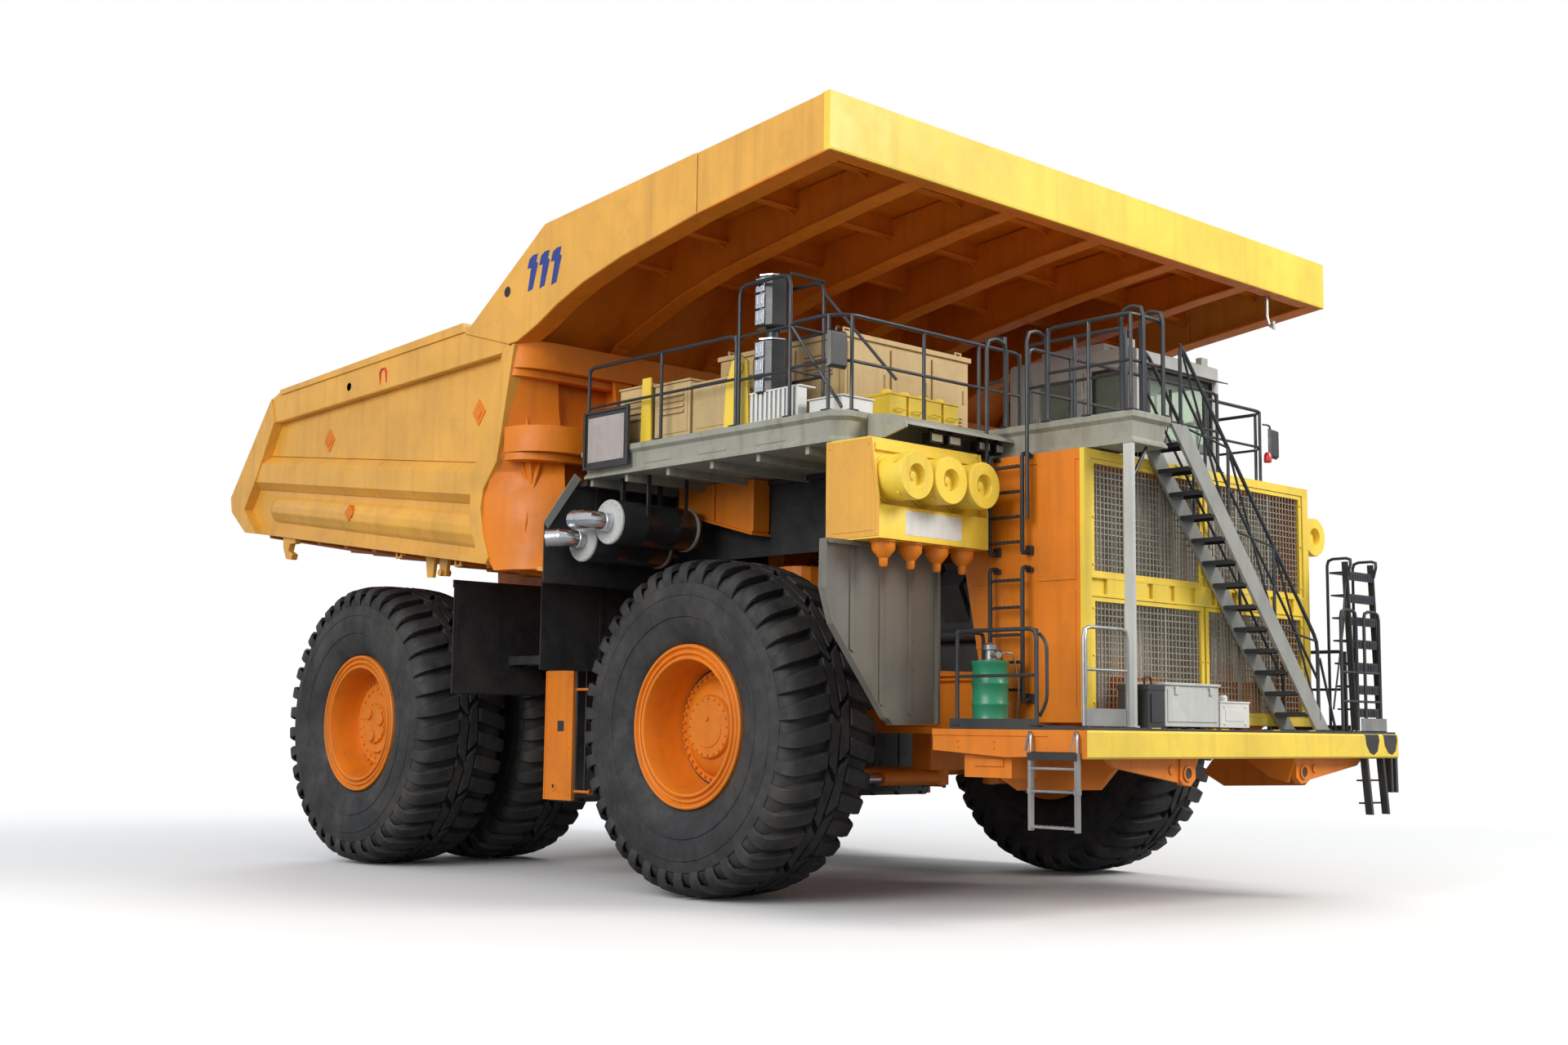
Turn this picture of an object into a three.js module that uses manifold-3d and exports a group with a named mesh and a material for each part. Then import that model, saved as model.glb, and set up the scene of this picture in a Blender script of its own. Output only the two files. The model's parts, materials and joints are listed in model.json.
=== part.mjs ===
// Large rigid-frame mining dump truck, built as separate pieces that carry one another.
// Millimetres, +Z up. The truck drives towards -Y and its left side is +X.
// Inside the group all Y values are counted from the front axle; the group then moves
// so that the part's origin is at the bottom centre of its overall box.

import * as THREE from 'three';
import { mergeVertices } from 'three/addons/utils/BufferGeometryUtils.js';
import Module from 'manifold-3d';

const wasm = await Module();
wasm.setup();

// ---------------------------------------------------------------- driving dimensions

const WHEELBASE = 6890;
const FRONT_OVERHANG = 5180; // front axle to the front of the bumper
const REAR_OVERHANG = 3200; // rear axle to the tail of the bed
const BED_WIDTH = 9900;

const FIT_GAP = 0.3; // between pieces that rest on or are bolted to each other
const SLIDING_GAP = 0.5; // radial, between a rod and the bore it slides in
const TURNING_GAP = 2; // radial, least gap between a shaft and the bore that turns on it
const THRUST_GAP = 0.5; // between the faces that locate a turning piece along its axis
const MOVING_GAP = 5; // between pieces that pass each other

const TYRE_RADIUS = 2000;
const TYRE_WIDTH = 1420;
const TWIN_GAP = 320; // between the two tyres of a rear wheel set
const WHEEL_SIDES = 24;
const PIN_SIDES = 16; // of each pin, each king pin rod and the bores that they turn in
const RIM_BARREL_RADIUS = 820;
const RIM_FLANGE_HEIGHT = 140;
const RIM_HALF_WIDTH = 610;
const RIM_FLANGE_THICKNESS = 60;
const RIM_WALL = 55;
const SPINDLE_RADIUS = 280;
const HUB_REACH = 700; // from a front wheel's centre plane inwards to its hub's end
const HUB_DISC_INSET = 430; // from a rear rim's outer flange in to its disc
const HUB_DISC_THICKNESS = 80;

const KINGPIN_X = 2150;
const STRUT_RADIUS = 300;
const STRUT_ROD_RADIUS = 200;
const STRUT_LENGTH = 1440;
const STRUT_BORE_DEPTH = 740;
const STRUT_TO_TYRE = 260;
const KNUCKLE_RADIUS = 330;
const ARM_THICKNESS = 120;
const STEER_ARM_LENGTH = 850;
const STEER_ROD_RADIUS = 60;
const STEER_BARREL_RADIUS = 95;
const STEER_BARREL_LENGTH = 1100;
const STEER_FRAME_PIN_X = 500;
const STEER_PIN_RADIUS = 50;
const STEER_EYE_RADIUS = 110;

const RAIL_INNER_X = 800;
const RAIL_OUTER_X = 1250;
const RAIL_FRONT_DEPTH = 800;
const RAIL_REAR_DEPTH = 700;
const RAIL_FRONT_END = -4430;
const AXLE_TO_RAIL = 100; // from the axle box up to the frame rails
const AXLE_BOX_RADIUS = 950;
const AXLE_BOX_HALF = 1230;
const MOTOR_RADIUS = 700;

const PIVOT_SETBACK = 1550; // rear axle to the bed's pivot
const PIVOT_PIN_RADIUS = 120;
const HOIST_X = 1600;
const HOIST_TO_TYRE = 740; // from the rear tyres' front edge forward to the hoist feet
const HOIST_LEAN = 300; // how far the top of a hoist cylinder stands ahead of its foot
const HOIST_BARREL_LENGTH = 2100;
const HOIST_BARREL_RADIUS = 200;
const HOIST_STAGE_RADIUS = 160;
const HOIST_ROD_RADIUS = 120;
const HOIST_PIN_RADIUS = 100;
const HOIST_EYE_WIDTH = 300;

const BUMPER_HALF_WIDTH = 3140;
const BUMPER_DEPTH = 290;
const BUMPER_BEAM = 460; // front to back
const BUMPER_REAR_Y = -3090;
const TREAD_PLATE = 40;

const GRILLE_Y = -4440;
const GRILLE_THICKNESS = 60;
const RADIATOR_HALF_WIDTH = 2280;
const RADIATOR_REAR_Y = -2990;
const RADIATOR_WALL = 90;

const DECK_TO_TYRE = 1070; // from the top of the front tyres up to the decks
const DECK_THICKNESS = 350;
const DECK_HALF_WIDTH = 4300;
const DECK_FRONT_Y = -2800;
const DECK_REAR_Y = 1800;
const DECK_INNER_X = 1000;
const DECK_CORNER = 180;
const DECK_BEAM_REACH = 2600;
const HANDRAIL_HEIGHT = 1080;
const TUBE_RADIUS = 24;

const STAIR_TOP_X = -1400;
const STAIR_FOOT_X = 1480;
const STAIR_OUTER_Y = -5020;
const STAIR_TREADS = 13;
const LANDING_RIGHT_X = -2100;

const CAB_INNER_X = 2000;
const CAB_OUTER_X = 3950;
const CAB_FRONT_Y = -2150;
const CAB_REAR_Y = 50;
const CAB_HEIGHT = 1780;
const CAB_WALL = 80;
const CAB_ROOF = 120;
const CAB_SILL = 650;
const WINDOW_MARGIN = 150;
const GLASS_THICKNESS = 12;
const DOOR_WIDTH = 900;
const DOOR_SETBACK = 900; // from the cab's front to the doorway
const HINGE_OFFSET = 25; // from the cab's side out to the door's hinge axis
const HINGE_RADIUS = 22;
const HINGE_LENGTH = 90;

const TANK_TO_HOIST = 90;
const TANK_LENGTH = 660;
const TANK_HEIGHT = 2100;
const FLAP_TO_TYRE = 320;

const FLOOR_RISE = 720; // from the middle of the frame rails up to the bed's floor
const CANOPY_TO_CAB = 810; // from the cab's roof up to the canopy's front edge
const CANOPY_PLATE = 650; // height of the canopy's front plate
const FLOOR_SLOPE = 0.135;
const FLOOR_DATUM_Y = 4000;
const FLOOR_THICKNESS = 200;
const WALL_THICKNESS = 300;
const BED_FRONT_Y = 1950;
const TAIL_LENGTH = 530; // of the kicked-up tail
const CANOPY_FRONT_Y = -3270;

// ---------------------------------------------------------------- levels and stations

const AXLE_Z = TYRE_RADIUS;
const RIM_FLANGE_RADIUS = RIM_BARREL_RADIUS + RIM_FLANGE_HEIGHT;
const RAIL_FRONT_BOTTOM = AXLE_Z - 50;
const RAIL_FRONT_TOP = RAIL_FRONT_BOTTOM + RAIL_FRONT_DEPTH;
const RAIL_REAR_BOTTOM = AXLE_Z + AXLE_BOX_RADIUS + AXLE_TO_RAIL;
const RAIL_REAR_TOP = RAIL_REAR_BOTTOM + RAIL_REAR_DEPTH;
const RAIL_MID_TOP = RAIL_REAR_TOP - 300;
const BUMPER_TOP = RAIL_FRONT_BOTTOM + 60;
const BUMPER_BOTTOM = BUMPER_TOP - BUMPER_DEPTH;
const TREAD_TOP = BUMPER_TOP + TREAD_PLATE;
const DECK_BOTTOM = AXLE_Z + TYRE_RADIUS + DECK_TO_TYRE;
const DECK_TOP = DECK_BOTTOM + DECK_THICKNESS;
const RADIATOR_TOP = DECK_BOTTOM - 30;
const RADIATOR_BOTTOM = BUMPER_TOP + 80;
const CAB_FLOOR = DECK_TOP + FIT_GAP;
const CAB_TOP = DECK_TOP + CAB_HEIGHT;
const FLOOR_Z = RAIL_MID_TOP + FLOOR_RISE;
const LIP_Z = CAB_TOP + CANOPY_TO_CAB; // lower edge of the canopy's front plate
const CREST_Z = LIP_Z + CANOPY_PLATE; // top of the canopy
const SEAM_FRONT_Z = LIP_Z - 1200; // where the bed's sides meet the canopy
const SEAM_REAR_Z = LIP_Z - 910;

const REAR_AXLE_Y = WHEELBASE;
const TAIL_Y = REAR_AXLE_Y + REAR_OVERHANG;
const LENGTH = FRONT_OVERHANG + TAIL_Y;
const PIVOT_Y = REAR_AXLE_Y + PIVOT_SETBACK;
const PIVOT_Z = RAIL_REAR_BOTTOM + 250;
const RAIL_REAR_END = PIVOT_Y + 410;
const BUMPER_FRONT_Y = -FRONT_OVERHANG;
const STAIR_INNER_Y = GRILLE_Y - 80;
const HOIST_FOOT_Y = REAR_AXLE_Y - TYRE_RADIUS - HOIST_TO_TYRE;
const HOIST_FOOT_Z = AXLE_Z - 550;
const HOIST_TOP_Y = HOIST_FOOT_Y - HOIST_LEAN;
const HOIST_TOP_Z = FLOOR_Z - 320;
const TANK_REAR_Y = HOIST_TOP_Y - HOIST_BARREL_RADIUS - TANK_TO_HOIST;
const TANK_FRONT_Y = TANK_REAR_Y - TANK_LENGTH;
const TANK_TOP = RAIL_MID_TOP - 350;
const FLAP_Y = REAR_AXLE_Y - TYRE_RADIUS - FLAP_TO_TYRE;

const HALF_BED = BED_WIDTH / 2;
const WALL_X = HALF_BED - WALL_THICKNESS;
const FRONT_WHEEL_X = KINGPIN_X + STRUT_RADIUS + STRUT_TO_TYRE + TYRE_WIDTH / 2;
const TWIN_SPACING = TYRE_WIDTH + TWIN_GAP;
const REAR_INNER_WHEEL_X = RAIL_OUTER_X + 90 + TYRE_WIDTH / 2;
const REAR_OUTER_WHEEL_X = REAR_INNER_WHEEL_X + TWIN_SPACING;

// ---------------------------------------------------------------- colours

const finish = (color, roughness = 0.5, metalness = 0) =>
  new THREE.MeshStandardMaterial({ color, roughness, metalness });

const BODY_PAINT = finish(0xe39a1c, 0.45);
const DEEP_ORANGE = finish(0xd9720f, 0.5);
const BRIGHT_YELLOW = finish(0xf2c521, 0.45);
const DECK_GREY = finish(0x8b8c80, 0.7);
const CREAM = finish(0xe6cf96, 0.55);
const BLACK = finish(0x1c1d1f, 0.6);
const RAIL_BLACK = finish(0x24272b, 0.45);
const RUBBER = finish(0x26272a, 0.85);
const CHROME = finish(0xc9ccd0, 0.15, 1);
const LIGHT_GREY = finish(0xb9b8b0, 0.55);
const CAB_GREY = finish(0xbfc0bb, 0.5);
const GLASS = finish(0x9db8ae, 0.1);
const ENGINE_GREY = finish(0x5a5d60, 0.6, 0.4);
const BARREL_GREEN = finish(0x1f8a5b, 0.4);

// ---------------------------------------------------------------- shape helpers

function solidOf(geometry) {
  const bare = geometry.clone();
  bare.deleteAttribute('normal');
  bare.deleteAttribute('uv');
  const merged = mergeVertices(bare, 1e-4);
  const mesh = new wasm.Mesh({
    numProp: 3,
    vertProperties: Float32Array.from(merged.attributes.position.array),
    triVerts: Uint32Array.from(merged.index.array),
  });
  return new wasm.Manifold(mesh);
}

function geometryOf(solid) {
  const mesh = solid.getMesh();
  const geometry = new THREE.BufferGeometry();
  geometry.setAttribute('position', new THREE.BufferAttribute(mesh.vertProperties, 3));
  geometry.setIndex(new THREE.BufferAttribute(mesh.triVerts, 1));
  return geometry;
}

const join = (parts) =>
  geometryOf(parts.map(solidOf).reduce((whole, piece) => whole.add(piece)));

const cut = (geometry, tools) =>
  geometryOf(tools.map(solidOf).reduce((whole, tool) => whole.subtract(tool), solidOf(geometry)));

function box(x0, x1, y0, y1, z0, z1) {
  const geometry = new THREE.BoxGeometry(x1 - x0, y1 - y0, z1 - z0);
  return geometry.translate((x0 + x1) / 2, (y0 + y1) / 2, (z0 + z1) / 2);
}

const outline = (points) => new THREE.Shape(points.map(([a, b]) => new THREE.Vector2(a, b)));

const extrude = (points, depth) =>
  new THREE.ExtrudeGeometry(outline(points), { depth, bevelEnabled: false });

// An outline of [y, z] points, swept along X from x0 to x1.
function prismX(points, x0, x1) {
  const turn = new THREE.Matrix4().set(0, 0, 1, x0, 1, 0, 0, 0, 0, 1, 0, 0, 0, 0, 0, 1);
  return extrude(points, x1 - x0).applyMatrix4(turn);
}

// An outline of [x, z] points, swept along Y from y0 to y1.
function prismY(points, y0, y1) {
  return extrude(points, y1 - y0).rotateX(Math.PI / 2).translate(0, y1, 0);
}

// An outline of [x, y] points, swept along Z from z0 to z1.
function prismZ(points, z0, z1) {
  return extrude(points, z1 - z0).translate(0, 0, z0);
}

// A straight bar between two points.
function rod(from, to, radius, sides = 12) {
  const start = new THREE.Vector3(...from);
  const along = new THREE.Vector3(...to).sub(start);
  const geometry = new THREE.CylinderGeometry(radius, radius, along.length(), sides);
  const turn = new THREE.Quaternion();
  turn.setFromUnitVectors(new THREE.Vector3(0, 1, 0), along.clone().normalize());
  const middle = start.addScaledVector(along, 0.5);
  return geometry.applyQuaternion(turn).translate(middle.x, middle.y, middle.z);
}

const rodX = (x0, x1, y, z, radius, sides) => rod([x0, y, z], [x1, y, z], radius, sides);
const rodY = (x, y0, y1, z, radius, sides) => rod([x, y0, z], [x, y1, z], radius, sides);
const rodZ = (x, y, z0, z1, radius, sides) => rod([x, y, z0], [x, y, z1], radius, sides);

// A thin tube of a handrail, from point to point, drawn with four flat sides.
const railTube = (from, to) => rod(from, to, TUBE_RADIUS, 4);

// A closed [distance, radius] profile turned about +Y, with its faces pointing out.
function turned(profile, segments) {
  const points = profile.map(([d, r]) => new THREE.Vector2(r, d));
  if (THREE.ShapeUtils.isClockWise(points)) points.reverse();
  if (profile.every(([, r]) => r > 0)) points.push(points[0].clone());
  return geometryOf(solidOf(new THREE.LatheGeometry(points, segments)));
}

// An [x, radius] profile, turned about the line along X through (y, z).
function turnedX(profile, y, z) {
  return turned(profile, WHEEL_SIDES).rotateZ(-Math.PI / 2).translate(0, y, z);
}

// A [distance, radius] profile, turned about the line from one point to another.
function turnedAlong(profile, from, to, segments = PIN_SIDES) {
  const start = new THREE.Vector3(...from);
  const along = new THREE.Vector3(...to).sub(start).normalize();
  const turn = new THREE.Quaternion().setFromUnitVectors(new THREE.Vector3(0, 1, 0), along);
  return turned(profile, segments).applyQuaternion(turn).translate(start.x, start.y, start.z);
}

// The same shape on the other side of the truck.
function mirrored(geometry) {
  const copy = geometry.index ? geometry.toNonIndexed() : geometry.clone();
  copy.applyMatrix4(new THREE.Matrix4().makeScale(-1, 1, 1));
  const position = copy.attributes.position;
  for (let i = 0; i < position.count; i += 3) {
    const [x, y, z] = [position.getX(i + 1), position.getY(i + 1), position.getZ(i + 1)];
    position.setXYZ(i + 1, position.getX(i + 2), position.getY(i + 2), position.getZ(i + 2));
    position.setXYZ(i + 2, x, y, z);
  }
  copy.deleteAttribute('normal');
  copy.deleteAttribute('uv');
  return mergeVertices(copy, 1e-4);
}

const both = (geometry) => [geometry, mirrored(geometry)];

// Radius of a bore whose flats clear the corners of a many-sided shaft that turns in it.
const boreAround = (shaftRadius, sides) => shaftRadius / Math.cos(Math.PI / sides) + TURNING_GAP;

// Radius of a shaft whose corners clear the flats of a many-sided bore that turns on it.
const shaftInside = (boreRadius, sides) => (boreRadius - TURNING_GAP) * Math.cos(Math.PI / sides);

const truck = new THREE.Group();
truck.position.y = FRONT_OVERHANG - LENGTH / 2;

function add(name, material, geometry) {
  const mesh = new THREE.Mesh(geometry.clone(), material);
  mesh.name = name;
  truck.add(mesh);
}

// Adds a left-hand piece (at +X) and its right-hand mirror image.
function addPair(name, material, leftGeometry) {
  add(`${name}_left`, material, leftGeometry);
  add(`${name}_right`, material, mirrored(leftGeometry));
}

// ---------------------------------------------------------------- wheels

function tyre(centreX, y) {
  const bead = RIM_BARREL_RADIUS + SLIDING_GAP;
  const inside = RIM_HALF_WIDTH - RIM_FLANGE_THICKNESS - MOVING_GAP;
  const half = TYRE_WIDTH / 2;
  const side = [
    [inside, bead], [inside, RIM_FLANGE_RADIUS + MOVING_GAP], [half - 60, RIM_FLANGE_RADIUS + 170],
    [half, TYRE_RADIUS - 550],
    [half - 90, TYRE_RADIUS - 110], [half - 230, TYRE_RADIUS - 15], [half - 460, TYRE_RADIUS],
  ];
  const otherSide = side.map(([x, r]) => [-x, r]).reverse();
  return turnedX([...side, ...otherSide].map(([x, r]) => [x + centreX, r]), y, AXLE_Z);
}

// A rim's section between two flanges, from the outer flange's inner side round to the inner one's.
function rimBarrel(innerX, outerX) {
  const t = RIM_FLANGE_THICKNESS;
  const inside = RIM_BARREL_RADIUS - RIM_WALL;
  return [
    [outerX, inside + 25], [outerX, RIM_FLANGE_RADIUS], [outerX - t, RIM_FLANGE_RADIUS],
    [outerX - t, RIM_BARREL_RADIUS], [innerX + t, RIM_BARREL_RADIUS],
    [innerX + t, RIM_FLANGE_RADIUS], [innerX, RIM_FLANGE_RADIUS], [innerX, inside],
  ];
}

function frontRim() {
  const c = FRONT_WHEEL_X;
  const inside = RIM_BARREL_RADIUS - RIM_WALL;
  const bore = boreAround(SPINDLE_RADIUS, WHEEL_SIDES);
  return turnedX(
    [
      [c + 240, 0], [c + 240, 330], [c + 200, 420], [c + 80, 450], [c + 80, inside],
      ...rimBarrel(c - RIM_HALF_WIDTH, c + RIM_HALF_WIDTH),
      [c - 40, inside], [c - 40, 450], [c - HUB_REACH, 450], [c - HUB_REACH, bore],
      [c + 180, bore], [c + 180, 0],
    ],
    0, AXLE_Z,
  );
}

const REAR_RIM_OUTER = REAR_OUTER_WHEEL_X + RIM_HALF_WIDTH;
const REAR_RIM_INNER = REAR_INNER_WHEEL_X - RIM_HALF_WIDTH;
const REAR_DISC_X = REAR_RIM_OUTER - HUB_DISC_INSET;

function rearRim() {
  const inside = RIM_BARREL_RADIUS - RIM_WALL;
  return turnedX(
    [
      [REAR_DISC_X + 60, 0], [REAR_DISC_X + 60, 560], [REAR_DISC_X, 600], [REAR_DISC_X, inside],
      ...rimBarrel(REAR_RIM_INNER, REAR_RIM_OUTER),
      [REAR_DISC_X - HUB_DISC_THICKNESS, inside], [REAR_DISC_X - HUB_DISC_THICKNESS, 0],
    ],
    REAR_AXLE_Y, AXLE_Z,
  );
}

addPair('front_tyre', RUBBER, tyre(FRONT_WHEEL_X, 0));
addPair('front_rim', DEEP_ORANGE, frontRim());
addPair('rear_outer_tyre', RUBBER, tyre(REAR_OUTER_WHEEL_X, REAR_AXLE_Y));
addPair('rear_inner_tyre', RUBBER, tyre(REAR_INNER_WHEEL_X, REAR_AXLE_Y));
addPair('rear_rim', DEEP_ORANGE, rearRim());

// ---------------------------------------------------------------- front suspension and steering

const STRUT_BOTTOM = AXLE_Z + 560;
const STRUT_TOP = STRUT_BOTTOM + STRUT_LENGTH;
const STRUT_BORE_TOP = STRUT_BOTTOM + STRUT_BORE_DEPTH;
const ARM_BOTTOM = AXLE_Z - 500;
const CYLINDER_Z = ARM_BOTTOM - 100;

function frontStrut() {
  const bore = boreAround(STRUT_ROD_RADIUS, PIN_SIDES);
  const axis = [[KINGPIN_X, 0, 0], [KINGPIN_X, 0, 1]];
  const housing = turnedAlong(
    [
      [STRUT_BORE_TOP, 0], [STRUT_BORE_TOP, bore], [STRUT_BOTTOM, bore],
      [STRUT_BOTTOM, STRUT_RADIUS - 20], [STRUT_BOTTOM + 120, STRUT_RADIUS],
      [STRUT_TOP, STRUT_RADIUS], [STRUT_TOP, 0],
    ],
    ...axis,
  );
  const bracket = box(RAIL_OUTER_X + FIT_GAP, KINGPIN_X - 120, -280, 280,
    STRUT_BOTTOM + 140, STRUT_TOP - 100);
  const boreTool = rodZ(KINGPIN_X, 0, STRUT_BOTTOM - 50, STRUT_BORE_TOP, bore, PIN_SIDES);
  return cut(join([housing, bracket]), [boreTool]);
}

// The strut's rod is part of the knuckle: it turns in the strut as the wheel is steered.
function knuckle() {
  const bottom = AXLE_Z - 700;
  const shoulder = STRUT_BOTTOM - THRUST_GAP;
  const top = STRUT_BORE_TOP - MOVING_GAP;
  const sleeve = turnedAlong(
    [
      [bottom, 0], [bottom, KNUCKLE_RADIUS - 60], [bottom + 80, KNUCKLE_RADIUS],
      [shoulder, KNUCKLE_RADIUS - 50], [shoulder, STRUT_ROD_RADIUS], [top, STRUT_ROD_RADIUS],
      [top, 0],
    ],
    [KINGPIN_X, 0, 0], [KINGPIN_X, 0, 1],
  );
  const hubFace = FRONT_WHEEL_X - HUB_REACH;
  const spindle = rodX(KINGPIN_X, FRONT_WHEEL_X + 175, 0, AXLE_Z, SPINDLE_RADIUS, WHEEL_SIDES);
  const collar = rodX(KINGPIN_X, hubFace - THRUST_GAP, 0, AXLE_Z, SPINDLE_RADIUS + 90, 16);
  const reach = STEER_ARM_LENGTH + STEER_EYE_RADIUS;
  const arm = prismZ(
    [
      [KINGPIN_X - 150, -reach], [KINGPIN_X + 150, -reach], [KINGPIN_X + 220, 0],
      [KINGPIN_X + 150, reach], [KINGPIN_X - 150, reach], [KINGPIN_X - 220, 0],
    ],
    ARM_BOTTOM, ARM_BOTTOM + ARM_THICKNESS,
  );
  return join([sleeve, spindle, collar, arm]);
}

function tieRod() {
  const top = ARM_BOTTOM - THRUST_GAP;
  const bar = rodX(-KINGPIN_X, KINGPIN_X, STEER_ARM_LENGTH, top - 70, 60, 10);
  const eye = rodZ(KINGPIN_X, STEER_ARM_LENGTH, top - 140, top, STEER_EYE_RADIUS, 16);
  return join([bar, ...both(eye)]);
}

function steeringBarrel() {
  const y = -STEER_ARM_LENGTH;
  const bore = STEER_ROD_RADIUS + SLIDING_GAP;
  const x = STEER_FRAME_PIN_X;
  const tube = turnedAlong(
    [
      [90, 0], [90, STEER_BARREL_RADIUS], [STEER_BARREL_LENGTH, STEER_BARREL_RADIUS],
      [STEER_BARREL_LENGTH, bore], [150, bore], [150, 0],
    ],
    [x, y, CYLINDER_Z], [x + 1, y, CYLINDER_Z],
  );
  const eye = rodZ(x, y, CYLINDER_Z - 90, ARM_BOTTOM - THRUST_GAP, STEER_EYE_RADIUS, 16);
  const hole = rodZ(x, y, CYLINDER_Z - 100, ARM_BOTTOM + 10,
    boreAround(STEER_PIN_RADIUS, PIN_SIDES), PIN_SIDES);
  return cut(join([tube, eye]), [hole]);
}

function steeringRod() {
  const y = -STEER_ARM_LENGTH;
  const bar = rodX(STEER_FRAME_PIN_X + 600, KINGPIN_X, y, CYLINDER_Z, STEER_ROD_RADIUS, 16);
  const eye = rodZ(KINGPIN_X, y, CYLINDER_Z - 95, ARM_BOTTOM - MOVING_GAP, STEER_EYE_RADIUS, 16);
  return join([bar, eye]);
}

addPair('front_strut', DEEP_ORANGE, frontStrut());
addPair('steering_knuckle', DEEP_ORANGE, knuckle());
add('tie_rod', DEEP_ORANGE, tieRod());
addPair('steering_cylinder', DEEP_ORANGE, steeringBarrel());
addPair('steering_rod', CHROME, steeringRod());

// ---------------------------------------------------------------- main frame

const RAIL_STEP_Y = 1000; // where the rails reach their full height behind the front axle

function railTop(y) {
  const rise = (RAIL_REAR_TOP - RAIL_MID_TOP) / (RAIL_REAR_END - RAIL_STEP_Y);
  return RAIL_MID_TOP + rise * (y - RAIL_STEP_Y);
}

const FRONT_TUBE_Y = -2500;
const FRONT_TUBE_Z = RAIL_FRONT_BOTTOM + 350;
const FRONT_TUBE_RADIUS = 180;
const NOSE_TUBE_Y = REAR_AXLE_Y - 3090;
const NOSE_TUBE_Z = RAIL_MID_TOP - 700;
const NOSE_TUBE_RADIUS = 260;

function mainFrame() {
  const rail = prismX(
    [
      [RAIL_FRONT_END, BUMPER_TOP + FIT_GAP], [BUMPER_REAR_Y + 200, BUMPER_TOP + FIT_GAP],
      [-1700, RAIL_FRONT_BOTTOM], [REAR_AXLE_Y - 3290, RAIL_FRONT_BOTTOM],
      [REAR_AXLE_Y - 1690, RAIL_REAR_BOTTOM], [RAIL_REAR_END, RAIL_REAR_BOTTOM],
      [RAIL_REAR_END, RAIL_REAR_TOP], [RAIL_STEP_Y, RAIL_MID_TOP],
      [-600, RAIL_FRONT_TOP], [RAIL_FRONT_END, RAIL_FRONT_TOP - 150],
    ],
    RAIL_INNER_X, RAIL_OUTER_X,
  );
  const crossTube = (y, z, radius) =>
    rodX(-RAIL_INNER_X - 50, RAIL_INNER_X + 50, y, z, radius, 16);
  const deckPost = (y0, y1, z0) => box(RAIL_INNER_X, RAIL_OUTER_X, y0, y1, z0, DECK_BOTTOM - 200);
  const deckBeam = (y0, y1, depth) => box(-DECK_BEAM_REACH, DECK_BEAM_REACH, y0, y1,
    DECK_BOTTOM - depth, DECK_BOTTOM - FIT_GAP);
  const steerBeam = box(-RAIL_INNER_X - 50, RAIL_INNER_X + 50, -STEER_ARM_LENGTH - 160,
    -STEER_ARM_LENGTH + 160, ARM_BOTTOM, RAIL_FRONT_BOTTOM + 220);
  const steerPin = rodZ(STEER_FRAME_PIN_X, -STEER_ARM_LENGTH, CYLINDER_Z - 100,
    RAIL_FRONT_BOTTOM, STEER_PIN_RADIUS, PIN_SIDES);
  const hoistBracket = prismX(
    [
      [HOIST_FOOT_Y - 450, RAIL_FRONT_BOTTOM + 250], [HOIST_FOOT_Y - 200, HOIST_FOOT_Z - 200],
      [HOIST_FOOT_Y + 200, HOIST_FOOT_Z - 200], [HOIST_FOOT_Y + 300, RAIL_MID_TOP - 750],
      [HOIST_FOOT_Y - 450, RAIL_MID_TOP - 750],
    ],
    RAIL_OUTER_X - 200, RAIL_OUTER_X,
  );
  const hoistPin = rodX(RAIL_OUTER_X - 50, HOIST_X + HOIST_EYE_WIDTH / 2 + 40, HOIST_FOOT_Y,
    HOIST_FOOT_Z, HOIST_PIN_RADIUS, PIN_SIDES);
  const hoistCollar = rodX(RAIL_OUTER_X - 50, HOIST_X - HOIST_EYE_WIDTH / 2 - THRUST_GAP,
    HOIST_FOOT_Y, HOIST_FOOT_Z, HOIST_PIN_RADIUS + 20, 16);
  const pivotPin = rodX(RAIL_INNER_X - 260, RAIL_INNER_X + 50, PIVOT_Y, PIVOT_Z,
    PIVOT_PIN_RADIUS, PIN_SIDES);
  return join([
    ...both(rail),
    crossTube(FRONT_TUBE_Y, FRONT_TUBE_Z, FRONT_TUBE_RADIUS),
    crossTube(NOSE_TUBE_Y, NOSE_TUBE_Z, NOSE_TUBE_RADIUS),
    crossTube(REAR_AXLE_Y + 810, RAIL_REAR_BOTTOM + 350, 220),
    ...both(deckPost(-500, 450, RAIL_FRONT_TOP - 150)),
    ...both(deckPost(1300, 1600, RAIL_MID_TOP - 150)),
    deckBeam(-350, 300, 400),
    deckBeam(1300, 1600, 250),
    steerBeam,
    ...both(steerPin),
    ...both(hoistBracket),
    ...both(hoistPin),
    ...both(hoistCollar),
    ...both(pivotPin),
  ]);
}

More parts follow.
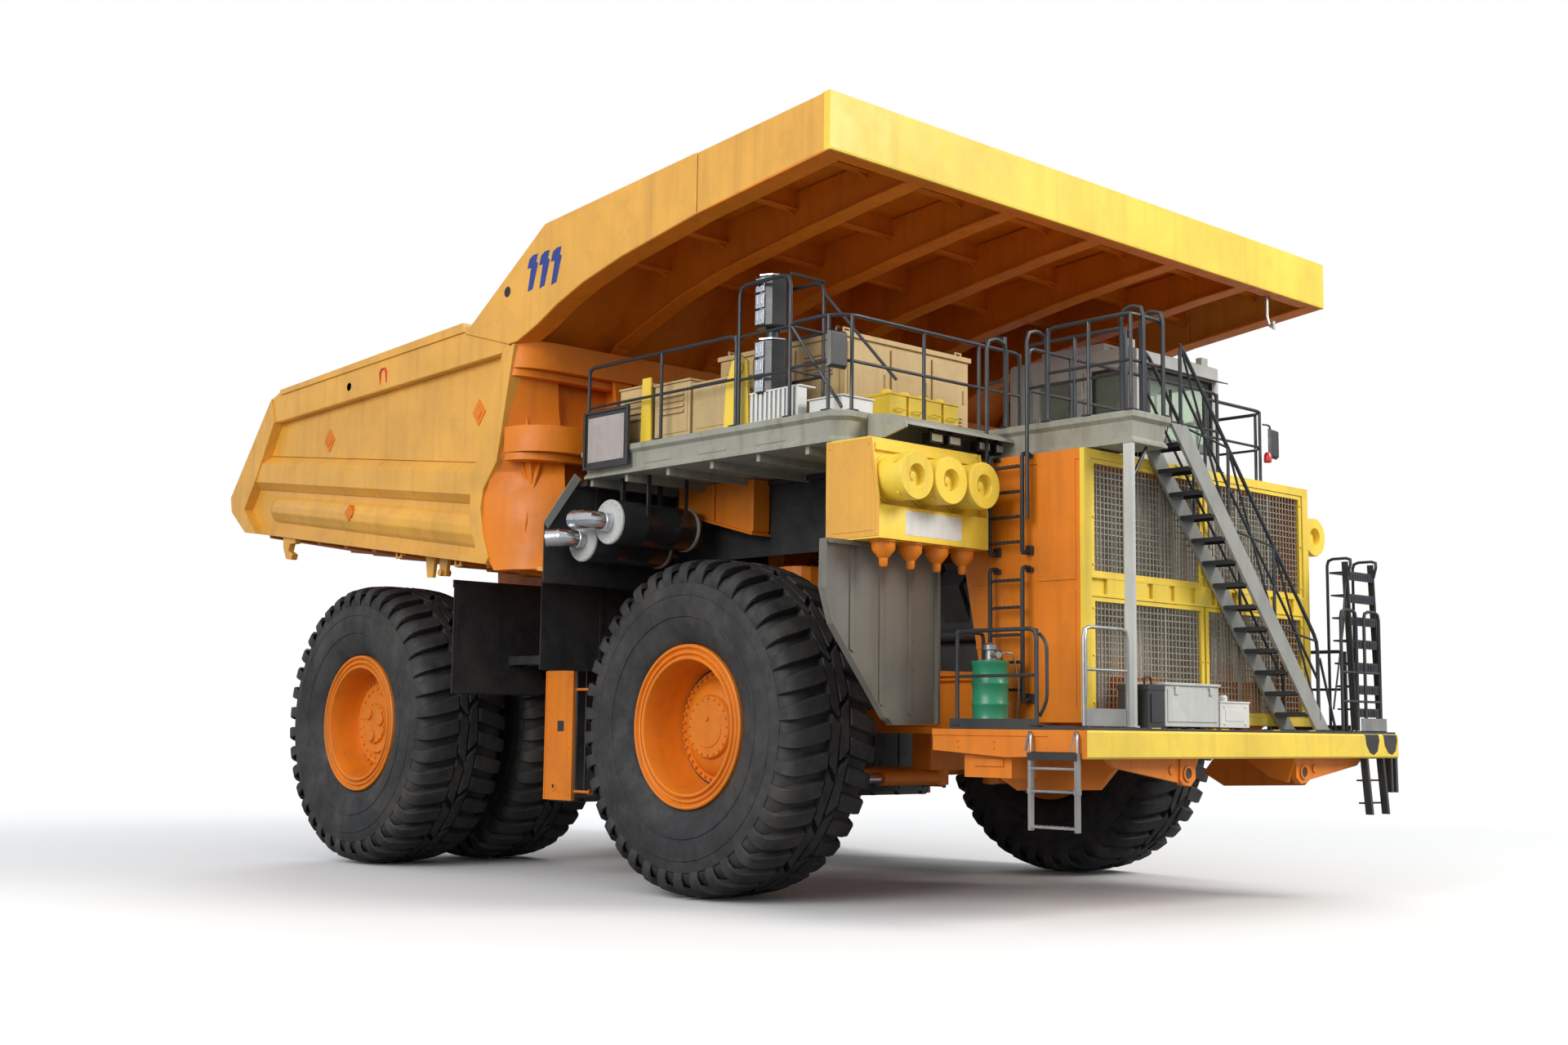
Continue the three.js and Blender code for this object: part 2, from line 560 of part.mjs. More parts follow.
// The axle box with its wheel motors, the nose that holds it forward and the two rear struts.
function rearAxle() {
  const endFace = REAR_DISC_X - HUB_DISC_THICKNESS - THRUST_GAP;
  const bearing = shaftInside(RIM_BARREL_RADIUS - RIM_WALL, WHEEL_SIDES);
  const half = [
    [endFace, 0], [endFace, MOTOR_RADIUS], [endFace - 320, MOTOR_RADIUS], [endFace - 320, bearing],
    [endFace - 820, bearing], [endFace - 820, MOTOR_RADIUS], [REAR_RIM_INNER - 60, MOTOR_RADIUS],
    [AXLE_BOX_HALF, AXLE_BOX_RADIUS - 150], [AXLE_BOX_HALF - 250, AXLE_BOX_RADIUS],
  ];
  const otherHalf = half.map(([x, r]) => [-x, r]).reverse();
  const housing = turnedX([...half, ...otherHalf], REAR_AXLE_Y, AXLE_Z);
  const nose = prismZ(
    [
      [-420, NOSE_TUBE_Y + 330], [420, NOSE_TUBE_Y + 330], [900, REAR_AXLE_Y - 600],
      [900, REAR_AXLE_Y], [-900, REAR_AXLE_Y], [-900, REAR_AXLE_Y - 600],
    ],
    AXLE_Z - 250, AXLE_Z + 350,
  );
  const noseEye = box(-300, 300, NOSE_TUBE_Y + 50, NOSE_TUBE_Y + 600, AXLE_Z - 100,
    NOSE_TUBE_Z - NOSE_TUBE_RADIUS - FIT_GAP);
  const strutY = REAR_AXLE_Y + 950;
  const strutFoot = box(700, 1080, strutY - 350, strutY + 200, AXLE_Z - 150, AXLE_Z + 250);
  const strutRod = rodZ(890, strutY, AXLE_Z + 200, AXLE_Z + 750, 130);
  const strut = rodZ(890, strutY, AXLE_Z + 600, RAIL_REAR_BOTTOM - FIT_GAP, 190, 16);
  return join([housing, nose, noseEye, ...both(strutFoot), ...both(strutRod), ...both(strut)]);
}

const ENGINE_HEIGHT = 1770;
const engineBottom = FRONT_TUBE_Z + FRONT_TUBE_RADIUS + FIT_GAP;

add('frame', DEEP_ORANGE, mainFrame());
add('rear_axle', DEEP_ORANGE, rearAxle());
add('engine', ENGINE_GREY, box(-RAIL_INNER_X + 40, RAIL_INNER_X - 40, RADIATOR_REAR_Y + 140, 900,
  engineBottom, engineBottom + ENGINE_HEIGHT));

// ---------------------------------------------------------------- bumper and platform

function frontBumper() {
  const beamRear = BUMPER_FRONT_Y + BUMPER_BEAM;
  const beam = box(-BUMPER_HALF_WIDTH, BUMPER_HALF_WIDTH, BUMPER_FRONT_Y, beamRear, BUMPER_BOTTOM,
    BUMPER_TOP);
  const side = prismX(
    [
      [beamRear - 80, BUMPER_BOTTOM + 40], [BUMPER_REAR_Y, BUMPER_BOTTOM + 60],
      [BUMPER_REAR_Y, BUMPER_TOP], [beamRear - 80, BUMPER_TOP],
    ],
    BUMPER_HALF_WIDTH - 260, BUMPER_HALF_WIDTH,
  );
  const shelf = box(-BUMPER_HALF_WIDTH + 100, BUMPER_HALF_WIDTH - 100, beamRear - 80,
    RAIL_FRONT_END + 130, BUMPER_TOP - 100, BUMPER_TOP);
  const lug = prismX(
    [
      [BUMPER_FRONT_Y + 40, BUMPER_BOTTOM - 300], [BUMPER_FRONT_Y + 280, BUMPER_BOTTOM - 360],
      [beamRear, BUMPER_BOTTOM + 50], [BUMPER_FRONT_Y, BUMPER_BOTTOM + 50],
    ],
    1120, 1280,
  );
  const crossBeam = box(-BUMPER_HALF_WIDTH + 50, BUMPER_HALF_WIDTH - 50, BUMPER_REAR_Y - 260,
    BUMPER_REAR_Y, BUMPER_BOTTOM + 60, BUMPER_TOP);
  return join([beam, ...both(side), shelf, ...both(lug), crossBeam]);
}

// Posts at the given [x, y] points, joined by a top and a middle rail.
function railing(points, floorZ, height) {
  const top = floorZ + height;
  const parts = points.map(([x, y]) => railTube([x, y, floorZ], [x, y, top]));
  for (let i = 1; i < points.length; i += 1) {
    const [[x0, y0], [x1, y1]] = [points[i - 1], points[i]];
    [top - TUBE_RADIUS, floorZ + height / 2].forEach((z) => {
      parts.push(railTube([x0, y0, z], [x1, y1, z]));
    });
  }
  return parts;
}

// A ladder in a vertical plane: two stiles from foot to head, with rungs between them.
function ladder(footA, footB, topZ, rungs) {
  const [ax, ay, az] = footA;
  const [bx, by] = footB;
  const parts = [
    rod([ax, ay, az], [ax, ay, topZ], 28, 4),
    rod([bx, by, az], [bx, by, topZ], 28, 4),
  ];
  for (let i = 0; i < rungs; i += 1) {
    const z = az + 60 + (i * (topZ - az - 160)) / (rungs - 1);
    parts.push(rod([ax, ay, z], [bx, by, z], 20, 4));
  }
  return parts;
}

const PLATFORM_FRONT_Y = BUMPER_FRONT_Y + 20;
const PLATFORM_INNER_X = BUMPER_HALF_WIDTH - 780;
const PLATFORM_REAR_Y = BUMPER_REAR_Y - 250;

function bumperPlatform() {
  const x1 = BUMPER_HALF_WIDTH;
  const z0 = BUMPER_TOP + FIT_GAP;
  const front = box(-x1, x1, PLATFORM_FRONT_Y, STAIR_INNER_Y, z0, TREAD_TOP);
  const side = box(PLATFORM_INNER_X, x1, STAIR_INNER_Y - 10, PLATFORM_REAR_Y, z0, TREAD_TOP);
  const edge = x1 - 40;
  const floor = TREAD_TOP - 10;
  const frontLine = PLATFORM_FRONT_Y + 60;
  const cage = railing([[-edge, PLATFORM_REAR_Y - 60], [-edge, STAIR_INNER_Y - 20]], floor, 1040);
  const gate = railing([[-edge, frontLine], [-edge + 700, frontLine]], floor, 1040);
  const leftRail = railing(
    [
      [edge, PLATFORM_REAR_Y - 60], [edge, STAIR_INNER_Y - 20], [edge, frontLine],
      [edge - 400, frontLine],
    ],
    floor, 1000,
  );
  const ladderX = -x1 - 45;
  const ladderFoot = BUMPER_BOTTOM - 720;
  const ladderEnds = [frontLine - 10, frontLine + 590];
  const [stileA, stileB] = ladderEnds.map((y) => [ladderX, y, ladderFoot]);
  const lowLadder = ladder(stileB, stileA, TREAD_TOP - 5, 4);
  const steps = ladder(
    [PLATFORM_INNER_X + 40, STAIR_OUTER_Y + 40, floor], [x1 - 120, STAIR_OUTER_Y + 40, floor],
    TREAD_TOP + 2000, 9,
  );
  const landingPost = box(LANDING_RIGHT_X + 30, LANDING_RIGHT_X + 110, STAIR_OUTER_Y + 60,
    STAIR_OUTER_Y + 140, floor, DECK_BOTTOM - FIT_GAP);
  const boxRear = STAIR_INNER_Y - 150;
  const battery = box(-1950, -1650, PLATFORM_FRONT_Y + 80, boxRear, floor, TREAD_TOP + 450);
  const locker = box(-1650, -620, PLATFORM_FRONT_Y + 80, boxRear, floor, TREAD_TOP + 480);
  const smallLocker = box(-620, 0, PLATFORM_FRONT_Y + 80, boxRear, floor, TREAD_TOP + 300);
  const hangers = ladderEnds.map((y) =>
    box(ladderX - 20, -x1 + 60, y - 20, y + 20, TREAD_TOP - 30, TREAD_TOP));
  return join([
    front, ...both(side), ...cage, ...gate, ...leftRail, ...steps, landingPost, battery, locker,
    smallLocker, ...[...lowLadder, ...hangers].flatMap(both),
  ]);
}

// Grease barrel with its pump on the lid.
function greaseBarrel() {
  const z = TREAD_TOP + FIT_GAP;
  return turnedAlong(
    [
      [z, 0], [z, 195], [z + 220, 195], [z + 235, 205], [z + 250, 195], [z + 640, 195],
      [z + 655, 210], [z + 690, 210], [z + 700, 120], [z + 880, 110], [z + 890, 0],
    ],
    [-2790, -3620, 0], [-2790, -3620, 1],
  );
}

add('front_bumper', BRIGHT_YELLOW, frontBumper());
add('bumper_platform', RAIL_BLACK, bumperPlatform());
add('grease_barrel', BARREL_GREEN, greaseBarrel());

// ---------------------------------------------------------------- radiator, grille, ladder, stairs

function radiatorHousing() {
  const w = RADIATOR_HALF_WIDTH;
  const side = prismX(
    [
      [GRILLE_Y, RADIATOR_BOTTOM], [RADIATOR_REAR_Y - 150, RADIATOR_BOTTOM],
      [RADIATOR_REAR_Y + 250, RADIATOR_TOP - 900], [RADIATOR_REAR_Y + 100, RADIATOR_TOP],
      [GRILLE_Y, RADIATOR_TOP],
    ],
    w - RADIATOR_WALL, w,
  );
  const top = box(-w, w, GRILLE_Y, RADIATOR_REAR_Y, RADIATOR_TOP - 120, RADIATOR_TOP);
  const bottom = box(-w, w, GRILLE_Y, RADIATOR_REAR_Y - 200, RADIATOR_BOTTOM, RADIATOR_BOTTOM + 140);
  const core = box(-w + 40, w - 40, GRILLE_Y + 350, GRILLE_Y + 750, RADIATOR_BOTTOM + 70,
    RADIATOR_TOP - 60);
  const railSpace = box(RAIL_INNER_X - FIT_GAP, RAIL_OUTER_X + FIT_GAP, GRILLE_Y - 400, 0,
    RADIATOR_BOTTOM - 600, RAIL_FRONT_TOP + FIT_GAP);
  const foot = box(RAIL_INNER_X, RAIL_OUTER_X, GRILLE_Y + 360, GRILLE_Y + 740, RAIL_FRONT_TOP - 150,
    RAIL_FRONT_TOP + 60);
  const shell = cut(join([...both(side), top, bottom, core]), both(railSpace));
  const railSlope = prismX(
    [
      [RAIL_FRONT_END - 100, 0], [-600, 0], [-600, RAIL_FRONT_TOP + FIT_GAP],
      [RAIL_FRONT_END, RAIL_FRONT_TOP - 150 + FIT_GAP], [RAIL_FRONT_END - 100, RAIL_FRONT_TOP - 150],
    ],
    RAIL_INNER_X - 10, RAIL_OUTER_X + 10,
  );
  return join([shell, ...both(cut(foot, [railSlope]))]);
}

function grille() {
  const w = RADIATOR_HALF_WIDTH;
  const back = GRILLE_Y - FIT_GAP;
  const front = back - GRILLE_THICKNESS;
  const middle = (RADIATOR_BOTTOM + RADIATOR_TOP) / 2;
  const panel = box(-w, w, front, back, RADIATOR_BOTTOM, RADIATOR_TOP);
  const recesses = [[RADIATOR_BOTTOM + 90, middle - 60], [middle + 60, RADIATOR_TOP - 90]]
    .map(([z0, z1]) => box(-w + 110, w - 110, front - 20, back - 22, z0, z1));
  return cut(panel, recesses);
}

function sideLadder() {
  const x = -RADIATOR_HALF_WIDTH - FIT_GAP;
  const [y0, y1] = [GRILLE_Y + 680, GRILLE_Y + 1140];
  const bottom = RADIATOR_BOTTOM + 210;
  const stand = x - 130;
  const stiles = ladder([stand, y0, bottom], [stand, y1, bottom], RADIATOR_TOP, 10);
  const stays = [y0, y1].flatMap((y) =>
    [0.1, 0.5, 0.9].map((t) => {
      const z = bottom + t * (RADIATOR_TOP - bottom);
      return box(stand, x, y - 20, y + 20, z, z + 60);
    }));
  return join([...stiles, ...stays]);
}

function frontStairs() {
  const width = 300;
  const topZ = DECK_TOP - 60;
  const footZ = TREAD_TOP + FIT_GAP;
  const stringer = (y) => prismY(
    [
      [STAIR_FOOT_X, footZ], [STAIR_FOOT_X + width, footZ], [STAIR_TOP_X + width, topZ],
      [STAIR_TOP_X + FIT_GAP, topZ],
    ],
    y, y + 40,
  );
  const parts = [stringer(STAIR_OUTER_Y), stringer(STAIR_INNER_Y - 40)];
  for (let i = 0; i < STAIR_TREADS; i += 1) {
    const t = (i + 0.8) / (STAIR_TREADS + 0.6);
    const x = STAIR_FOOT_X + width / 2 + (STAIR_TOP_X - STAIR_FOOT_X) * t;
    const z = footZ + (topZ - footZ) * t;
    parts.push(box(x - 140, x + 140, STAIR_OUTER_Y + 20, STAIR_INNER_Y - 20, z - 20, z + 20));
  }
  return join(parts);
}

add('radiator_housing', DEEP_ORANGE, radiatorHousing());
add('grille', BRIGHT_YELLOW, grille());
add('side_ladder', RAIL_BLACK, sideLadder());
add('front_stairs', LIGHT_GREY, frontStairs());

// ---------------------------------------------------------------- decks

function deckRight() {
  const w = DECK_HALF_WIDTH;
  return prismZ(
    [
      [-w, DECK_REAR_Y], [-w, DECK_FRONT_Y + DECK_CORNER], [-w + DECK_CORNER, DECK_FRONT_Y],
      [-DECK_INNER_X, DECK_FRONT_Y], [-DECK_INNER_X, DECK_REAR_Y],
    ],
    DECK_BOTTOM, DECK_TOP,
  );
}

const WALKWAY_LEFT_X = -1450;
const CATWALK_FRONT_Y = DECK_FRONT_Y - 300;
const CATWALK_LEFT_X = 2600;

// The left deck runs on over the radiator to the landing at the head of the stairs.
function deckLeft() {
  const w = DECK_HALF_WIDTH;
  const seam = DECK_FRONT_Y - FIT_GAP;
  return prismZ(
    [
      [LANDING_RIGHT_X, STAIR_OUTER_Y], [STAIR_TOP_X, STAIR_OUTER_Y], [STAIR_TOP_X, STAIR_INNER_Y],
      [WALKWAY_LEFT_X, STAIR_INNER_Y], [WALKWAY_LEFT_X, CATWALK_FRONT_Y],
      [CATWALK_LEFT_X, CATWALK_FRONT_Y], [CATWALK_LEFT_X, DECK_FRONT_Y],
      [w - DECK_CORNER, DECK_FRONT_Y], [w, DECK_FRONT_Y + DECK_CORNER], [w, DECK_REAR_Y],
      [-DECK_INNER_X + FIT_GAP, DECK_REAR_Y], [-DECK_INNER_X + FIT_GAP, seam],
      [LANDING_RIGHT_X, seam],
    ],
    DECK_BOTTOM, DECK_TOP,
  );
}

const edge = DECK_HALF_WIDTH - 60;
const frontEdge = DECK_FRONT_Y + 60;
const railFoot = DECK_TOP + FIT_GAP;

const handrailRight = join(railing(
  [
    [-edge, DECK_REAR_Y - 60], [-edge, 300], [-edge, -1200], [-edge, DECK_FRONT_Y + 240],
    [-DECK_HALF_WIDTH + 240, frontEdge], [-2900, frontEdge], [LANDING_RIGHT_X + 350, frontEdge],
  ],
  railFoot, HANDRAIL_HEIGHT,
));

const handrailLeft = join(railing(
  [
    [edge, DECK_REAR_Y - 60], [edge, 900], [edge, -500], [edge, -1600],
    [edge, DECK_FRONT_Y + 240], [DECK_HALF_WIDTH - 240, frontEdge],
    [CATWALK_LEFT_X + 100, frontEdge], [CATWALK_LEFT_X - 60, CATWALK_FRONT_Y + 60],
    [1000, CATWALK_FRONT_Y + 60], [-600, CATWALK_FRONT_Y + 60],
    [WALKWAY_LEFT_X - 60, CATWALK_FRONT_Y], [WALKWAY_LEFT_X - 60, STAIR_INNER_Y - 20],
  ],
  railFoot, HANDRAIL_HEIGHT,
));

function deckCabinets() {
  const z = railFoot;
  const base = box(-4000, -1200, -1450, 200, z, z + 60);
  const control = box(-3300, -1150, -1900, 300, z, z + 1140);
  const resistors = box(-4100, -3450, -1500, 1300, z, z + 730);
  const column = box(-4150, -3800, -1500, -1250, z, z + 1750);
  return join([base, control, resistors, column]);
}

add('deck_right', DECK_GREY, deckRight());
add('deck_left', DECK_GREY, deckLeft());
add('handrail_right', RAIL_BLACK, handrailRight);
add('handrail_left', RAIL_BLACK, handrailLeft);
add('deck_cabinets', CREAM, deckCabinets());

// ---------------------------------------------------------------- cab

const windowBottom = CAB_FLOOR + CAB_SILL;
const windowTop = CAB_TOP - CAB_ROOF - WINDOW_MARGIN;
const screenBottom = windowBottom - 200;
const sideWindowRear = CAB_REAR_Y - 500;
const doorFront = CAB_FRONT_Y + DOOR_SETBACK;
const doorRear = doorFront + DOOR_WIDTH;
const doorBottom = CAB_FLOOR + CAB_WALL + 10;
const doorTop = windowTop + 60;
const doorFrame = 110;
const hingeX = CAB_INNER_X - HINGE_OFFSET;
const hingeLevels = [doorBottom + 250, doorTop - 350];

// The shell carries the lower knuckle of each hinge and the door carries the upper one.
const shellHinge = (z) => join([
  rodZ(hingeX, doorFront, z - HINGE_LENGTH, z, HINGE_RADIUS),
  box(hingeX, CAB_INNER_X + 5, doorFront - 80, doorFront, z - HINGE_LENGTH, z),
]);

function doorHinge(z) {
  const z0 = z + THRUST_GAP;
  const z1 = z + HINGE_LENGTH;
  return join([
    rodZ(hingeX, doorFront, z0, z1, HINGE_RADIUS),
    box(hingeX, hingeX + 15, doorFront, doorFront + 40, z0, z1),
    box(hingeX, CAB_INNER_X + 5, doorFront + 8, doorFront + 90, z0, z1),
  ]);
}

function cabShell() {
  const w = CAB_WALL;
  const outer = box(CAB_INNER_X, CAB_OUTER_X, CAB_FRONT_Y, CAB_REAR_Y, CAB_FLOOR, CAB_TOP);
  const room = box(CAB_INNER_X + w, CAB_OUTER_X - w, CAB_FRONT_Y + w, CAB_REAR_Y - w,
    CAB_FLOOR + w, CAB_TOP - CAB_ROOF);
  const screen = box(CAB_INNER_X + WINDOW_MARGIN, CAB_OUTER_X - WINDOW_MARGIN, CAB_FRONT_Y - 10,
    CAB_FRONT_Y + w + 10, screenBottom, windowTop);
  const rightWindow = box(CAB_INNER_X - 10, CAB_INNER_X + w + 10, CAB_FRONT_Y + WINDOW_MARGIN,
    doorFront - WINDOW_MARGIN, windowBottom, windowTop);
  const leftWindow = box(CAB_OUTER_X - w - 10, CAB_OUTER_X + 10, CAB_FRONT_Y + WINDOW_MARGIN,
    sideWindowRear, windowBottom, windowTop);
  const doorway = box(CAB_INNER_X - 10, CAB_INNER_X + w + 10, doorFront, doorRear, doorBottom,
    doorTop);
  const shell = cut(outer, [room, screen, rightWindow, leftWindow, doorway]);
  return join([shell, ...hingeLevels.map(shellHinge)]);
}

// The windscreen and the two side windows meet behind the corner pillars.
function cabGlazing() {
  const inside = CAB_WALL + FIT_GAP;
  const t = GLASS_THICKNESS;
  const lap = 30;
  const x0 = CAB_INNER_X + inside;
  const x1 = CAB_OUTER_X - inside;
  const y0 = CAB_FRONT_Y + inside;
  const top = windowTop + lap;
  const screen = box(x0, x1, y0, y0 + t, screenBottom - lap, top);
  const right = box(x0, x0 + t, y0, doorFront - WINDOW_MARGIN + lap, windowBottom - lap, top);
  const left = box(x1 - t, x1, y0, sideWindowRear + lap, windowBottom - lap, top);
  return join([screen, right, left]);
}

function cabDoor() {
  const g = MOVING_GAP;
  const leaf = box(CAB_INNER_X, CAB_INNER_X + CAB_WALL, doorFront + g, doorRear - g,
    doorBottom + g, doorTop - g);
  const opening = box(CAB_INNER_X - 10, CAB_INNER_X + CAB_WALL + 10, doorFront + doorFrame,
    doorRear - doorFrame, windowBottom, windowTop - 60);
  return join([cut(leaf, [opening]), ...hingeLevels.map(doorHinge)]);
}

const doorGlass = box(CAB_INNER_X + 30, CAB_INNER_X + 30 + GLASS_THICKNESS,
  doorFront + doorFrame + FIT_GAP, doorRear - doorFrame - FIT_GAP, windowBottom + FIT_GAP,
  windowTop - 60 - FIT_GAP);

function operatorSeat() {
  const x = (CAB_INNER_X + CAB_OUTER_X) / 2;
  const y = (CAB_FRONT_Y + CAB_REAR_Y) / 2 + 200;
  const z = CAB_FLOOR + CAB_WALL + FIT_GAP;
  const base = box(x - 200, x + 200, y - 200, y + 200, z, z + 350);
  const cushion = box(x - 260, x + 260, y - 270, y + 260, z + 340, z + 470);
  const back = prismX(
    [[y + 180, z + 400], [y + 300, z + 400], [y + 420, z + 1150], [y + 300, z + 1150]],
    x - 250, x + 250,
  );
  return join([base, cushion, back]);
}

function dashboard() {
  const z = CAB_FLOOR + CAB_WALL + FIT_GAP;
  const y = CAB_FRONT_Y + CAB_WALL + 2 * FIT_GAP + GLASS_THICKNESS;
  const [x0, x1] = [CAB_INNER_X + CAB_WALL + 100, CAB_OUTER_X - CAB_WALL - 100];
  const middle = (x0 + x1) / 2;
  const desk = box(x0, x1, y, y + 380, z, z + 520);
  const column = rod([middle, y + 300, z + 400], [middle, y + 520, z + 760], 45);
  const wheel = rod([middle, y + 505, z + 740], [middle, y + 525, z + 772], 220, 16);
  return join([desk, column, wheel]);
}

add('cab_shell', CAB_GREY, cabShell());
add('cab_glazing', GLASS, cabGlazing());
add('cab_door', CAB_GREY, cabDoor());
add('door_glass', GLASS, doorGlass);
add('operator_seat', BLACK, operatorSeat());
add('dashboard', BLACK, dashboard());

// ---------------------------------------------------------------- side equipment

const CLEANER_BOTTOM = DECK_BOTTOM - 1090;

function airCleaner() {
  const housing = box(2500, 4250, -3350, DECK_FRONT_Y + 250, CLEANER_BOTTOM, DECK_BOTTOM - FIT_GAP);
  const cans = [2880, 3420, 3960].map((x) =>
    rodY(x, -3620, -3300, CLEANER_BOTTOM + 660, 255, 16));
  const cups = [2750, 3170, 3590, 4010].map((x) =>
    rodZ(x, -3180, CLEANER_BOTTOM - 280, CLEANER_BOTTOM + 20, 130, 10));
  return join([housing, ...cans, ...cups]);
}

function fender() {
  const top = CLEANER_BOTTOM - FIT_GAP;
  return prismX(
    [
      [-2900, top], [-2900, top - 1480], [-2960, top - 1930], [-2920, top - 1930],
      [-2850, top - 1480], [-2850, top],
    ],
    2850, 4650,
  );
}

// A tank between the wheels, hung from the frame rail.
function sideTank() {
  const tank = box(1900, 3500, TANK_FRONT_Y, TANK_REAR_Y, TANK_TOP - TANK_HEIGHT, TANK_TOP);
  const hanger = box(RAIL_OUTER_X + FIT_GAP, 2000, TANK_FRONT_Y + 60, TANK_REAR_Y - 60,
    TANK_TOP - 600, TANK_TOP - 100);
  return join([tank, hanger]);
}

// The flap ahead of the rear wheels, held by two arms on the back of the tank.
function mudFlap() {
  const arms = [3000, 3330].map((x) =>
    box(x, x + 100, TANK_REAR_Y + FIT_GAP, FLAP_Y, TANK_TOP - 300, TANK_TOP - 150));
  const flap = box(2850, 4350, FLAP_Y - 40, FLAP_Y, TANK_TOP - 700, TANK_TOP + 850);
  return join([...arms, flap]);
}

// Two silencers lie across the truck behind the right front wheel. Each has a pipe that leaves
// its outer end and turns back.
function mufflers() {
  const hangerTop = DECK_BOTTOM - FIT_GAP;
  const upper = { y: 1080, z: DECK_BOTTOM - 600, tip: [-4600, 1520, DECK_BOTTOM - 560] };
  const lower = { y: 1610, z: DECK_BOTTOM - 780, tip: [-4800, 1820, DECK_BOTTOM - 790] };
  const parts = [upper, lower].flatMap(({ y, z, tip }) => [
    rodX(-4400, -3100, y, z, 275, 16),
    rod([-4380, y, z], [-4600, y + 60, z + 10], 110),
    rod([-4570, y + 20, z + 10], tip, 105),
  ]);
  const hangers = [-4000, -3400].map((x) =>
    box(x, x + 60, upper.y - 150, lower.y + 100, upper.z, hangerTop));
  return join([...parts, ...hangers]);
}

addPair('air_cleaner', BRIGHT_YELLOW, airCleaner());
addPair('fender', BLACK, fender());
addPair('side_tank', BLACK, sideTank());
addPair('mud_flap', RUBBER, mudFlap());
add('mufflers', BLACK, mufflers());

// ---------------------------------------------------------------- bed

const floorBottom = (y) => FLOOR_Z + FLOOR_SLOPE * (y - FLOOR_DATUM_Y);
const floorTop = (y) => floorBottom(y) + FLOOR_THICKNESS;
const TAIL_KICK_Y = TAIL_Y - TAIL_LENGTH;

function bedFloor() {
  const front = BED_FRONT_Y + 20;
  const kick = floorBottom(TAIL_KICK_Y);
  const plate = prismX(
    [
      [front, floorBottom(front)], [TAIL_KICK_Y, kick], [TAIL_Y - 60, kick + 330],
      [TAIL_Y - 150, kick + 510], [TAIL_KICK_Y - 80, floorTop(TAIL_KICK_Y - 80)],
      [front, floorTop(front)],
    ],
    -WALL_X + FIT_GAP, WALL_X - FIT_GAP,
  );
  const bolsterFront = BED_FRONT_Y + 200;
  // Further back than its height above the pivot, a bolster would dip into the rail as it tips.
  const bolsterRear = PIVOT_Y - (RAIL_REAR_TOP - PIVOT_Z) - 40;
  const bolster = prismX(
    [
      [bolsterFront, railTop(bolsterFront) + MOVING_GAP],
      [bolsterRear, railTop(bolsterRear) + MOVING_GAP],
      [bolsterRear, floorBottom(bolsterRear) + 20],
      [bolsterFront, floorBottom(bolsterFront) + 20],
    ],
    RAIL_INNER_X - 200, RAIL_OUTER_X - 100,
  );
  const earTop = floorBottom(PIVOT_Y) + 20;
  const ear = prismX(
    [
      [PIVOT_Y - 220, PIVOT_Z], [PIVOT_Y - 150, PIVOT_Z - 220], [PIVOT_Y + 150, PIVOT_Z - 220],
      [PIVOT_Y + 220, PIVOT_Z], [PIVOT_Y + 350, earTop], [PIVOT_Y - 450, earTop],
    ],
    RAIL_INNER_X - 200, RAIL_INNER_X - THRUST_GAP,
  );
  const hoistEars = [HOIST_X - 190, HOIST_X + 130].map((x) => prismX(
    [
      [HOIST_TOP_Y - 130, HOIST_TOP_Z - 130], [HOIST_TOP_Y + 130, HOIST_TOP_Z - 130],
      [HOIST_TOP_Y + 260, floorBottom(HOIST_TOP_Y) + 60],
      [HOIST_TOP_Y - 260, floorBottom(HOIST_TOP_Y) + 20],
    ],
    x, x + 60,
  ));
  const pinHole = rodX(RAIL_INNER_X - 300, RAIL_INNER_X + 100, PIVOT_Y, PIVOT_Z,
    boreAround(PIVOT_PIN_RADIUS, PIN_SIDES), PIN_SIDES);
  const whole = join([plate, ...both(bolster), ...both(ear), ...hoistEars.flatMap(both)]);
  return cut(whole, both(pinHole));
}

function bedSide() {
  const foot = floorBottom(BED_FRONT_Y) - 10;
  return prismX(
    [
      [BED_FRONT_Y, foot], [TAIL_KICK_Y, floorBottom(TAIL_KICK_Y) - 10],
      [TAIL_Y - 50, FLOOR_Z + 1090], [TAIL_Y, FLOOR_Z + 1320], [TAIL_Y - 1210, LIP_Z - 1090],
      [TAIL_Y - 1500, LIP_Z - 980], [BED_FRONT_Y + 1650, LIP_Z - 750],
      [BED_FRONT_Y + 1610, SEAM_REAR_Z - FIT_GAP], [BED_FRONT_Y + 590, SEAM_FRONT_Z - FIT_GAP],
    ],
    WALL_X, HALF_BED,
  );
}

function bedFrontWall() {
  const foot = BED_FRONT_Y + 250;
  const top = SEAM_FRONT_Z - 10;
  const wall = prismX(
    [
      [foot, floorTop(foot) + FIT_GAP], [foot + 220, floorTop(foot + 220) + FIT_GAP],
      [BED_FRONT_Y + 950, top], [BED_FRONT_Y + 700, top],
    ],
    -WALL_X + FIT_GAP, WALL_X - FIT_GAP,
  );
  const rib = box(-WALL_X + FIT_GAP, WALL_X - FIT_GAP, BED_FRONT_Y + 200, BED_FRONT_Y + 700,
    FLOOR_Z + 1430, FLOOR_Z + 1830);
  return join([wall, rib]);
}

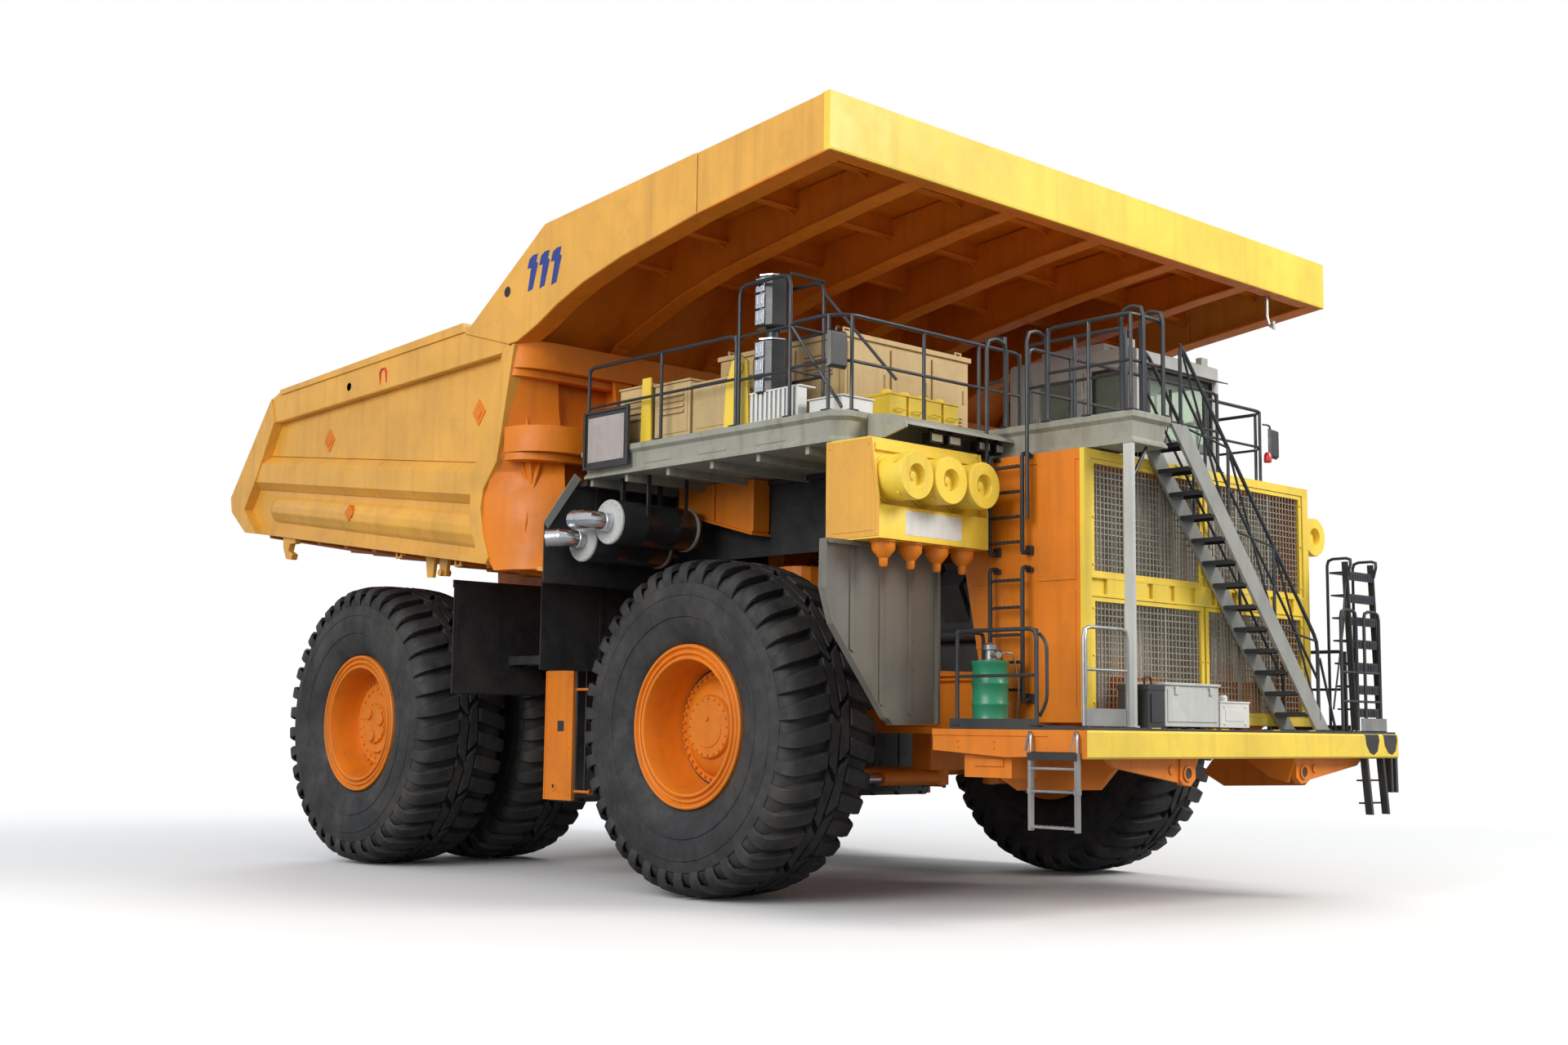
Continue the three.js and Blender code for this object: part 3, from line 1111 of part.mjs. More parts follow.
function bedCanopy() {
  const y0 = CANOPY_FRONT_Y;
  const kneeY = BED_FRONT_Y - 140;
  const kneeZ = LIP_Z + 230;
  const wallTop = SEAM_FRONT_Z - 10 + FIT_GAP;
  const roof = prismX([[y0, CREST_Z], [y0, CREST_Z - 120], [kneeY - 110, kneeZ - 140], [kneeY, kneeZ]],
    -HALF_BED + 100, HALF_BED - 100);
  const slope = prismX(
    [
      [kneeY - 210, kneeZ - 130], [BED_FRONT_Y + 700, wallTop], [BED_FRONT_Y + 950, wallTop],
      [kneeY, kneeZ],
    ],
    -WALL_X + FIT_GAP, WALL_X - FIT_GAP,
  );
  const side = prismX(
    [
      [y0, CREST_Z], [y0, LIP_Z], [y0 + 200, LIP_Z], [y0 + 2150, LIP_Z - 250],
      [y0 + 3530, LIP_Z - 490], [y0 + 4270, LIP_Z - 670], [BED_FRONT_Y - 30, SEAM_FRONT_Z + 160],
      [BED_FRONT_Y + 590, SEAM_FRONT_Z], [BED_FRONT_Y + 1610, SEAM_REAR_Z], [kneeY, kneeZ],
    ],
    WALL_X + 150, HALF_BED,
  );
  const front = box(-HALF_BED, HALF_BED, y0, y0 + 100, LIP_Z, CREST_Z);
  const ribs = [-2, -1, 0, 1, 2].map((i) => prismX(
    [
      [y0 + 70, CREST_Z - 100], [y0 + 70, LIP_Z + 70], [y0 + 2150, LIP_Z - 210],
      [y0 + 3530, LIP_Z - 450], [y0 + 4770, LIP_Z - 760], [BED_FRONT_Y + 550, SEAM_FRONT_Z + 90],
      [BED_FRONT_Y + 750, SEAM_FRONT_Z + 90], [kneeY - 90, kneeZ - 130],
    ],
    (i * HALF_BED) / 3 - 90, (i * HALF_BED) / 3 + 90,
  ));
  const crossRibs = [y0 + 1370, y0 + 2870].map((y) =>
    box(-HALF_BED + 120, HALF_BED - 120, y - 60, y + 60, LIP_Z + 90, LIP_Z + 350));
  return join([roof, slope, ...both(side), front, ...ribs, ...crossRibs]);
}

add('bed_floor', BODY_PAINT, bedFloor());
addPair('bed_side', BODY_PAINT, bedSide());
add('bed_front_wall', BODY_PAINT, bedFrontWall());
add('bed_canopy', BODY_PAINT, bedCanopy());

// ---------------------------------------------------------------- hoist cylinders

const hoistFoot = [HOIST_X, HOIST_FOOT_Y, HOIST_FOOT_Z];
const hoistTop = [HOIST_X, HOIST_TOP_Y, HOIST_TOP_Z];
const hoistLength = Math.hypot(HOIST_LEAN, HOIST_TOP_Z - HOIST_FOOT_Z);
const HOIST_END_PLATE = 70;

function hoistBarrel() {
  const bore = HOIST_STAGE_RADIUS + SLIDING_GAP;
  const half = HOIST_EYE_WIDTH / 2;
  const tube = turnedAlong(
    [
      [170, 0], [170, HOIST_BARREL_RADIUS], [HOIST_BARREL_LENGTH, HOIST_BARREL_RADIUS],
      [HOIST_BARREL_LENGTH, bore], [170 + HOIST_END_PLATE, bore], [170 + HOIST_END_PLATE, 0],
    ],
    hoistFoot, hoistTop,
  );
  const eye = rodX(HOIST_X - half, HOIST_X + half, HOIST_FOOT_Y, HOIST_FOOT_Z, 190, 16);
  const hole = rodX(HOIST_X - half - 50, HOIST_X + half + 50, HOIST_FOOT_Y, HOIST_FOOT_Z,
    boreAround(HOIST_PIN_RADIUS, PIN_SIDES), PIN_SIDES);
  return cut(join([tube, eye]), [hole]);
}

function hoistStage() {
  const bore = HOIST_ROD_RADIUS + SLIDING_GAP;
  const end = HOIST_BARREL_LENGTH + 60;
  return turnedAlong(
    [
      [250, 0], [250, HOIST_STAGE_RADIUS], [end, HOIST_STAGE_RADIUS], [end, bore], [300, bore],
      [300, 0],
    ],
    hoistFoot, hoistTop,
  );
}

function hoistRod() {
  const bar = turnedAlong(
    [[310, 0], [310, HOIST_ROD_RADIUS], [hoistLength - 50, HOIST_ROD_RADIUS], [hoistLength - 50, 0]],
    hoistFoot, hoistTop,
  );
  const eye = rodX(HOIST_X - 120, HOIST_X + 120, HOIST_TOP_Y, HOIST_TOP_Z, 130, 16);
  return join([bar, eye]);
}

addPair('hoist_barrel', DEEP_ORANGE, hoistBarrel());
addPair('hoist_stage', CHROME, hoistStage());
addPair('hoist_rod', CHROME, hoistRod());

export default truck;
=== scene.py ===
import json
import math

import bmesh
import bpy
from mathutils import Matrix, Vector


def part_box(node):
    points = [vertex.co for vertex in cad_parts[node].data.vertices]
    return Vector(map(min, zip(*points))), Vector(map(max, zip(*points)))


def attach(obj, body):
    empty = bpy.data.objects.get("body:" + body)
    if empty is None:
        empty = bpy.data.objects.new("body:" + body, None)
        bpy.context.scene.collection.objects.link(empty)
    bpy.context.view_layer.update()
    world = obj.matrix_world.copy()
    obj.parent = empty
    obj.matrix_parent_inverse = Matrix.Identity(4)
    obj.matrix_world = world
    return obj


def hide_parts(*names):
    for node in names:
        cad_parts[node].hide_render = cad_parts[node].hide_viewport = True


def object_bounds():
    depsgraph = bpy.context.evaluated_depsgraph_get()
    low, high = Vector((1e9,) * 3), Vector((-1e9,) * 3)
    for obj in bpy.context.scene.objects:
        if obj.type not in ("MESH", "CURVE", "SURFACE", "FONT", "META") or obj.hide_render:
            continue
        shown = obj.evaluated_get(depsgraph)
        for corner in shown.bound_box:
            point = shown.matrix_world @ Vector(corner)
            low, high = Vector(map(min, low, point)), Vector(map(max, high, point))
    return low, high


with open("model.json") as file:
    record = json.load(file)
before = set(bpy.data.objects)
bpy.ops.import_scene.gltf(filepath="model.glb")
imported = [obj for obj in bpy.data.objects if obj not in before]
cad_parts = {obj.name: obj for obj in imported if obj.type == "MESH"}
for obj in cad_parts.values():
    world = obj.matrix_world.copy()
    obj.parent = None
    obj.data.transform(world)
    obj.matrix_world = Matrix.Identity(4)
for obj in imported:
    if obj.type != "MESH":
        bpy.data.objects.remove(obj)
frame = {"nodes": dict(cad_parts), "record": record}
cad_low, cad_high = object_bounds()

# Lengths are in metres. Inside this script Y is counted from the front axle, as in the CAD
# model, and every finished piece is then moved to the row's frame by AXLE_Y.
rim_low, rim_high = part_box("front_rim_left")
AXLE_Y = (rim_low.y + rim_high.y) / 2


def span(node):
    """A CAD node's low and high corners, with Y counted from the front axle."""
    low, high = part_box(node)
    shift = Vector((0, AXLE_Y, 0))
    return low - shift, high - shift


# ---------------------------------------------------------------- materials


class Nodes:
    """Short names for making a material's nodes."""

    def __init__(self, name):
        self.material = bpy.data.materials.new(name)
        self.material.use_nodes = True
        self.tree = self.material.node_tree
        self.shader = self.tree.nodes["Principled BSDF"]
        self.place = self.new("ShaderNodeTexCoord").outputs["Object"]

    def new(self, kind, **settings):
        node = self.tree.nodes.new(kind)
        for key, value in settings.items():
            setattr(node, key, value)
        return node

    def link(self, source, target):
        self.tree.links.new(source, target)

    def noise(self, scale, detail=4.0, stretch=(1, 1, 1), rough=0.55):
        mapping = self.new("ShaderNodeMapping")
        mapping.inputs["Scale"].default_value = stretch
        self.link(self.place, mapping.inputs["Vector"])
        node = self.new("ShaderNodeTexNoise")
        node.inputs["Scale"].default_value = scale
        node.inputs["Detail"].default_value = detail
        node.inputs["Roughness"].default_value = rough
        self.link(mapping.outputs["Vector"], node.inputs["Vector"])
        return node.outputs["Fac"]

    def ramp(self, value, low, high, out_low=0.0, out_high=1.0):
        node = self.new("ShaderNodeMapRange")
        for key, number in (("From Min", low), ("From Max", high),
                            ("To Min", out_low), ("To Max", out_high)):
            node.inputs[key].default_value = number
        self.link(value, node.inputs["Value"])
        return node.outputs["Result"]

    def height(self):
        split = self.new("ShaderNodeSeparateXYZ")
        self.link(self.place, split.inputs["Vector"])
        return split.outputs["Z"]

    def mix(self, factor, first, second):
        node = self.new("ShaderNodeMix", data_type="RGBA")
        for value, socket in ((factor, node.inputs[0]), (first, node.inputs[6]),
                              (second, node.inputs[7])):
            if isinstance(value, (tuple, float)):
                socket.default_value = (*value, 1) if isinstance(value, tuple) else value
            else:
                self.link(value, socket)
        return node.outputs[2]

    def times(self, first, second, operation="MULTIPLY"):
        node = self.new("ShaderNodeMath", operation=operation)
        for value, socket in ((first, node.inputs[0]), (second, node.inputs[1])):
            if isinstance(value, float):
                socket.default_value = value
            else:
                self.link(value, socket)
        return node.outputs[0]

    def bump(self, value, strength, distance):
        node = self.new("ShaderNodeBump")
        node.inputs["Strength"].default_value = strength
        node.inputs["Distance"].default_value = distance
        self.link(value, node.inputs["Height"])
        self.link(node.outputs["Normal"], self.shader.inputs["Normal"])


DUST = (0.42, 0.33, 0.22)


def finish(name, colour, roughness=0.45, metallic=0.0, dirt=0.25, grime=(0.05, 0.035, 0.02),
           dust=0.2, grain=60.0, relief=0.15, coat=0.0, scale=1.0):
    """Paint, rubber or metal with mottling, rain streaks, low dust, and uneven gloss."""
    n = Nodes(name)
    shade = tuple(c * 0.82 for c in colour)
    base = n.mix(n.ramp(n.noise(0.9 * scale, 5.0), 0.35, 0.68), colour, shade)
    patches = n.ramp(n.noise(2.3 * scale, 9.0, rough=0.7), 0.52, 0.78)
    streaks = n.ramp(n.noise(6.0 * scale, 5.0, stretch=(1, 1, 0.08)), 0.5, 0.8)
    stains = n.times(n.times(patches, streaks, "MAXIMUM"), dirt)
    base = n.mix(stains, base, grime)
    low = n.ramp(n.height(), 3.2, 0.2)
    powder = n.times(n.times(low, n.ramp(n.noise(3.0 * scale, 8.0), 0.3, 0.7)), dust)
    base = n.mix(powder, base, DUST)
    n.link(base, n.shader.inputs["Base Color"])
    gloss = n.ramp(n.noise(4.0 * scale, 6.0), 0.3, 0.7, roughness - 0.09, roughness + 0.13)
    n.link(gloss, n.shader.inputs["Roughness"])
    n.shader.inputs["Metallic"].default_value = metallic
    n.shader.inputs["Coat Weight"].default_value = coat
    n.shader.inputs["Coat Roughness"].default_value = 0.12
    n.bump(n.noise(grain, 3.0), relief, 0.004)
    return n.material


def rubber(name, colour, dusty):
    """Tyre rubber: fine grain, scuffs, and dry dust that lies in patches."""
    n = Nodes(name)
    scuff = n.ramp(n.noise(3.5, 10.0, rough=0.72), 0.42, 0.72)
    base = n.mix(scuff, colour, tuple(min(1, c * 1.9 + 0.004) for c in colour))
    powder = n.times(n.ramp(n.noise(1.4, 8.0, rough=0.65), 0.46, 0.75), dusty)
    base = n.mix(powder, base, (0.115, 0.1, 0.08))
    n.link(base, n.shader.inputs["Base Color"])
    n.link(n.ramp(n.noise(5.0, 5.0), 0.3, 0.7, 0.55, 0.85), n.shader.inputs["Roughness"])
    n.bump(n.noise(45.0, 6.0), 0.35, 0.006)
    return n.material


def glass(name, colour):
    """Tinted cab glass with a slight film of dust; pale and partly opaque, so that its colour is a painted
    reflection of the sky.
    """
    n = Nodes(name)
    film = n.ramp(n.noise(1.6, 6.0), 0.4, 0.75)
    n.link(n.mix(film, colour, tuple(c * 0.7 + 0.12 for c in colour)), n.shader.inputs["Base Color"])
    n.link(n.ramp(n.noise(3.0, 4.0), 0.3, 0.7, 0.03, 0.12), n.shader.inputs["Roughness"])
    n.shader.inputs["Transmission Weight"].default_value = 0.85
    n.shader.inputs["IOR"].default_value = 1.25
    return n.material


# The body's one paint in three tones: the gold as the sides show it, the orange darker as painted shade for
# undersides, corners and side faces, and the yellow lighter as painted sunlight on front faces.
GOLD = (0.80, 0.40, 0.055)
SHADED_ORANGE = (0.80, 0.215, 0.004)
SUNLIT_YELLOW = (0.93, 0.66, 0.06)
paints = {
    "body_paint": finish("body_paint", GOLD, 0.42, dirt=0.22, coat=0.15),
    "deep_orange": finish("deep_orange", SHADED_ORANGE, 0.5, dirt=0.26, dust=0.07),
    "bright_yellow": finish("bright_yellow", SUNLIT_YELLOW, 0.42, dirt=0.18, coat=0.15),
    "deck_grey": finish("deck_grey", (0.33, 0.33, 0.27), 0.62, dirt=0.45, relief=0.3),
    "cream": finish("cream", (0.60, 0.43, 0.20), 0.5, dirt=0.25),
    "black_paint": finish("black_paint", (0.018, 0.019, 0.021), 0.34, dirt=0.2, dust=0.12,
                          coat=0.25),
    "rail_black": finish("rail_black", (0.035, 0.04, 0.047), 0.4, metallic=0.2, dirt=0.2),
    "tyre_rubber": rubber("tyre_rubber", (0.019, 0.019, 0.02), 0.5),
    "flap_rubber": rubber("flap_rubber", (0.014, 0.014, 0.015), 0.25),
    "chrome": finish("chrome", (0.78, 0.79, 0.82), 0.2, metallic=1.0, dirt=0.12, dust=0.1,
                     relief=0.06),
    "stair_grey": finish("stair_grey", (0.36, 0.36, 0.33), 0.45, metallic=0.25, dirt=0.25),
    "cab_grey": finish("cab_grey", (0.55, 0.56, 0.53), 0.45, dirt=0.22),
    # The cab glass's pale colour is a painted reflection of the sky.
    "cab_glass": glass("cab_glass", (0.78, 0.88, 0.76)),
    "engine_grey": finish("engine_grey", (0.09, 0.095, 0.1), 0.55, metallic=0.5, dirt=0.5),
    "interior": finish("interior", (0.025, 0.025, 0.028), 0.6, grain=160.0, relief=0.3),
    "barrel_green": finish("barrel_green", (0.01, 0.25, 0.12), 0.35, dirt=0.2, coat=0.2),
    "lamp": finish("lamp", (0.85, 0.87, 0.88), 0.12, dirt=0.08, relief=0.02, coat=0.6),
    "beacon_red": finish("beacon_red", (0.65, 0.02, 0.015), 0.2, dirt=0.05, coat=0.6),
    "decal_blue": finish("decal_blue", (0.015, 0.04, 0.25), 0.4, dirt=0.1),
    "mesh_wire": finish("mesh_wire", (0.34, 0.32, 0.26), 0.5, metallic=0.2, dirt=0.2),
    # The fender's glossy black is given a grey base colour, a painted reflection of the sky.
    "fender_gloss": finish("fender_gloss", (0.17, 0.16, 0.135), 0.36, dirt=0.3, dust=0.2, coat=0.4),
    "sheet_grey": finish("sheet_grey", (0.42, 0.38, 0.36), 0.5, dirt=0.3),
    "core_dark": finish("core_dark", (0.02, 0.02, 0.02), 0.7, dirt=0.4),
    # Pale core fins: their light colour is painted light, for the sky seen through the grille.
    "core_fins_painted_light": finish("core_fins_painted_light", (0.62, 0.58, 0.50), 0.5, dirt=0.25),
    "white_paint": finish("white_paint", (0.74, 0.74, 0.70), 0.45, dirt=0.2),
    "bare_steel": finish("bare_steel", (0.42, 0.42, 0.41), 0.38, metallic=0.8, dirt=0.35),
}

for subpart in frame["record"]["subparts"]:
    node = frame["nodes"][subpart["node"]]
    node.data.materials.clear()
    node.data.materials.append(paints[subpart["material_slot"]])

# ---------------------------------------------------------------- shapes


class Shape:
    """Collects faces for one piece. Positions count Y from the front axle."""

    def __init__(self):
        self.mesh = bmesh.new()
        self.solids = 0

    def add(self, points, faces):
        """A solid, drawn in by its own part of a millimetre so that no two faces coincide."""
        self.solids += 1
        draw = 0.00025 * (self.solids % 9)
        points = [Vector(p) for p in points]
        for axis in range(3):
            values = [p[axis] for p in points]
            middle, size = (max(values) + min(values)) / 2, max(values) - min(values)
            if size > 0.012:
                for p in points:
                    p[axis] = middle + (p[axis] - middle) * (1 - 2 * draw / size)
        verts = [self.mesh.verts.new(p) for p in points]
        for face in faces:
            self.mesh.faces.new([verts[i] for i in face])
        return verts

    def box(self, x0, x1, y0, y1, z0, z1, matrix=None):
        corners = [Vector((x, y, z)) for z in (z0, z1) for y in (y0, y1) for x in (x0, x1)]
        if matrix is not None:
            corners = [matrix @ c for c in corners]
        self.add(corners, [(0, 2, 3, 1), (4, 5, 7, 6), (0, 1, 5, 4), (1, 3, 7, 5),
                           (3, 2, 6, 7), (2, 0, 4, 6)])

    def prism(self, outline, axis, start, end):
        """An outline swept along an axis: [y, z] points on x, [x, z] on y, [x, y] on z."""
        area = sum(a[0] * b[1] - b[0] * a[1]
                   for a, b in zip(outline, outline[1:] + outline[:1]))
        if (area > 0) == (axis == "y"):
            outline = outline[::-1]
        place = {"x": lambda p, t: (t, p[0], p[1]), "y": lambda p, t: (p[0], t, p[1]),
                 "z": lambda p, t: (p[0], p[1], t)}[axis]
        n = len(outline)
        points = [place(p, t) for t in (start, end) for p in outline]
        faces = [tuple(range(n))[::-1], tuple(range(n, 2 * n))]
        faces += [(i, (i + 1) % n, n + (i + 1) % n, n + i) for i in range(n)]
        self.add(points, faces)

    def tube(self, path, radius, sides=10, closed=False):
        """A round tube through the points, with mitred bends."""
        path = [Vector(p) for p in path]
        n = len(path)
        rings = []
        side = None
        for i, p in enumerate(path):
            before = path[(i - 1) % n] if closed or i else p
            after = path[(i + 1) % n] if closed or i < n - 1 else p
            a = (p - before).normalized() if p != before else (after - p).normalized()
            b = (after - p).normalized() if p != after else a
            way = (a + b).normalized() if (a + b).length > 1e-6 else a
            if side is None:
                side = way.orthogonal().normalized()
            side = (side - way * side.dot(way)).normalized()
            across = way.cross(side)
            stretch = 1 / max(0.35, way.dot(a))
            bend = (b - a)
            ring = []
            for k in range(sides):
                t = 2 * math.pi * k / sides
                offset = side * math.cos(t) + across * math.sin(t)
                if bend.length > 1e-6:
                    lean = bend.normalized()
                    offset += lean * (stretch - 1) * offset.dot(lean)
                ring.append(self.mesh.verts.new(p + offset * radius))
            rings.append(ring)
        pairs = list(zip(rings, rings[1:] + rings[:1])) if closed else list(zip(rings, rings[1:]))
        for lower, upper in pairs:
            for k in range(sides):
                j = (k + 1) % sides
                self.mesh.faces.new((lower[k], lower[j], upper[j], upper[k]))
        if not closed:
            self.mesh.faces.new(rings[0][::-1])
            self.mesh.faces.new(rings[-1])

    def lathe(self, profile, centre, axis, sides=48):
        """A [distance, radius] profile turned about an axis through centre."""
        way = Vector(axis).normalized()
        side = way.orthogonal().normalized()
        across = way.cross(side)
        centre = Vector(centre)
        rings = []
        for d, r in profile:
            if r < 1e-6:
                rings.append([self.mesh.verts.new(centre + way * d)])
                continue
            rings.append([self.mesh.verts.new(
                centre + way * d + (side * math.cos(2 * math.pi * k / sides)
                                    + across * math.sin(2 * math.pi * k / sides)) * r)
                for k in range(sides)])
        for a, b in zip(rings, rings[1:]):
            for k in range(sides):
                j = (k + 1) % sides
                corners = [a[k % len(a)], a[j % len(a)], b[j % len(b)], b[k % len(b)]]
                unique = list(dict.fromkeys(corners))
                if len(unique) > 2:
                    self.mesh.faces.new(unique)

    def loft(self, *rings):
        """Closed outlines with the same number of points, joined in turn and capped."""
        n = len(rings[0])
        points = [p for ring in rings for p in ring]
        last = len(points) - n
        faces = [tuple(range(n))[::-1], tuple(range(last, last + n))]
        for start in range(0, last, n):
            faces += [(start + k, start + (k + 1) % n, start + n + (k + 1) % n, start + n + k)
                      for k in range(n)]
        self.add(points, faces)

    def slab(self, corners, thickness):
        """A flat or folded plate on the given corner points, thickened on its far side."""
        a, b, c = (Vector(p) for p in corners[:3])
        normal = (b - a).cross(c - b).normalized() * thickness
        n = len(corners)
        points = [Vector(p) for p in corners] + [Vector(p) - normal for p in corners]
        faces = [tuple(range(n)), tuple(range(n, 2 * n))[::-1]]
        faces += [(i, n + i, n + (i + 1) % n, (i + 1) % n) for i in range(n)]
        self.add(points, faces)

    def ring_of(self, count, radius, centre, axis, make):
        """Calls make(position, outward direction) for points round a circle."""
        way = Vector(axis).normalized()
        side = way.orthogonal().normalized()
        across = way.cross(side)
        for k in range(count):
            t = 2 * math.pi * (k + 0.5) / count
            out = side * math.cos(t) + across * math.sin(t)
            make(Vector(centre) + out * radius, out)

    def bolt(self, place, axis, size=0.03, height=0.02):
        """A bolt head with six sides, standing on its place."""
        way = Vector(axis).normalized()
        self.lathe([(-0.004, size), (height, size), (height * 1.15, size * 0.8),
                    (height * 1.15, 0)], place, way, 6)

    def mirror(self):
        """The same shape on the other side of the truck, added to this one."""
        copied = bmesh.ops.duplicate(self.mesh, geom=self.mesh.verts[:] + self.mesh.faces[:])
        verts = [g for g in copied["geom"] if isinstance(g, bmesh.types.BMVert)]
        for v in verts:
            v.co.x = -v.co.x
        faces = [g for g in copied["geom"] if isinstance(g, bmesh.types.BMFace)]
        bmesh.ops.reverse_faces(self.mesh, faces=faces)

    def piece(self, name, paint, body="chassis", replaces=(), bevel=0.0, segments=2, smooth=35):
        """Makes the object, puts it in the row's frame and ties it to its body."""
        bmesh.ops.recalc_face_normals(self.mesh, faces=self.mesh.faces[:])
        bmesh.ops.translate(self.mesh, verts=self.mesh.verts[:], vec=(0, AXLE_Y, 0))
        data = bpy.data.meshes.new(name)
        self.mesh.to_mesh(data)
        self.mesh.free()
        for polygon in data.polygons:
            polygon.use_smooth = True
        data.set_sharp_from_angle(angle=math.radians(smooth))
        data.materials.append(paints[paint])
        piece = bpy.data.objects.new(name, data)
        bpy.context.scene.collection.objects.link(piece)
        if bevel:
            modifier = piece.modifiers.new("edges", "BEVEL")
            modifier.width = bevel
            modifier.segments = segments
            modifier.limit_method = "ANGLE"
            modifier.angle_limit = math.radians(40)
            modifier.harden_normals = True
        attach(piece, body)
        if replaces:
            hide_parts(*replaces)

    def side_piece(self, sign, *names, **settings):
        """A piece built on the left, turned over to the right side where sign is below 0."""
        if sign < 0:
            for v in self.mesh.verts:
                v.co.x = -v.co.x
            bmesh.ops.reverse_faces(self.mesh, faces=self.mesh.faces[:])
        self.piece(*names, **settings)


def both_sides(build):
    """Runs build(side name, sign) for the left (+X) and the right side."""
    build("left", 1)
    build("right", -1)


# ---------------------------------------------------------------- wheels

TYRE_RADIUS = (rim_high.z + rim_low.z) / 2
LUGS = 38
LUG_FILL = 0.62  # share of the pitch that a lug takes at the crown

CARCASS = [(0.545, 0.968), (0.575, 0.985), (0.625, 1.06), (0.672, 1.2), (0.698, 1.36), (0.703, 1.5),
           (0.69, 1.63), (0.68, 1.69), (0.662, 1.698), (0.66, 1.72), (0.645, 1.765), (0.6, 1.83),
           (0.5, 1.875), (0.3, 1.895), (0.0, 1.9)]

# Across the tread: half width, lug's top radius, share of lug width, sweep in pitches.
LUG_STATIONS = [(0.69, 1.7, 0.74, 0.0), (0.696, 1.79, 0.78, 0.0), (0.672, 1.87, 0.84, 0.02),
                (0.61, 1.935, 0.92, 0.06), (0.48, 1.972, 1.0, 0.16), (0.3, 1.991, 1.04, 0.3),
                (0.165, 1.996, 1.0, 0.42)]


def lug(shape, centre_x, y, side, turn, pitch):
    """One bar of the tread, from the sidewall over the shoulder to near the middle."""
    rings = []
    for half, top, width, sweep in LUG_STATIONS:
        reach = pitch * LUG_FILL * width / 2
        middle = turn + sweep * pitch
        base = min(top - 0.03, 1.86)
        ring = []
        for radius, spread in ((base, 1.12), (top, 0.93), (top, -0.93), (base, -1.12)):
            angle = middle + reach * spread
            inset = 0.02 if radius == base and half > 0.6 else 0.0
            ring.append(Vector((centre_x + side * (half - inset), y + radius * math.sin(angle),
                                TYRE_RADIUS + radius * math.cos(angle))))
        rings.append(ring)
    points = [p for ring in rings for p in ring]
    faces = []
    for i in range(len(rings) - 1):
        for k in range(4):
            j = (k + 1) % 4
            faces.append((4 * i + k, 4 * i + j, 4 * i + 4 + j, 4 * i + 4 + k))
    last = 4 * (len(rings) - 1)
    faces += [(3, 2, 1, 0), (last, last + 1, last + 2, last + 3)]
    shape.add(points, faces)


def centre_block(shape, centre_x, y, side, turn, pitch):
    """One of the two rows of blocks in the middle of the tread."""
    points = []
    for x, skew in ((0.012, 0.0), (0.145, 0.2)):
        for radius in (1.87, 1.998):
            for end in (-0.43, 0.43):
                angle = turn + (skew + end) * pitch
                points.append(Vector((centre_x + side * x, y + radius * math.sin(angle),
                                      TYRE_RADIUS + radius * math.cos(angle))))
    shape.add(points, [(0, 1, 3, 2), (4, 6, 7, 5), (0, 4, 5, 1), (2, 3, 7, 6), (0, 2, 6, 4),
                       (1, 5, 7, 3)])


def tyre(node, body):
    low, high = span(node)
    centre_x, y = (low.x + high.x) / 2, (low.y + high.y) / 2
    shape = Shape()
    profile = CARCASS + [(-x, r) for x, r in CARCASS[-2::-1]] + [CARCASS[0]]
    shape.lathe(profile, (centre_x, y, TYRE_RADIUS), (1, 0, 0), 96)
    for band, rise in ((1.30, 0.006), (1.55, 0.005)):
        for side in (1, -1):
            face = 0.695 if band < 1.4 else 0.702
            shape.lathe([(side * (face - 0.02), band - 0.02), (side * (face + rise), band - 0.008),
                         (side * (face + rise), band + 0.008), (side * (face - 0.02), band + 0.02)],
                        (centre_x, y, TYRE_RADIUS), (1, 0, 0), 96)
    pitch = 2 * math.pi / LUGS
    for side in (1, -1):
        for k in range(LUGS):
            turn = (k + (0.5 if side > 0 else 0)) * pitch
            lug(shape, centre_x, y, side, turn, pitch)
            if k % 2:
                centre_block(shape, centre_x, y, side, turn + pitch * 0.75, pitch * 2)
    shape.piece(node + "_tread", "tyre_rubber", body, [node], bevel=0.012, segments=1, smooth=40)


FLANGE = [(0.5, 0.963), (0.553, 0.972), (0.6, 0.966), (0.61, 0.95), (0.606, 0.93), (0.575, 0.918),
          (0.566, 0.905), (0.578, 0.893), (0.596, 0.886), (0.6, 0.872), (0.594, 0.858),
          (0.566, 0.85), (0.56, 0.84), (0.572, 0.83), (0.602, 0.822), (0.606, 0.806),
          (0.6, 0.79), (0.57, 0.778)]


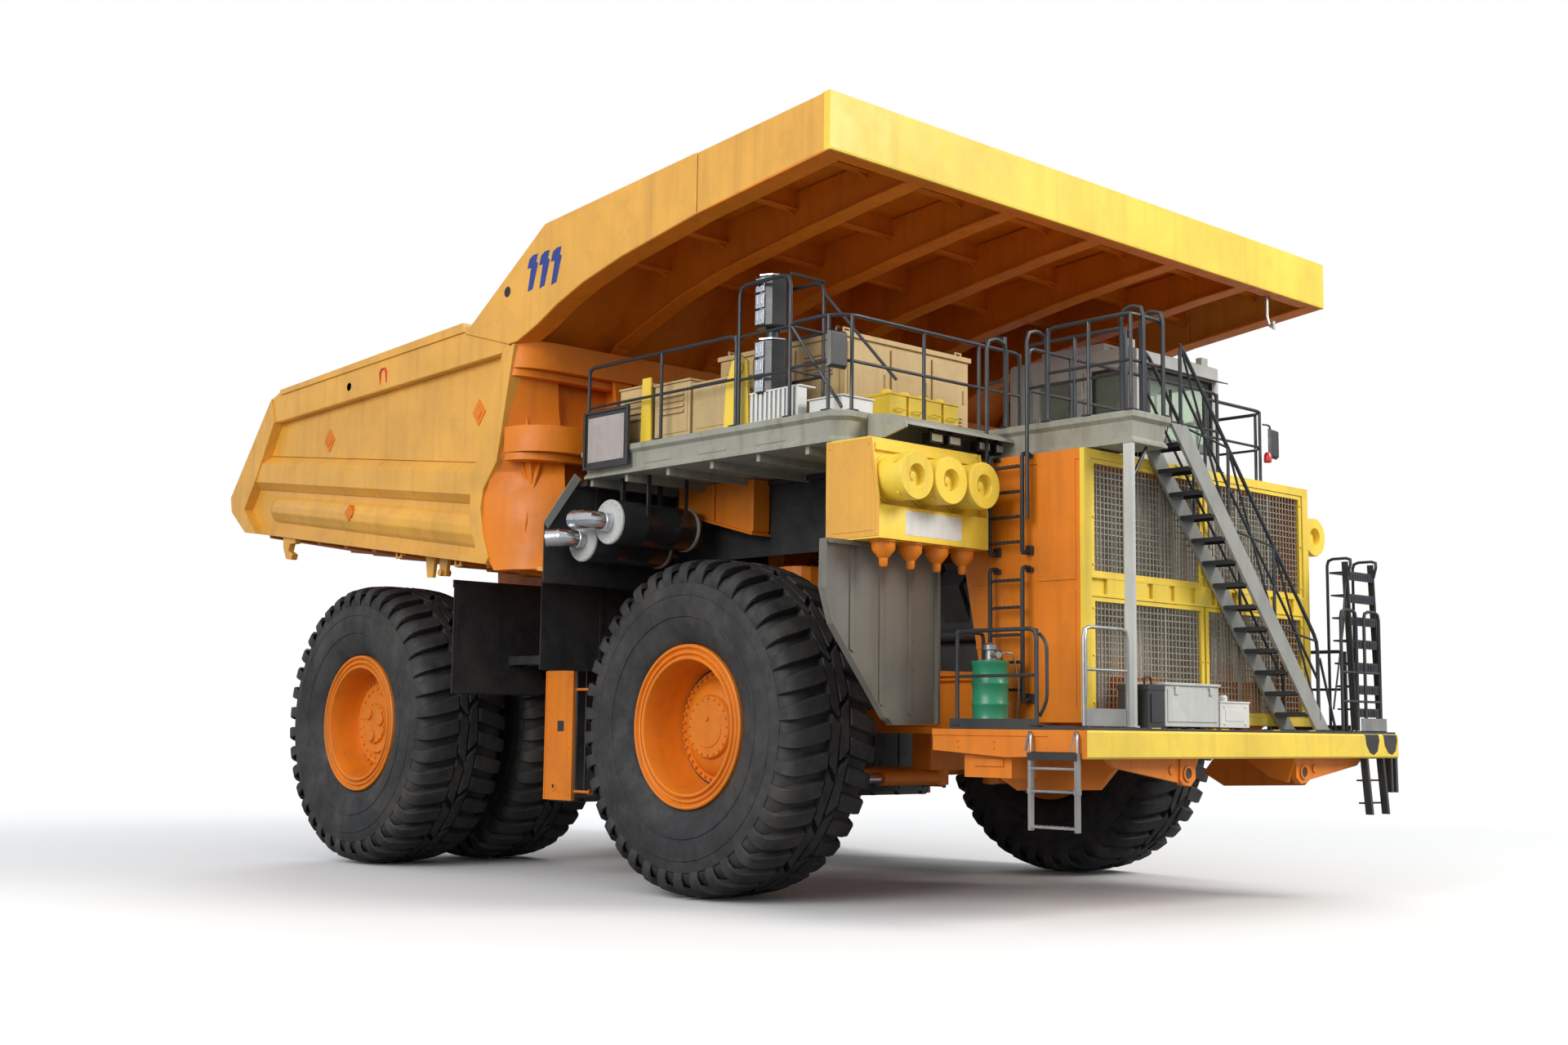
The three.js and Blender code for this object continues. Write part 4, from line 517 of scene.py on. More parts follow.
def rim(node, body, front):
    """The dished wheel: stepped lock rings, the barrel, a ring of studs and the hub."""
    low, high = span(node)
    side = 1 if low.x > 0 else -1
    outer = max(abs(low.x), abs(high.x))
    y = (low.y + high.y) / 2
    base = outer - 0.61
    axis = (side, 0, 0)
    middle = (side * base, y, TYRE_RADIUS)
    if front:
        dish = [(0.4, 0.764), (0.2, 0.748), (0.06, 0.73), (0.02, 0.715), (0.02, 0.69), (0.055, 0.683),
                (0.06, 0.6), (0.1, 0.57), (0.16, 0.5), (0.19, 0.42), (0.2, 0.385), (0.235, 0.372),
                (0.25, 0.36), (0.25, 0.25), (0.262, 0.24), (0.262, 0.0)]
        stud_ring, stud_d = 0.64, 0.06
    else:
        dish = [(0.42, 0.764), (0.25, 0.75), (0.16, 0.735), (0.13, 0.715), (0.13, 0.66), (0.16, 0.65),
                (0.165, 0.6), (0.235, 0.585), (0.25, 0.57), (0.25, 0.43), (0.3, 0.42), (0.3, 0.3),
                (0.335, 0.285), (0.335, 0.0)]
        stud_ring, stud_d = 0.69, 0.13
    reach = base - min(abs(low.x), abs(high.x))
    back = [(-reach + 0.02, 0.7), (-reach, 0.76), (-reach, 0.955), (-reach + 0.05, 0.97),
            (-reach + 0.06, 0.83), (0.45, 0.83)]
    if front:
        back = [(-0.1, 0.0), (-0.1, 0.44), (-0.05, 0.5), (-0.05, 0.72)] + back
    else:
        back = [(0.05, 0.0), (0.05, 0.72), (-0.3, 0.74)] + back
    shape = Shape()
    shape.lathe(back + FLANGE + dish, middle, axis, 96)
    shape.ring_of(40, stud_ring, middle, axis, lambda p, out: shape.bolt(
        p + Vector(axis) * stud_d, axis, 0.019, 0.032))
    if front:
        shape.ring_of(20, 0.335, middle, axis, lambda p, out: shape.bolt(
            p + Vector(axis) * 0.25, axis, 0.014, 0.014))
        shape.bolt(Vector(middle) + Vector((side * 0.262, 0, 0.1)), axis, 0.03, 0.02)
    else:
        shape.ring_of(24, 0.5, middle, axis, lambda p, out: shape.bolt(
            p + Vector(axis) * 0.25, axis, 0.02, 0.02))
        shape.ring_of(3, 0.19, middle, axis, lambda p, out: shape.lathe(
            [(0.33, 0.085), (0.36, 0.085), (0.37, 0.07), (0.37, 0.0)], p, axis, 24))
        shape.ring_of(16, 0.27, middle, axis, lambda p, out: shape.bolt(
            p + Vector(axis) * 0.335, axis, 0.014, 0.014))
    shape.piece(node + "_wheel", "deep_orange", body, [node], smooth=28)
    if front:
        # A thin black ring, painted shade for a dark gap in the front wheel's dish.
        gap_shade = Shape()
        gap_shade.lathe([(0.015, 0.70), (0.015, 0.72), (0.03, 0.722), (0.03, 0.697), (0.015, 0.697)],
                   middle, axis, 96)
        gap_shade.piece(node + "_seal", "core_dark", body)


for side_name in ("left", "right"):
    tyre("front_tyre_" + side_name, "front_wheel_" + side_name)
    tyre("rear_outer_tyre_" + side_name, "rear_wheels_" + side_name)
    tyre("rear_inner_tyre_" + side_name, "rear_wheels_" + side_name)
    rim("front_rim_" + side_name, "front_wheel_" + side_name, True)
    rim("rear_rim_" + side_name, "rear_wheels_" + side_name, False)


# ---------------------------------------------------------------- bed

BED_HALF = cad_high.x
WALL_X = BED_HALF - 0.30
PANEL_X = BED_HALF - 0.15  # the recessed panels of the bed's sides
CREST_Z = cad_high.z
LIP_Z = CREST_Z - 0.65
CANOPY_Y = span("bed_canopy")[0].y
TAIL_Y = span("bed_side_left")[1].y
KNEE = (1.81, 8.24)
RAIL_REAR_TOP = 3.75
RIB_X = (-3.3, -1.65, 0.0, 1.65, 3.3)  # of the ribs under the canopy and on the front wall


def floor_under(y):
    return 4.17 + 0.135 * (y - 4)


def bed_side_panels(side, sign):
    s = Shape()
    s.prism([(2.87, 4.01), (9.55, 4.91), (10.03, 5.27), (10.08, 5.49), (8.87, 6.91), (8.59, 7.0),
             (3.61, 7.24), (3.57, 7.11), (2.55, 6.80), (2.80, 5.4), (3.14, 4.9), (3.0, 4.3)], "x",
            WALL_X + 0.02, PANEL_X)
    s.prism([(2.57, 6.73), (8.76, 6.54), (8.88, 6.92), (8.59, 7.02), (3.60, 7.25), (3.56, 7.11),
             (2.54, 6.81)], "x", WALL_X, BED_HALF - 0.025)
    s.prism([(3.57, 7.13), (8.61, 6.94), (8.62, 7.02), (3.60, 7.26)], "x", WALL_X, BED_HALF)
    s.prism([(8.88, 6.92), (10.09, 5.49), (10.04, 5.26), (9.56, 4.905), (9.20, 4.86),
             (9.62, 5.26), (9.27, 5.72), (8.76, 6.54)], "x", WALL_X, BED_HALF)
    s.prism([(2.40, 6.80), (2.64, 6.76), (2.84, 6.25), (3.06, 5.7), (3.22, 5.28), (3.3, 4.9),
             (3.3, 4.6), (3.12, 4.2), (2.9, 4.02), (2.85, 4.1), (2.98, 4.4), (3.06, 4.75),
             (3.0, 5.0), (2.72, 5.32), (2.66, 5.6)], "x", WALL_X, BED_HALF)
    s.prism([(2.45, 6.78), (2.62, 6.2), (2.72, 5.5), (3.1, 5.4), (2.86, 6.1), (2.70, 6.74)], "x",
            WALL_X, BED_HALF - 0.02)
    s.prism([(2.75, 6.72), (8.70, 6.53), (8.70, 6.60), (2.75, 6.79)], "x", WALL_X, BED_HALF - 0.03)
    belt = []
    for y, top, low in ((3.08, 5.325, 4.86), (9.35, 6.06, 5.62)):
        belt.append([(x, y, z) for x, z in (
            (WALL_X + 0.05, top + 0.03), (PANEL_X, top + 0.03), (BED_HALF - 0.02, top - 0.1),
            (BED_HALF - 0.02, low + 0.06), (PANEL_X + 0.02, low - 0.05),
            (WALL_X + 0.05, low - 0.05))])
    s.loft(*belt)
    ridges = []
    for y, top, low in ((3.0, 4.66, 4.21), (3.08, 4.70, 4.22), (8.72, 5.42, 5.0),
                        (8.9, 5.40, 5.05)):
        end = 0.55 if y in (3.0, 8.9) else 1.0
        ring = [(WALL_X + 0.05, y, top), (PANEL_X - 0.01, y, top)]
        for k in range(1, 12):
            t = k / 12
            step = 0.016 if k % 3 == 0 else 0.0
            ring.append((PANEL_X + end * (0.125 * math.sin(math.pi * t) - step), y,
                         top + (low - top) * t))
        ring += [(PANEL_X - 0.01, y, low), (WALL_X + 0.05, y, low)]
        ridges.append(ring)
    s.loft(*ridges)
    s.prism([(2.88, 4.01), (9.55, 4.905), (9.5, 5.0), (2.9, 4.11)], "x", WALL_X, PANEL_X + 0.03)
    s.prism([(1.98, 3.89), (2.9, 4.01), (2.9, 4.08), (1.98, 3.95)], "x", 4.2, WALL_X)
    # Hook at the rear, the stop's bracket ahead of the wheels, and two small lugs.
    s.prism([(8.22, 4.78), (8.62, 4.82), (8.60, 4.62), (8.50, 4.44), (8.34, 4.42), (8.30, 4.50),
             (8.44, 4.56), (8.40, 4.66), (8.24, 4.66)], "x", WALL_X + 0.04, WALL_X + 0.14)
    for y in (4.45, 4.78):
        s.prism([(y - 0.12, 4.25), (y + 0.12, 4.28), (y + 0.07, 3.98), (y - 0.07, 3.97)],
                "x", WALL_X - 0.12, WALL_X - 0.06)
    s.tube([(WALL_X - 0.17, 4.45, 4.02), (WALL_X, 4.45, 4.02)], 0.045)
    for y in (3.86, 5.35):
        z = floor_under(y)
        s.tube([(WALL_X + 0.08, y - 0.06, z + 0.02), (WALL_X + 0.08, y - 0.06, z - 0.08),
                (WALL_X + 0.08, y + 0.06, z - 0.08), (WALL_X + 0.08, y + 0.06, z + 0.02)], 0.018, 8)
    # Weld beads where the panels meet the belt.
    s.tube([(PANEL_X + 0.002, 3.1, 5.365), (PANEL_X + 0.002, 9.3, 6.095)], 0.012, 6)
    s.side_piece(sign, f"bed_side_{side}_panels", "body_paint", "bed", [f"bed_side_{side}"],
                 bevel=0.018)


def bed_corner(side, sign):
    """The corner that turns in from the side to the front wall, bulging at its foot."""
    corner = []
    for z, y_side, x_front, y_front in ((3.93, 2.75, 4.15, 1.99), (4.1, 2.9, 4.2, 1.98),
                                        (4.5, 3.03, 4.3, 2.0), (4.9, 3.02, 4.3, 2.1),
                                        (5.2, 2.85, 4.25, 2.2), (5.4, 2.72, 4.2, 2.28),
                                        (6.0, 2.60, 4.2, 2.42), (6.8, 2.42, 4.2, 2.5)):
        x_side = BED_HALF - 0.03
        bulge = 0.16 if z < 5 else 0.02
        middle = ((x_side + x_front) / 2 + bulge, (y_side + y_front) / 2 - bulge)
        ring = [(x_side, y_side), ((x_side + middle[0]) / 2 + bulge * 0.3,
                                   (y_side + middle[1]) / 2 - bulge * 0.3), middle,
                ((x_front + middle[0]) / 2 + bulge * 0.2, (y_front + middle[1]) / 2 - bulge * 0.3),
                (x_front, y_front), (x_front, y_front + 0.3), (x_side - 0.25, y_front + 0.3),
                (x_side - 0.25, y_side + 0.2)]
        corner.append([(x, y, z) for x, y in ring])
    knee = Shape()
    knee.loft(*corner)
    knee.tube([(4.70, 2.38, 4.05), (4.74, 2.34, 4.5), (4.62, 2.36, 5.0), (4.5, 2.4, 5.35)], 0.03, 8)
    # The corner in the orange tone: painted shade on faces turned from the light.
    knee.side_piece(sign, f"bed_corner_{side}", "deep_orange", "bed", bevel=0.01)


def bed_marks(side, sign):
    """The diamonds, the handle and the holes on the outside of the bed's side."""
    marks = Shape()
    for y, z, size in ((3.37, 6.05, 0.15), (7.28, 6.11, 0.15)):
        marks.prism([(y - size, z), (y, z - size * 1.2), (y + size, z), (y, z + size * 1.2)],
                    "x", PANEL_X - 0.01, PANEL_X + 0.012)
        marks.prism([(y - size * 0.5, z), (y, z - size * 0.6), (y + size * 0.5, z),
                     (y, z + size * 0.6)], "x", PANEL_X, PANEL_X + 0.022)
    marks.prism([(6.30, 4.95), (6.42, 4.84), (6.54, 4.97), (6.42, 5.08)], "x", PANEL_X + 0.05,
                BED_HALF - 0.012)
    marks.side_piece(sign, f"bed_diamonds_{side}", "deep_orange", "bed", bevel=0.004)

    handle = Shape()
    face = BED_HALF - 0.03
    handle.tube([(face, 5.54, 6.72), (face + 0.015, 5.54, 6.88), (face + 0.015, 5.58, 6.93),
                 (face + 0.015, 5.66, 6.93), (face + 0.015, 5.70, 6.88), (face, 5.70, 6.71)],
                0.014, 8)
    handle.side_piece(sign, f"bed_handle_{side}", "beacon_red", "bed")

    # The holes are dark discs: painted shade for their insides.
    holes = Shape()
    for y, z in ((6.57, 6.80), (2.59, 7.50)):
        x = BED_HALF - (0.03 if z < 7 else 0.005)
        holes.lathe([(-0.02, 0.0), (-0.02, 0.07), (0.003, 0.07), (0.0045, 0.06), (0.0045, 0.0)],
                    (x, y, z), (1, 0, 0), 24)
    holes.side_piece(sign, f"bed_holes_{side}", "core_dark", "bed")


def bed_side(side, sign):
    bed_side_panels(side, sign)
    bed_corner(side, sign)
    bed_marks(side, sign)


# The side plates' lower edge, and the seam across them.
LOW_EDGE = [(2.54, 6.81), (2.35, 6.82), (1.92, 6.97), (1.51, 7.16), (1.00, 7.34), (0.26, 7.52)]
SEAM_Y, SEAM_LOW, SEAM_TOP = -1.12, 7.76, 8.482


def canopy_sides():
    s = Shape()
    outer = BED_HALF - 0.003
    s.prism([(SEAM_Y + 0.004, SEAM_LOW), (SEAM_Y + 0.004, SEAM_TOP), KNEE, (3.56, 7.10)]
            + LOW_EDGE, "x", PANEL_X, outer)
    s.prism([(CANOPY_Y + 0.08, LIP_Z), (CANOPY_Y + 0.08, CREST_Z - 0.006),
             (SEAM_Y - 0.004, SEAM_TOP - 0.006), (SEAM_Y - 0.004, SEAM_LOW + 0.004),
             (-3.0, 8.0)], "x", PANEL_X, outer - 0.006)
    s.mirror()
    s.piece("canopy_sides", "body_paint", "bed", bevel=0.014)


def canopy_shell():
    s = Shape()
    # The side plates' inner flanges follow their lower edges.
    edge = [(-3.2, LIP_Z)] + [(SEAM_Y, SEAM_LOW)] + LOW_EDGE[::-1]
    for (y0, z0), (y1, z1) in zip(edge, edge[1:]):
        s.prism([(y0, z0 - 0.004), (y1, z1 - 0.004), (y1, z1 + 0.03), (y0, z0 + 0.03)], "x",
                PANEL_X - 0.16, BED_HALF - 0.012)
    s.mirror()
    w = PANEL_X
    s.prism([(CANOPY_Y + 0.06, CREST_Z - 0.02), (CANOPY_Y + 0.06, CREST_Z - 0.07),
             (1.70, 8.13), (1.8, 8.20)], "x", -w, w)
    s.prism([(1.60, 8.11), (2.66, 6.80), (2.86, 6.80), (2.02, 7.96), (1.8, 8.20)], "x", -WALL_X,
            WALL_X)
    flange = [(CANOPY_Y + 0.07, 8.10), (-2.2, 7.99), (-1.12, 7.84), (0.26, 7.62), (1.0, 7.44),
              (1.5, 7.27), (1.92, 7.12), (2.30, 6.98), (2.44, 6.86)]
    for x in RIB_X:
        s.prism([(y, z + 0.005) for y, z in ((CANOPY_Y + 0.07, 8.55), (1.75, 8.14), (2.7, 6.9))]
                + flange[::-1], "x", x - 0.045, x + 0.045)
        for (y0, z0), (y1, z1) in zip(flange, flange[1:]):
            s.prism([(y0, z0 - 0.018), (y1 + 0.01, z1 - 0.018), (y1 + 0.01, z1 + 0.012),
                     (y0, z0 + 0.012)], "x", x - 0.13, x + 0.13)
    stations = [-PANEL_X + 0.02, *RIB_X, PANEL_X - 0.02]
    for y, deep in ((-2.25, 0.27), (-1.05, 0.36), (0.2, 0.42), (1.3, 0.5)):
        top = CREST_Z - 0.06 + (KNEE[1] - CREST_Z) * (y - CANOPY_Y) / (KNEE[0] - CANOPY_Y)
        for x0, x1 in zip(stations, stations[1:]):
            middle = (x0 + x1) / 2
            s.prism([(x0, top), (x0, top - deep), (x0 + 0.25, top - deep + 0.09),
                     (middle, top - deep + 0.12), (x1 - 0.25, top - deep + 0.09),
                     (x1, top - deep), (x1, top)], "y", y - 0.02, y + 0.02)
            s.box(x0, x1, y - 0.07, y + 0.07, top - deep + 0.085, top - deep + 0.11)
    s.box(-BED_HALF + 0.02, BED_HALF - 0.02, CANOPY_Y + 0.02, CANOPY_Y + 0.22, LIP_Z, LIP_Z + 0.02)
    # The canopy's underside in the orange tone: painted shade.
    s.piece("canopy_shell", "deep_orange", "bed", ["bed_canopy"], bevel=0.014)


def canopy_roof():
    s = Shape()
    # The roof's top sheet with its stiffening bars, and the inside of the front wall.
    s.prism([(CANOPY_Y + 0.06, CREST_Z - 0.003), (CANOPY_Y + 0.06, CREST_Z - 0.02),
             (1.80, 8.20), (2.03, 7.97), (2.87, 6.85), (2.882, 6.85), (1.81, 8.237)], "x",
            -PANEL_X + 0.004, PANEL_X - 0.004)
    for x in RIB_X:
        s.slab([(x - 0.06, -2.6, 8.59), (x + 0.06, -2.6, 8.59), (x + 0.06, 1.6, 8.27),
                (x - 0.06, 1.6, 8.27)], 0.05)
    # The load space's lining: the floor plate and the front wall's inner face.
    kick = TAIL_Y - 0.6
    s.prism([(2.4, floor_under(2.4) + 0.19), (kick, floor_under(kick) + 0.18),
             (kick, floor_under(kick) + 0.206), (2.4, floor_under(2.4) + 0.208)], "x",
            -WALL_X + 0.002, WALL_X - 0.002)
    s.prism([(2.38, 4.0), (2.422, 4.0), (2.897, 6.88), (2.85, 6.88)], "x", -WALL_X + 0.002,
            WALL_X - 0.002)
    s.piece("canopy_roof", "body_paint", "bed", bevel=0.006)


def canopy_front():
    front = Shape()
    front.box(-BED_HALF, BED_HALF, CANOPY_Y, CANOPY_Y + 0.06, LIP_Z + 0.02, CREST_Z)
    front.box(-BED_HALF, BED_HALF, CANOPY_Y, CANOPY_Y + 0.05, LIP_Z + 0.004, LIP_Z + 0.03)
    front.box(-BED_HALF, BED_HALF, CANOPY_Y, CANOPY_Y + 0.12, CREST_Z - 0.03, CREST_Z)
    for x in (-BED_HALF, BED_HALF - 0.03):
        front.box(x, x + 0.03, CANOPY_Y, CANOPY_Y + 0.1, LIP_Z, CREST_Z)
    # The front plate in the yellow tone: painted sunlight.
    front.piece("canopy_front_plate", "bright_yellow", "bed", bevel=0.012)

    hook = Shape()
    x = 3.72
    hook.tube([(x, -3.1, LIP_Z + 0.05), (x, -3.1, 7.72), (x, -3.13, 7.6), (x, -3.2, 7.55),
               (x, -3.2, 7.64)], 0.022, 8)
    hook.lathe([(0, 0.05), (0.03, 0.05), (0.03, 0)], (x, -3.1, LIP_Z - 0.02), (0, 0, 1), 12)
    hook.piece("canopy_hooks", "bare_steel", "bed")


def canopy_stripes():
    stripes = Shape()
    for k in range(3):
        y, z = 2.14 - 0.25 * k, 7.42
        x0, x1 = BED_HALF - 0.02, BED_HALF - 0.0005
        stripes.prism([(y, z), (y - 0.06, z + 0.3), (y + 0.02, z + 0.3), (y - 0.02, z + 0.42),
                       (y - 0.10, z + 0.46), (y - 0.20, z + 0.46), (y - 0.17, z + 0.36),
                       (y - 0.21, z + 0.34), (y - 0.11, z + 0.02)], "x", x0, x1)
    stripes.mirror()
    stripes.piece("canopy_stripes", "decal_blue", "bed")


def canopy():
    canopy_sides()
    canopy_shell()
    canopy_roof()
    canopy_front()
    canopy_stripes()


def rounded_front(half, front, back, corner):
    """A band's plan: straight across the front, curved round both corners to the sides."""
    depth = min(corner, back - front - 0.01)
    curve = [(half - corner + corner * math.sin(a), front + depth - depth * math.cos(a))
             for a in (math.radians(15 * k) for k in range(7))]
    return [(half, back)] + curve[::-1] + [(-x, y) for x, y in curve] + [(-half, back)]


def front_wall():
    s = Shape()
    s.prism([(2.18, 3.95), (2.40, 3.98), (2.88, 6.80), (2.66, 6.80)], "x", -WALL_X, WALL_X)
    edge = BED_HALF - 0.035
    for low, high, reach, back in ((6.50, 6.86, 2.22, 2.5), (6.40, 6.50, 2.34, 2.5),
                                   (5.42, 5.76, 1.99, 2.62), (5.32, 5.42, 2.12, 2.6)):
        s.prism(rounded_front(edge, reach, back, 0.6), "z", low, high)
    for x in RIB_X:
        s.prism([(2.0, 4.4), (2.25, 4.22), (2.5, 4.6), (2.8, 6.8), (2.44, 6.88), (2.3, 6.6),
                 (2.12, 5.5), (2.0, 5.0)], "x", x - 0.05, x + 0.05)
        s.prism([(1.96, 4.4), (2.03, 4.4), (2.15, 5.5), (2.34, 6.6), (2.48, 6.9), (2.40, 6.9),
                 (2.28, 6.6), (2.08, 5.5), (1.96, 5.0)], "x", x - 0.15, x + 0.15)
    s.piece("front_wall_bands", "deep_orange", "bed", ["bed_front_wall"], bevel=0.016)


def bed_floor():
    s = Shape()
    front, kick = 1.97, TAIL_Y - 0.53
    w = WALL_X - 0.0003
    s.prism([(front, floor_under(front)), (kick, floor_under(kick)), (TAIL_Y - 0.06, 5.24),
             (TAIL_Y - 0.15, 5.42), (kick - 0.08, floor_under(kick) + 0.19),
             (front, floor_under(front) + 0.2)], "x", -w, w)
    for y in (2.65, 3.3, 4.62, 5.4, 6.2, 7.0, 7.8, 8.6, 9.3):
        z = floor_under(y)
        s.prism([(-w, z + 0.02), (-w + 0.02, z - 0.06), (-3.2, z - 0.15), (3.2, z - 0.15),
                 (w - 0.02, z - 0.06), (w, z + 0.02)], "y", y - 0.05, y + 0.05)
        s.box(-3.2, 3.2, y - 0.1, y + 0.1, z - 0.17, z - 0.14)
    web = [(2.16, 3.62), (7.95, RAIL_REAR_TOP + 0.01), (7.95, floor_under(7.95) + 0.02),
           (2.16, floor_under(2.16) + 0.02)]
    for x0, x1 in ((0.6, 0.64), (-0.64, -0.6), (1.11, 1.15), (-1.15, -1.11)):
        s.prism(web, "x", x0, x1)
    for sign in (-1, 1):
        s.prism([(2.16, 3.62), (7.95, RAIL_REAR_TOP + 0.01), (7.95, RAIL_REAR_TOP + 0.05),
                 (2.16, 3.66)], "x", sign * 0.875 - 0.275, sign * 0.875 + 0.275)
    for sign in (-1, 1):
        for x in (1.41, 1.73):
            s.prism([(3.72, 3.72), (3.98, 3.72), (4.11, 4.24), (3.59, 4.18)], "x", sign * x,
                    sign * (x + 0.06))
            s.lathe([(0, 0.12), (0.02, 0.12), (0.02, 0)],
                    (sign * (1.41 if x < 1.5 else 1.79), 3.85, 3.85),
                    (sign * (-1 if x < 1.5 else 1), 0, 0), 20)
        s.prism([(8.22, 3.3), (8.29, 3.08), (8.59, 3.08), (8.66, 3.3), (8.79, 4.79), (7.99, 4.75)],
                "x", sign * 0.6, sign * 0.7995)
        s.lathe([(0, 0.2), (0.03, 0.2), (0.03, 0.0)], (sign * 0.6, 8.44, 3.3), (-sign, 0, 0), 24)
    s.piece("floor_structure", "deep_orange", "bed", ["bed_floor"], bevel=0.01)


both_sides(bed_side)
canopy()
front_wall()
bed_floor()

# ---------------------------------------------------------------- decks and handrails

deck_low, deck_high = span("deck_right")
DECK_TOP, DECK_BOTTOM = deck_high.z, deck_low.z
DECK_HALF = -deck_low.x
DECK_FRONT, DECK_REAR = deck_low.y, deck_high.y
RAIL_TOP = DECK_TOP + 1.06
TUBE = 0.023
# Side view of the shroud that runs forward from each deck, over the air cleaners.
SHROUD = [(-2.79, 5.41), (-3.12, 5.37), (-3.34, 5.27), (-3.36, 5.23), (-3.1, 5.30), (-2.79, 5.33)]
DECK_LIGHT_X = (-3.15, -2.85, -2.35, -2.05, 2.85, 3.15, 3.6)


def inset(outline, distance):
    """The outline with every side moved inwards; the outline runs anticlockwise."""
    area = sum(a[0] * b[1] - b[0] * a[1] for a, b in zip(outline, outline[1:] + outline[:1]))
    distance *= 1 if area > 0 else -1
    moved = []
    n = len(outline)
    for i in range(n):
        before, here, after = (Vector(outline[(i + k) % n]) for k in (-1, 0, 1))
        a = (here - before).normalized()
        b = (after - here).normalized()
        corner = Vector((-a.y - b.y, a.x + b.x))
        moved.append(tuple(here + corner * (distance / max(0.2, 1 + a.dot(b)))))
    return moved


def fascia(shape, outline, top, bottom):
    """A deck: a top plate with an overhang, a sloping fascia and a lower flange."""
    levels = [(top, 0.012), (top - 0.012, 0.0), (top - 0.07, 0.0), (top - 0.11, 0.045),
              (bottom + 0.07, 0.06), (bottom + 0.03, 0.03), (bottom, 0.03)]
    shape.loft(*([(x, y, z) for x, y in inset(outline, d)] for z, d in levels[::-1]))


def deck_beams(shape, x0, x1):
    for y in (-2.2, -1.4, -0.6, 0.2, 1.0, 1.7):
        shape.box(x0, x1, y - 0.03, y + 0.03, DECK_BOTTOM - 0.09, DECK_BOTTOM + 0.01)


def deck_grip(shape, x0, x1, start, count):
    """Raised bars across a deck, one every 0.2 m."""
    for k in range(count):
        y = start + 0.2 * k
        shape.box(x0, x1, y, y + 0.02, DECK_TOP - 0.004, DECK_TOP + 0.004)


def decks():
    w = DECK_HALF
    right = Shape()
    fascia(right, [(-w, DECK_REAR), (-w, DECK_FRONT + 0.18), (-w + 0.18, DECK_FRONT),
                   (-1.0, DECK_FRONT), (-1.0, DECK_REAR)], DECK_TOP, DECK_BOTTOM)
    deck_beams(right, -w + 0.1, -1.1)
    deck_grip(right, -w + 0.12, -1.06, DECK_FRONT + 0.2, 22)
    # Shroud that runs forward over the air cleaner.
    right.prism(SHROUD, "x", -3.85, -1.65)
    for x in (-3.86, -1.68):
        right.prism([(-2.79, 5.41), (-3.34, 5.28), (-3.37, 5.2), (-3.05, 5.12), (-2.79, 5.10)],
                    "x", x, x + 0.03)
    for y in (-1.9, -0.9, 0.1, 1.1):
        right.box(-w + 0.05, -w + 0.062, y, y + 0.5, DECK_BOTTOM + 0.09, DECK_TOP - 0.13)
    right.piece("deck_right_plates", "deck_grey", replaces=["deck_right"], bevel=0.008)

    left = Shape()
    fascia(left, [(-2.1, -5.02), (-1.4, -5.02), (-1.4, -4.52), (-1.45, -4.52), (-1.45, -3.1),
                  (2.6, -3.1), (2.6, DECK_FRONT), (w - 0.18, DECK_FRONT), (w, DECK_FRONT + 0.18),
                  (w, DECK_REAR), (-0.99, DECK_REAR), (-0.99, DECK_FRONT - 0.01),
                  (-2.1, DECK_FRONT - 0.01)], DECK_TOP, DECK_BOTTOM)
    deck_beams(left, -0.9, w - 0.1)
    deck_grip(left, -0.93, w - 0.12, DECK_FRONT + 0.2, 22)
    deck_grip(left, -2.04, -1.5, -4.95, 11)
    left.prism(SHROUD, "x", 2.65, 3.85)
    left.piece("deck_left_plates", "deck_grey", replaces=["deck_left"], bevel=0.008)

    lights = Shape()
    for x in DECK_LIGHT_X:
        lights.box(x - 0.1, x + 0.1, -3.16, -3.03, 5.13, 5.24)
        lights.box(x - 0.02, x + 0.02, -3.12, -3.06, 5.23, 5.3)
        lights.box(x - 0.115, x + 0.115, -3.17, -3.14, 5.12, 5.25)
    lights.piece("deck_light_cases", "black_paint", bevel=0.01)
    lenses = Shape()
    for x in DECK_LIGHT_X:
        lenses.loft([(x - 0.09, -3.165, 5.14), (x + 0.09, -3.165, 5.14), (x + 0.09, -3.165, 5.23),
                     (x - 0.09, -3.165, 5.23)],
                    [(x - 0.075, -3.18, 5.155), (x + 0.075, -3.18, 5.155),
                     (x + 0.075, -3.18, 5.215), (x - 0.075, -3.18, 5.215)])
    lenses.piece("deck_light_lenses", "lamp", bevel=0.004)


def handrail(shape, points, floor, top, mid=True, ends=True):
    """Posts with foot plates, a bent top rail that runs down at both ends, and a mid rail."""
    path = [(x, y, top) for x, y in points]
    if ends:
        path = [(*points[0], floor)] + path + [(*points[-1], floor)]
    shape.tube(rounded(path, 0.09), TUBE)
    for x, y in points:
        shape.tube([(x, y, floor - 0.005), (x, y, top)], TUBE * 0.95, 8)
        shape.box(x - 0.06, x + 0.06, y - 0.06, y + 0.06, floor - 0.002, floor + 0.012)
    if mid:
        level = floor + (top - floor) * 0.52
        shape.tube([(x, y, level) for x, y in points], TUBE * 0.8, 8)


def rounded(path, radius):
    """The path with each corner replaced by three points of a bend."""
    path = [Vector(p) for p in path]
    smooth = [path[0]]
    for before, here, after in zip(path, path[1:], path[2:]):
        reach = min(radius, (before - here).length * 0.45, (after - here).length * 0.45)
        a = here + (before - here).normalized() * reach
        b = here + (after - here).normalized() * reach
        smooth += [a, (a + b) / 4 + here / 2, b]
    smooth.append(path[-1])
    return smooth


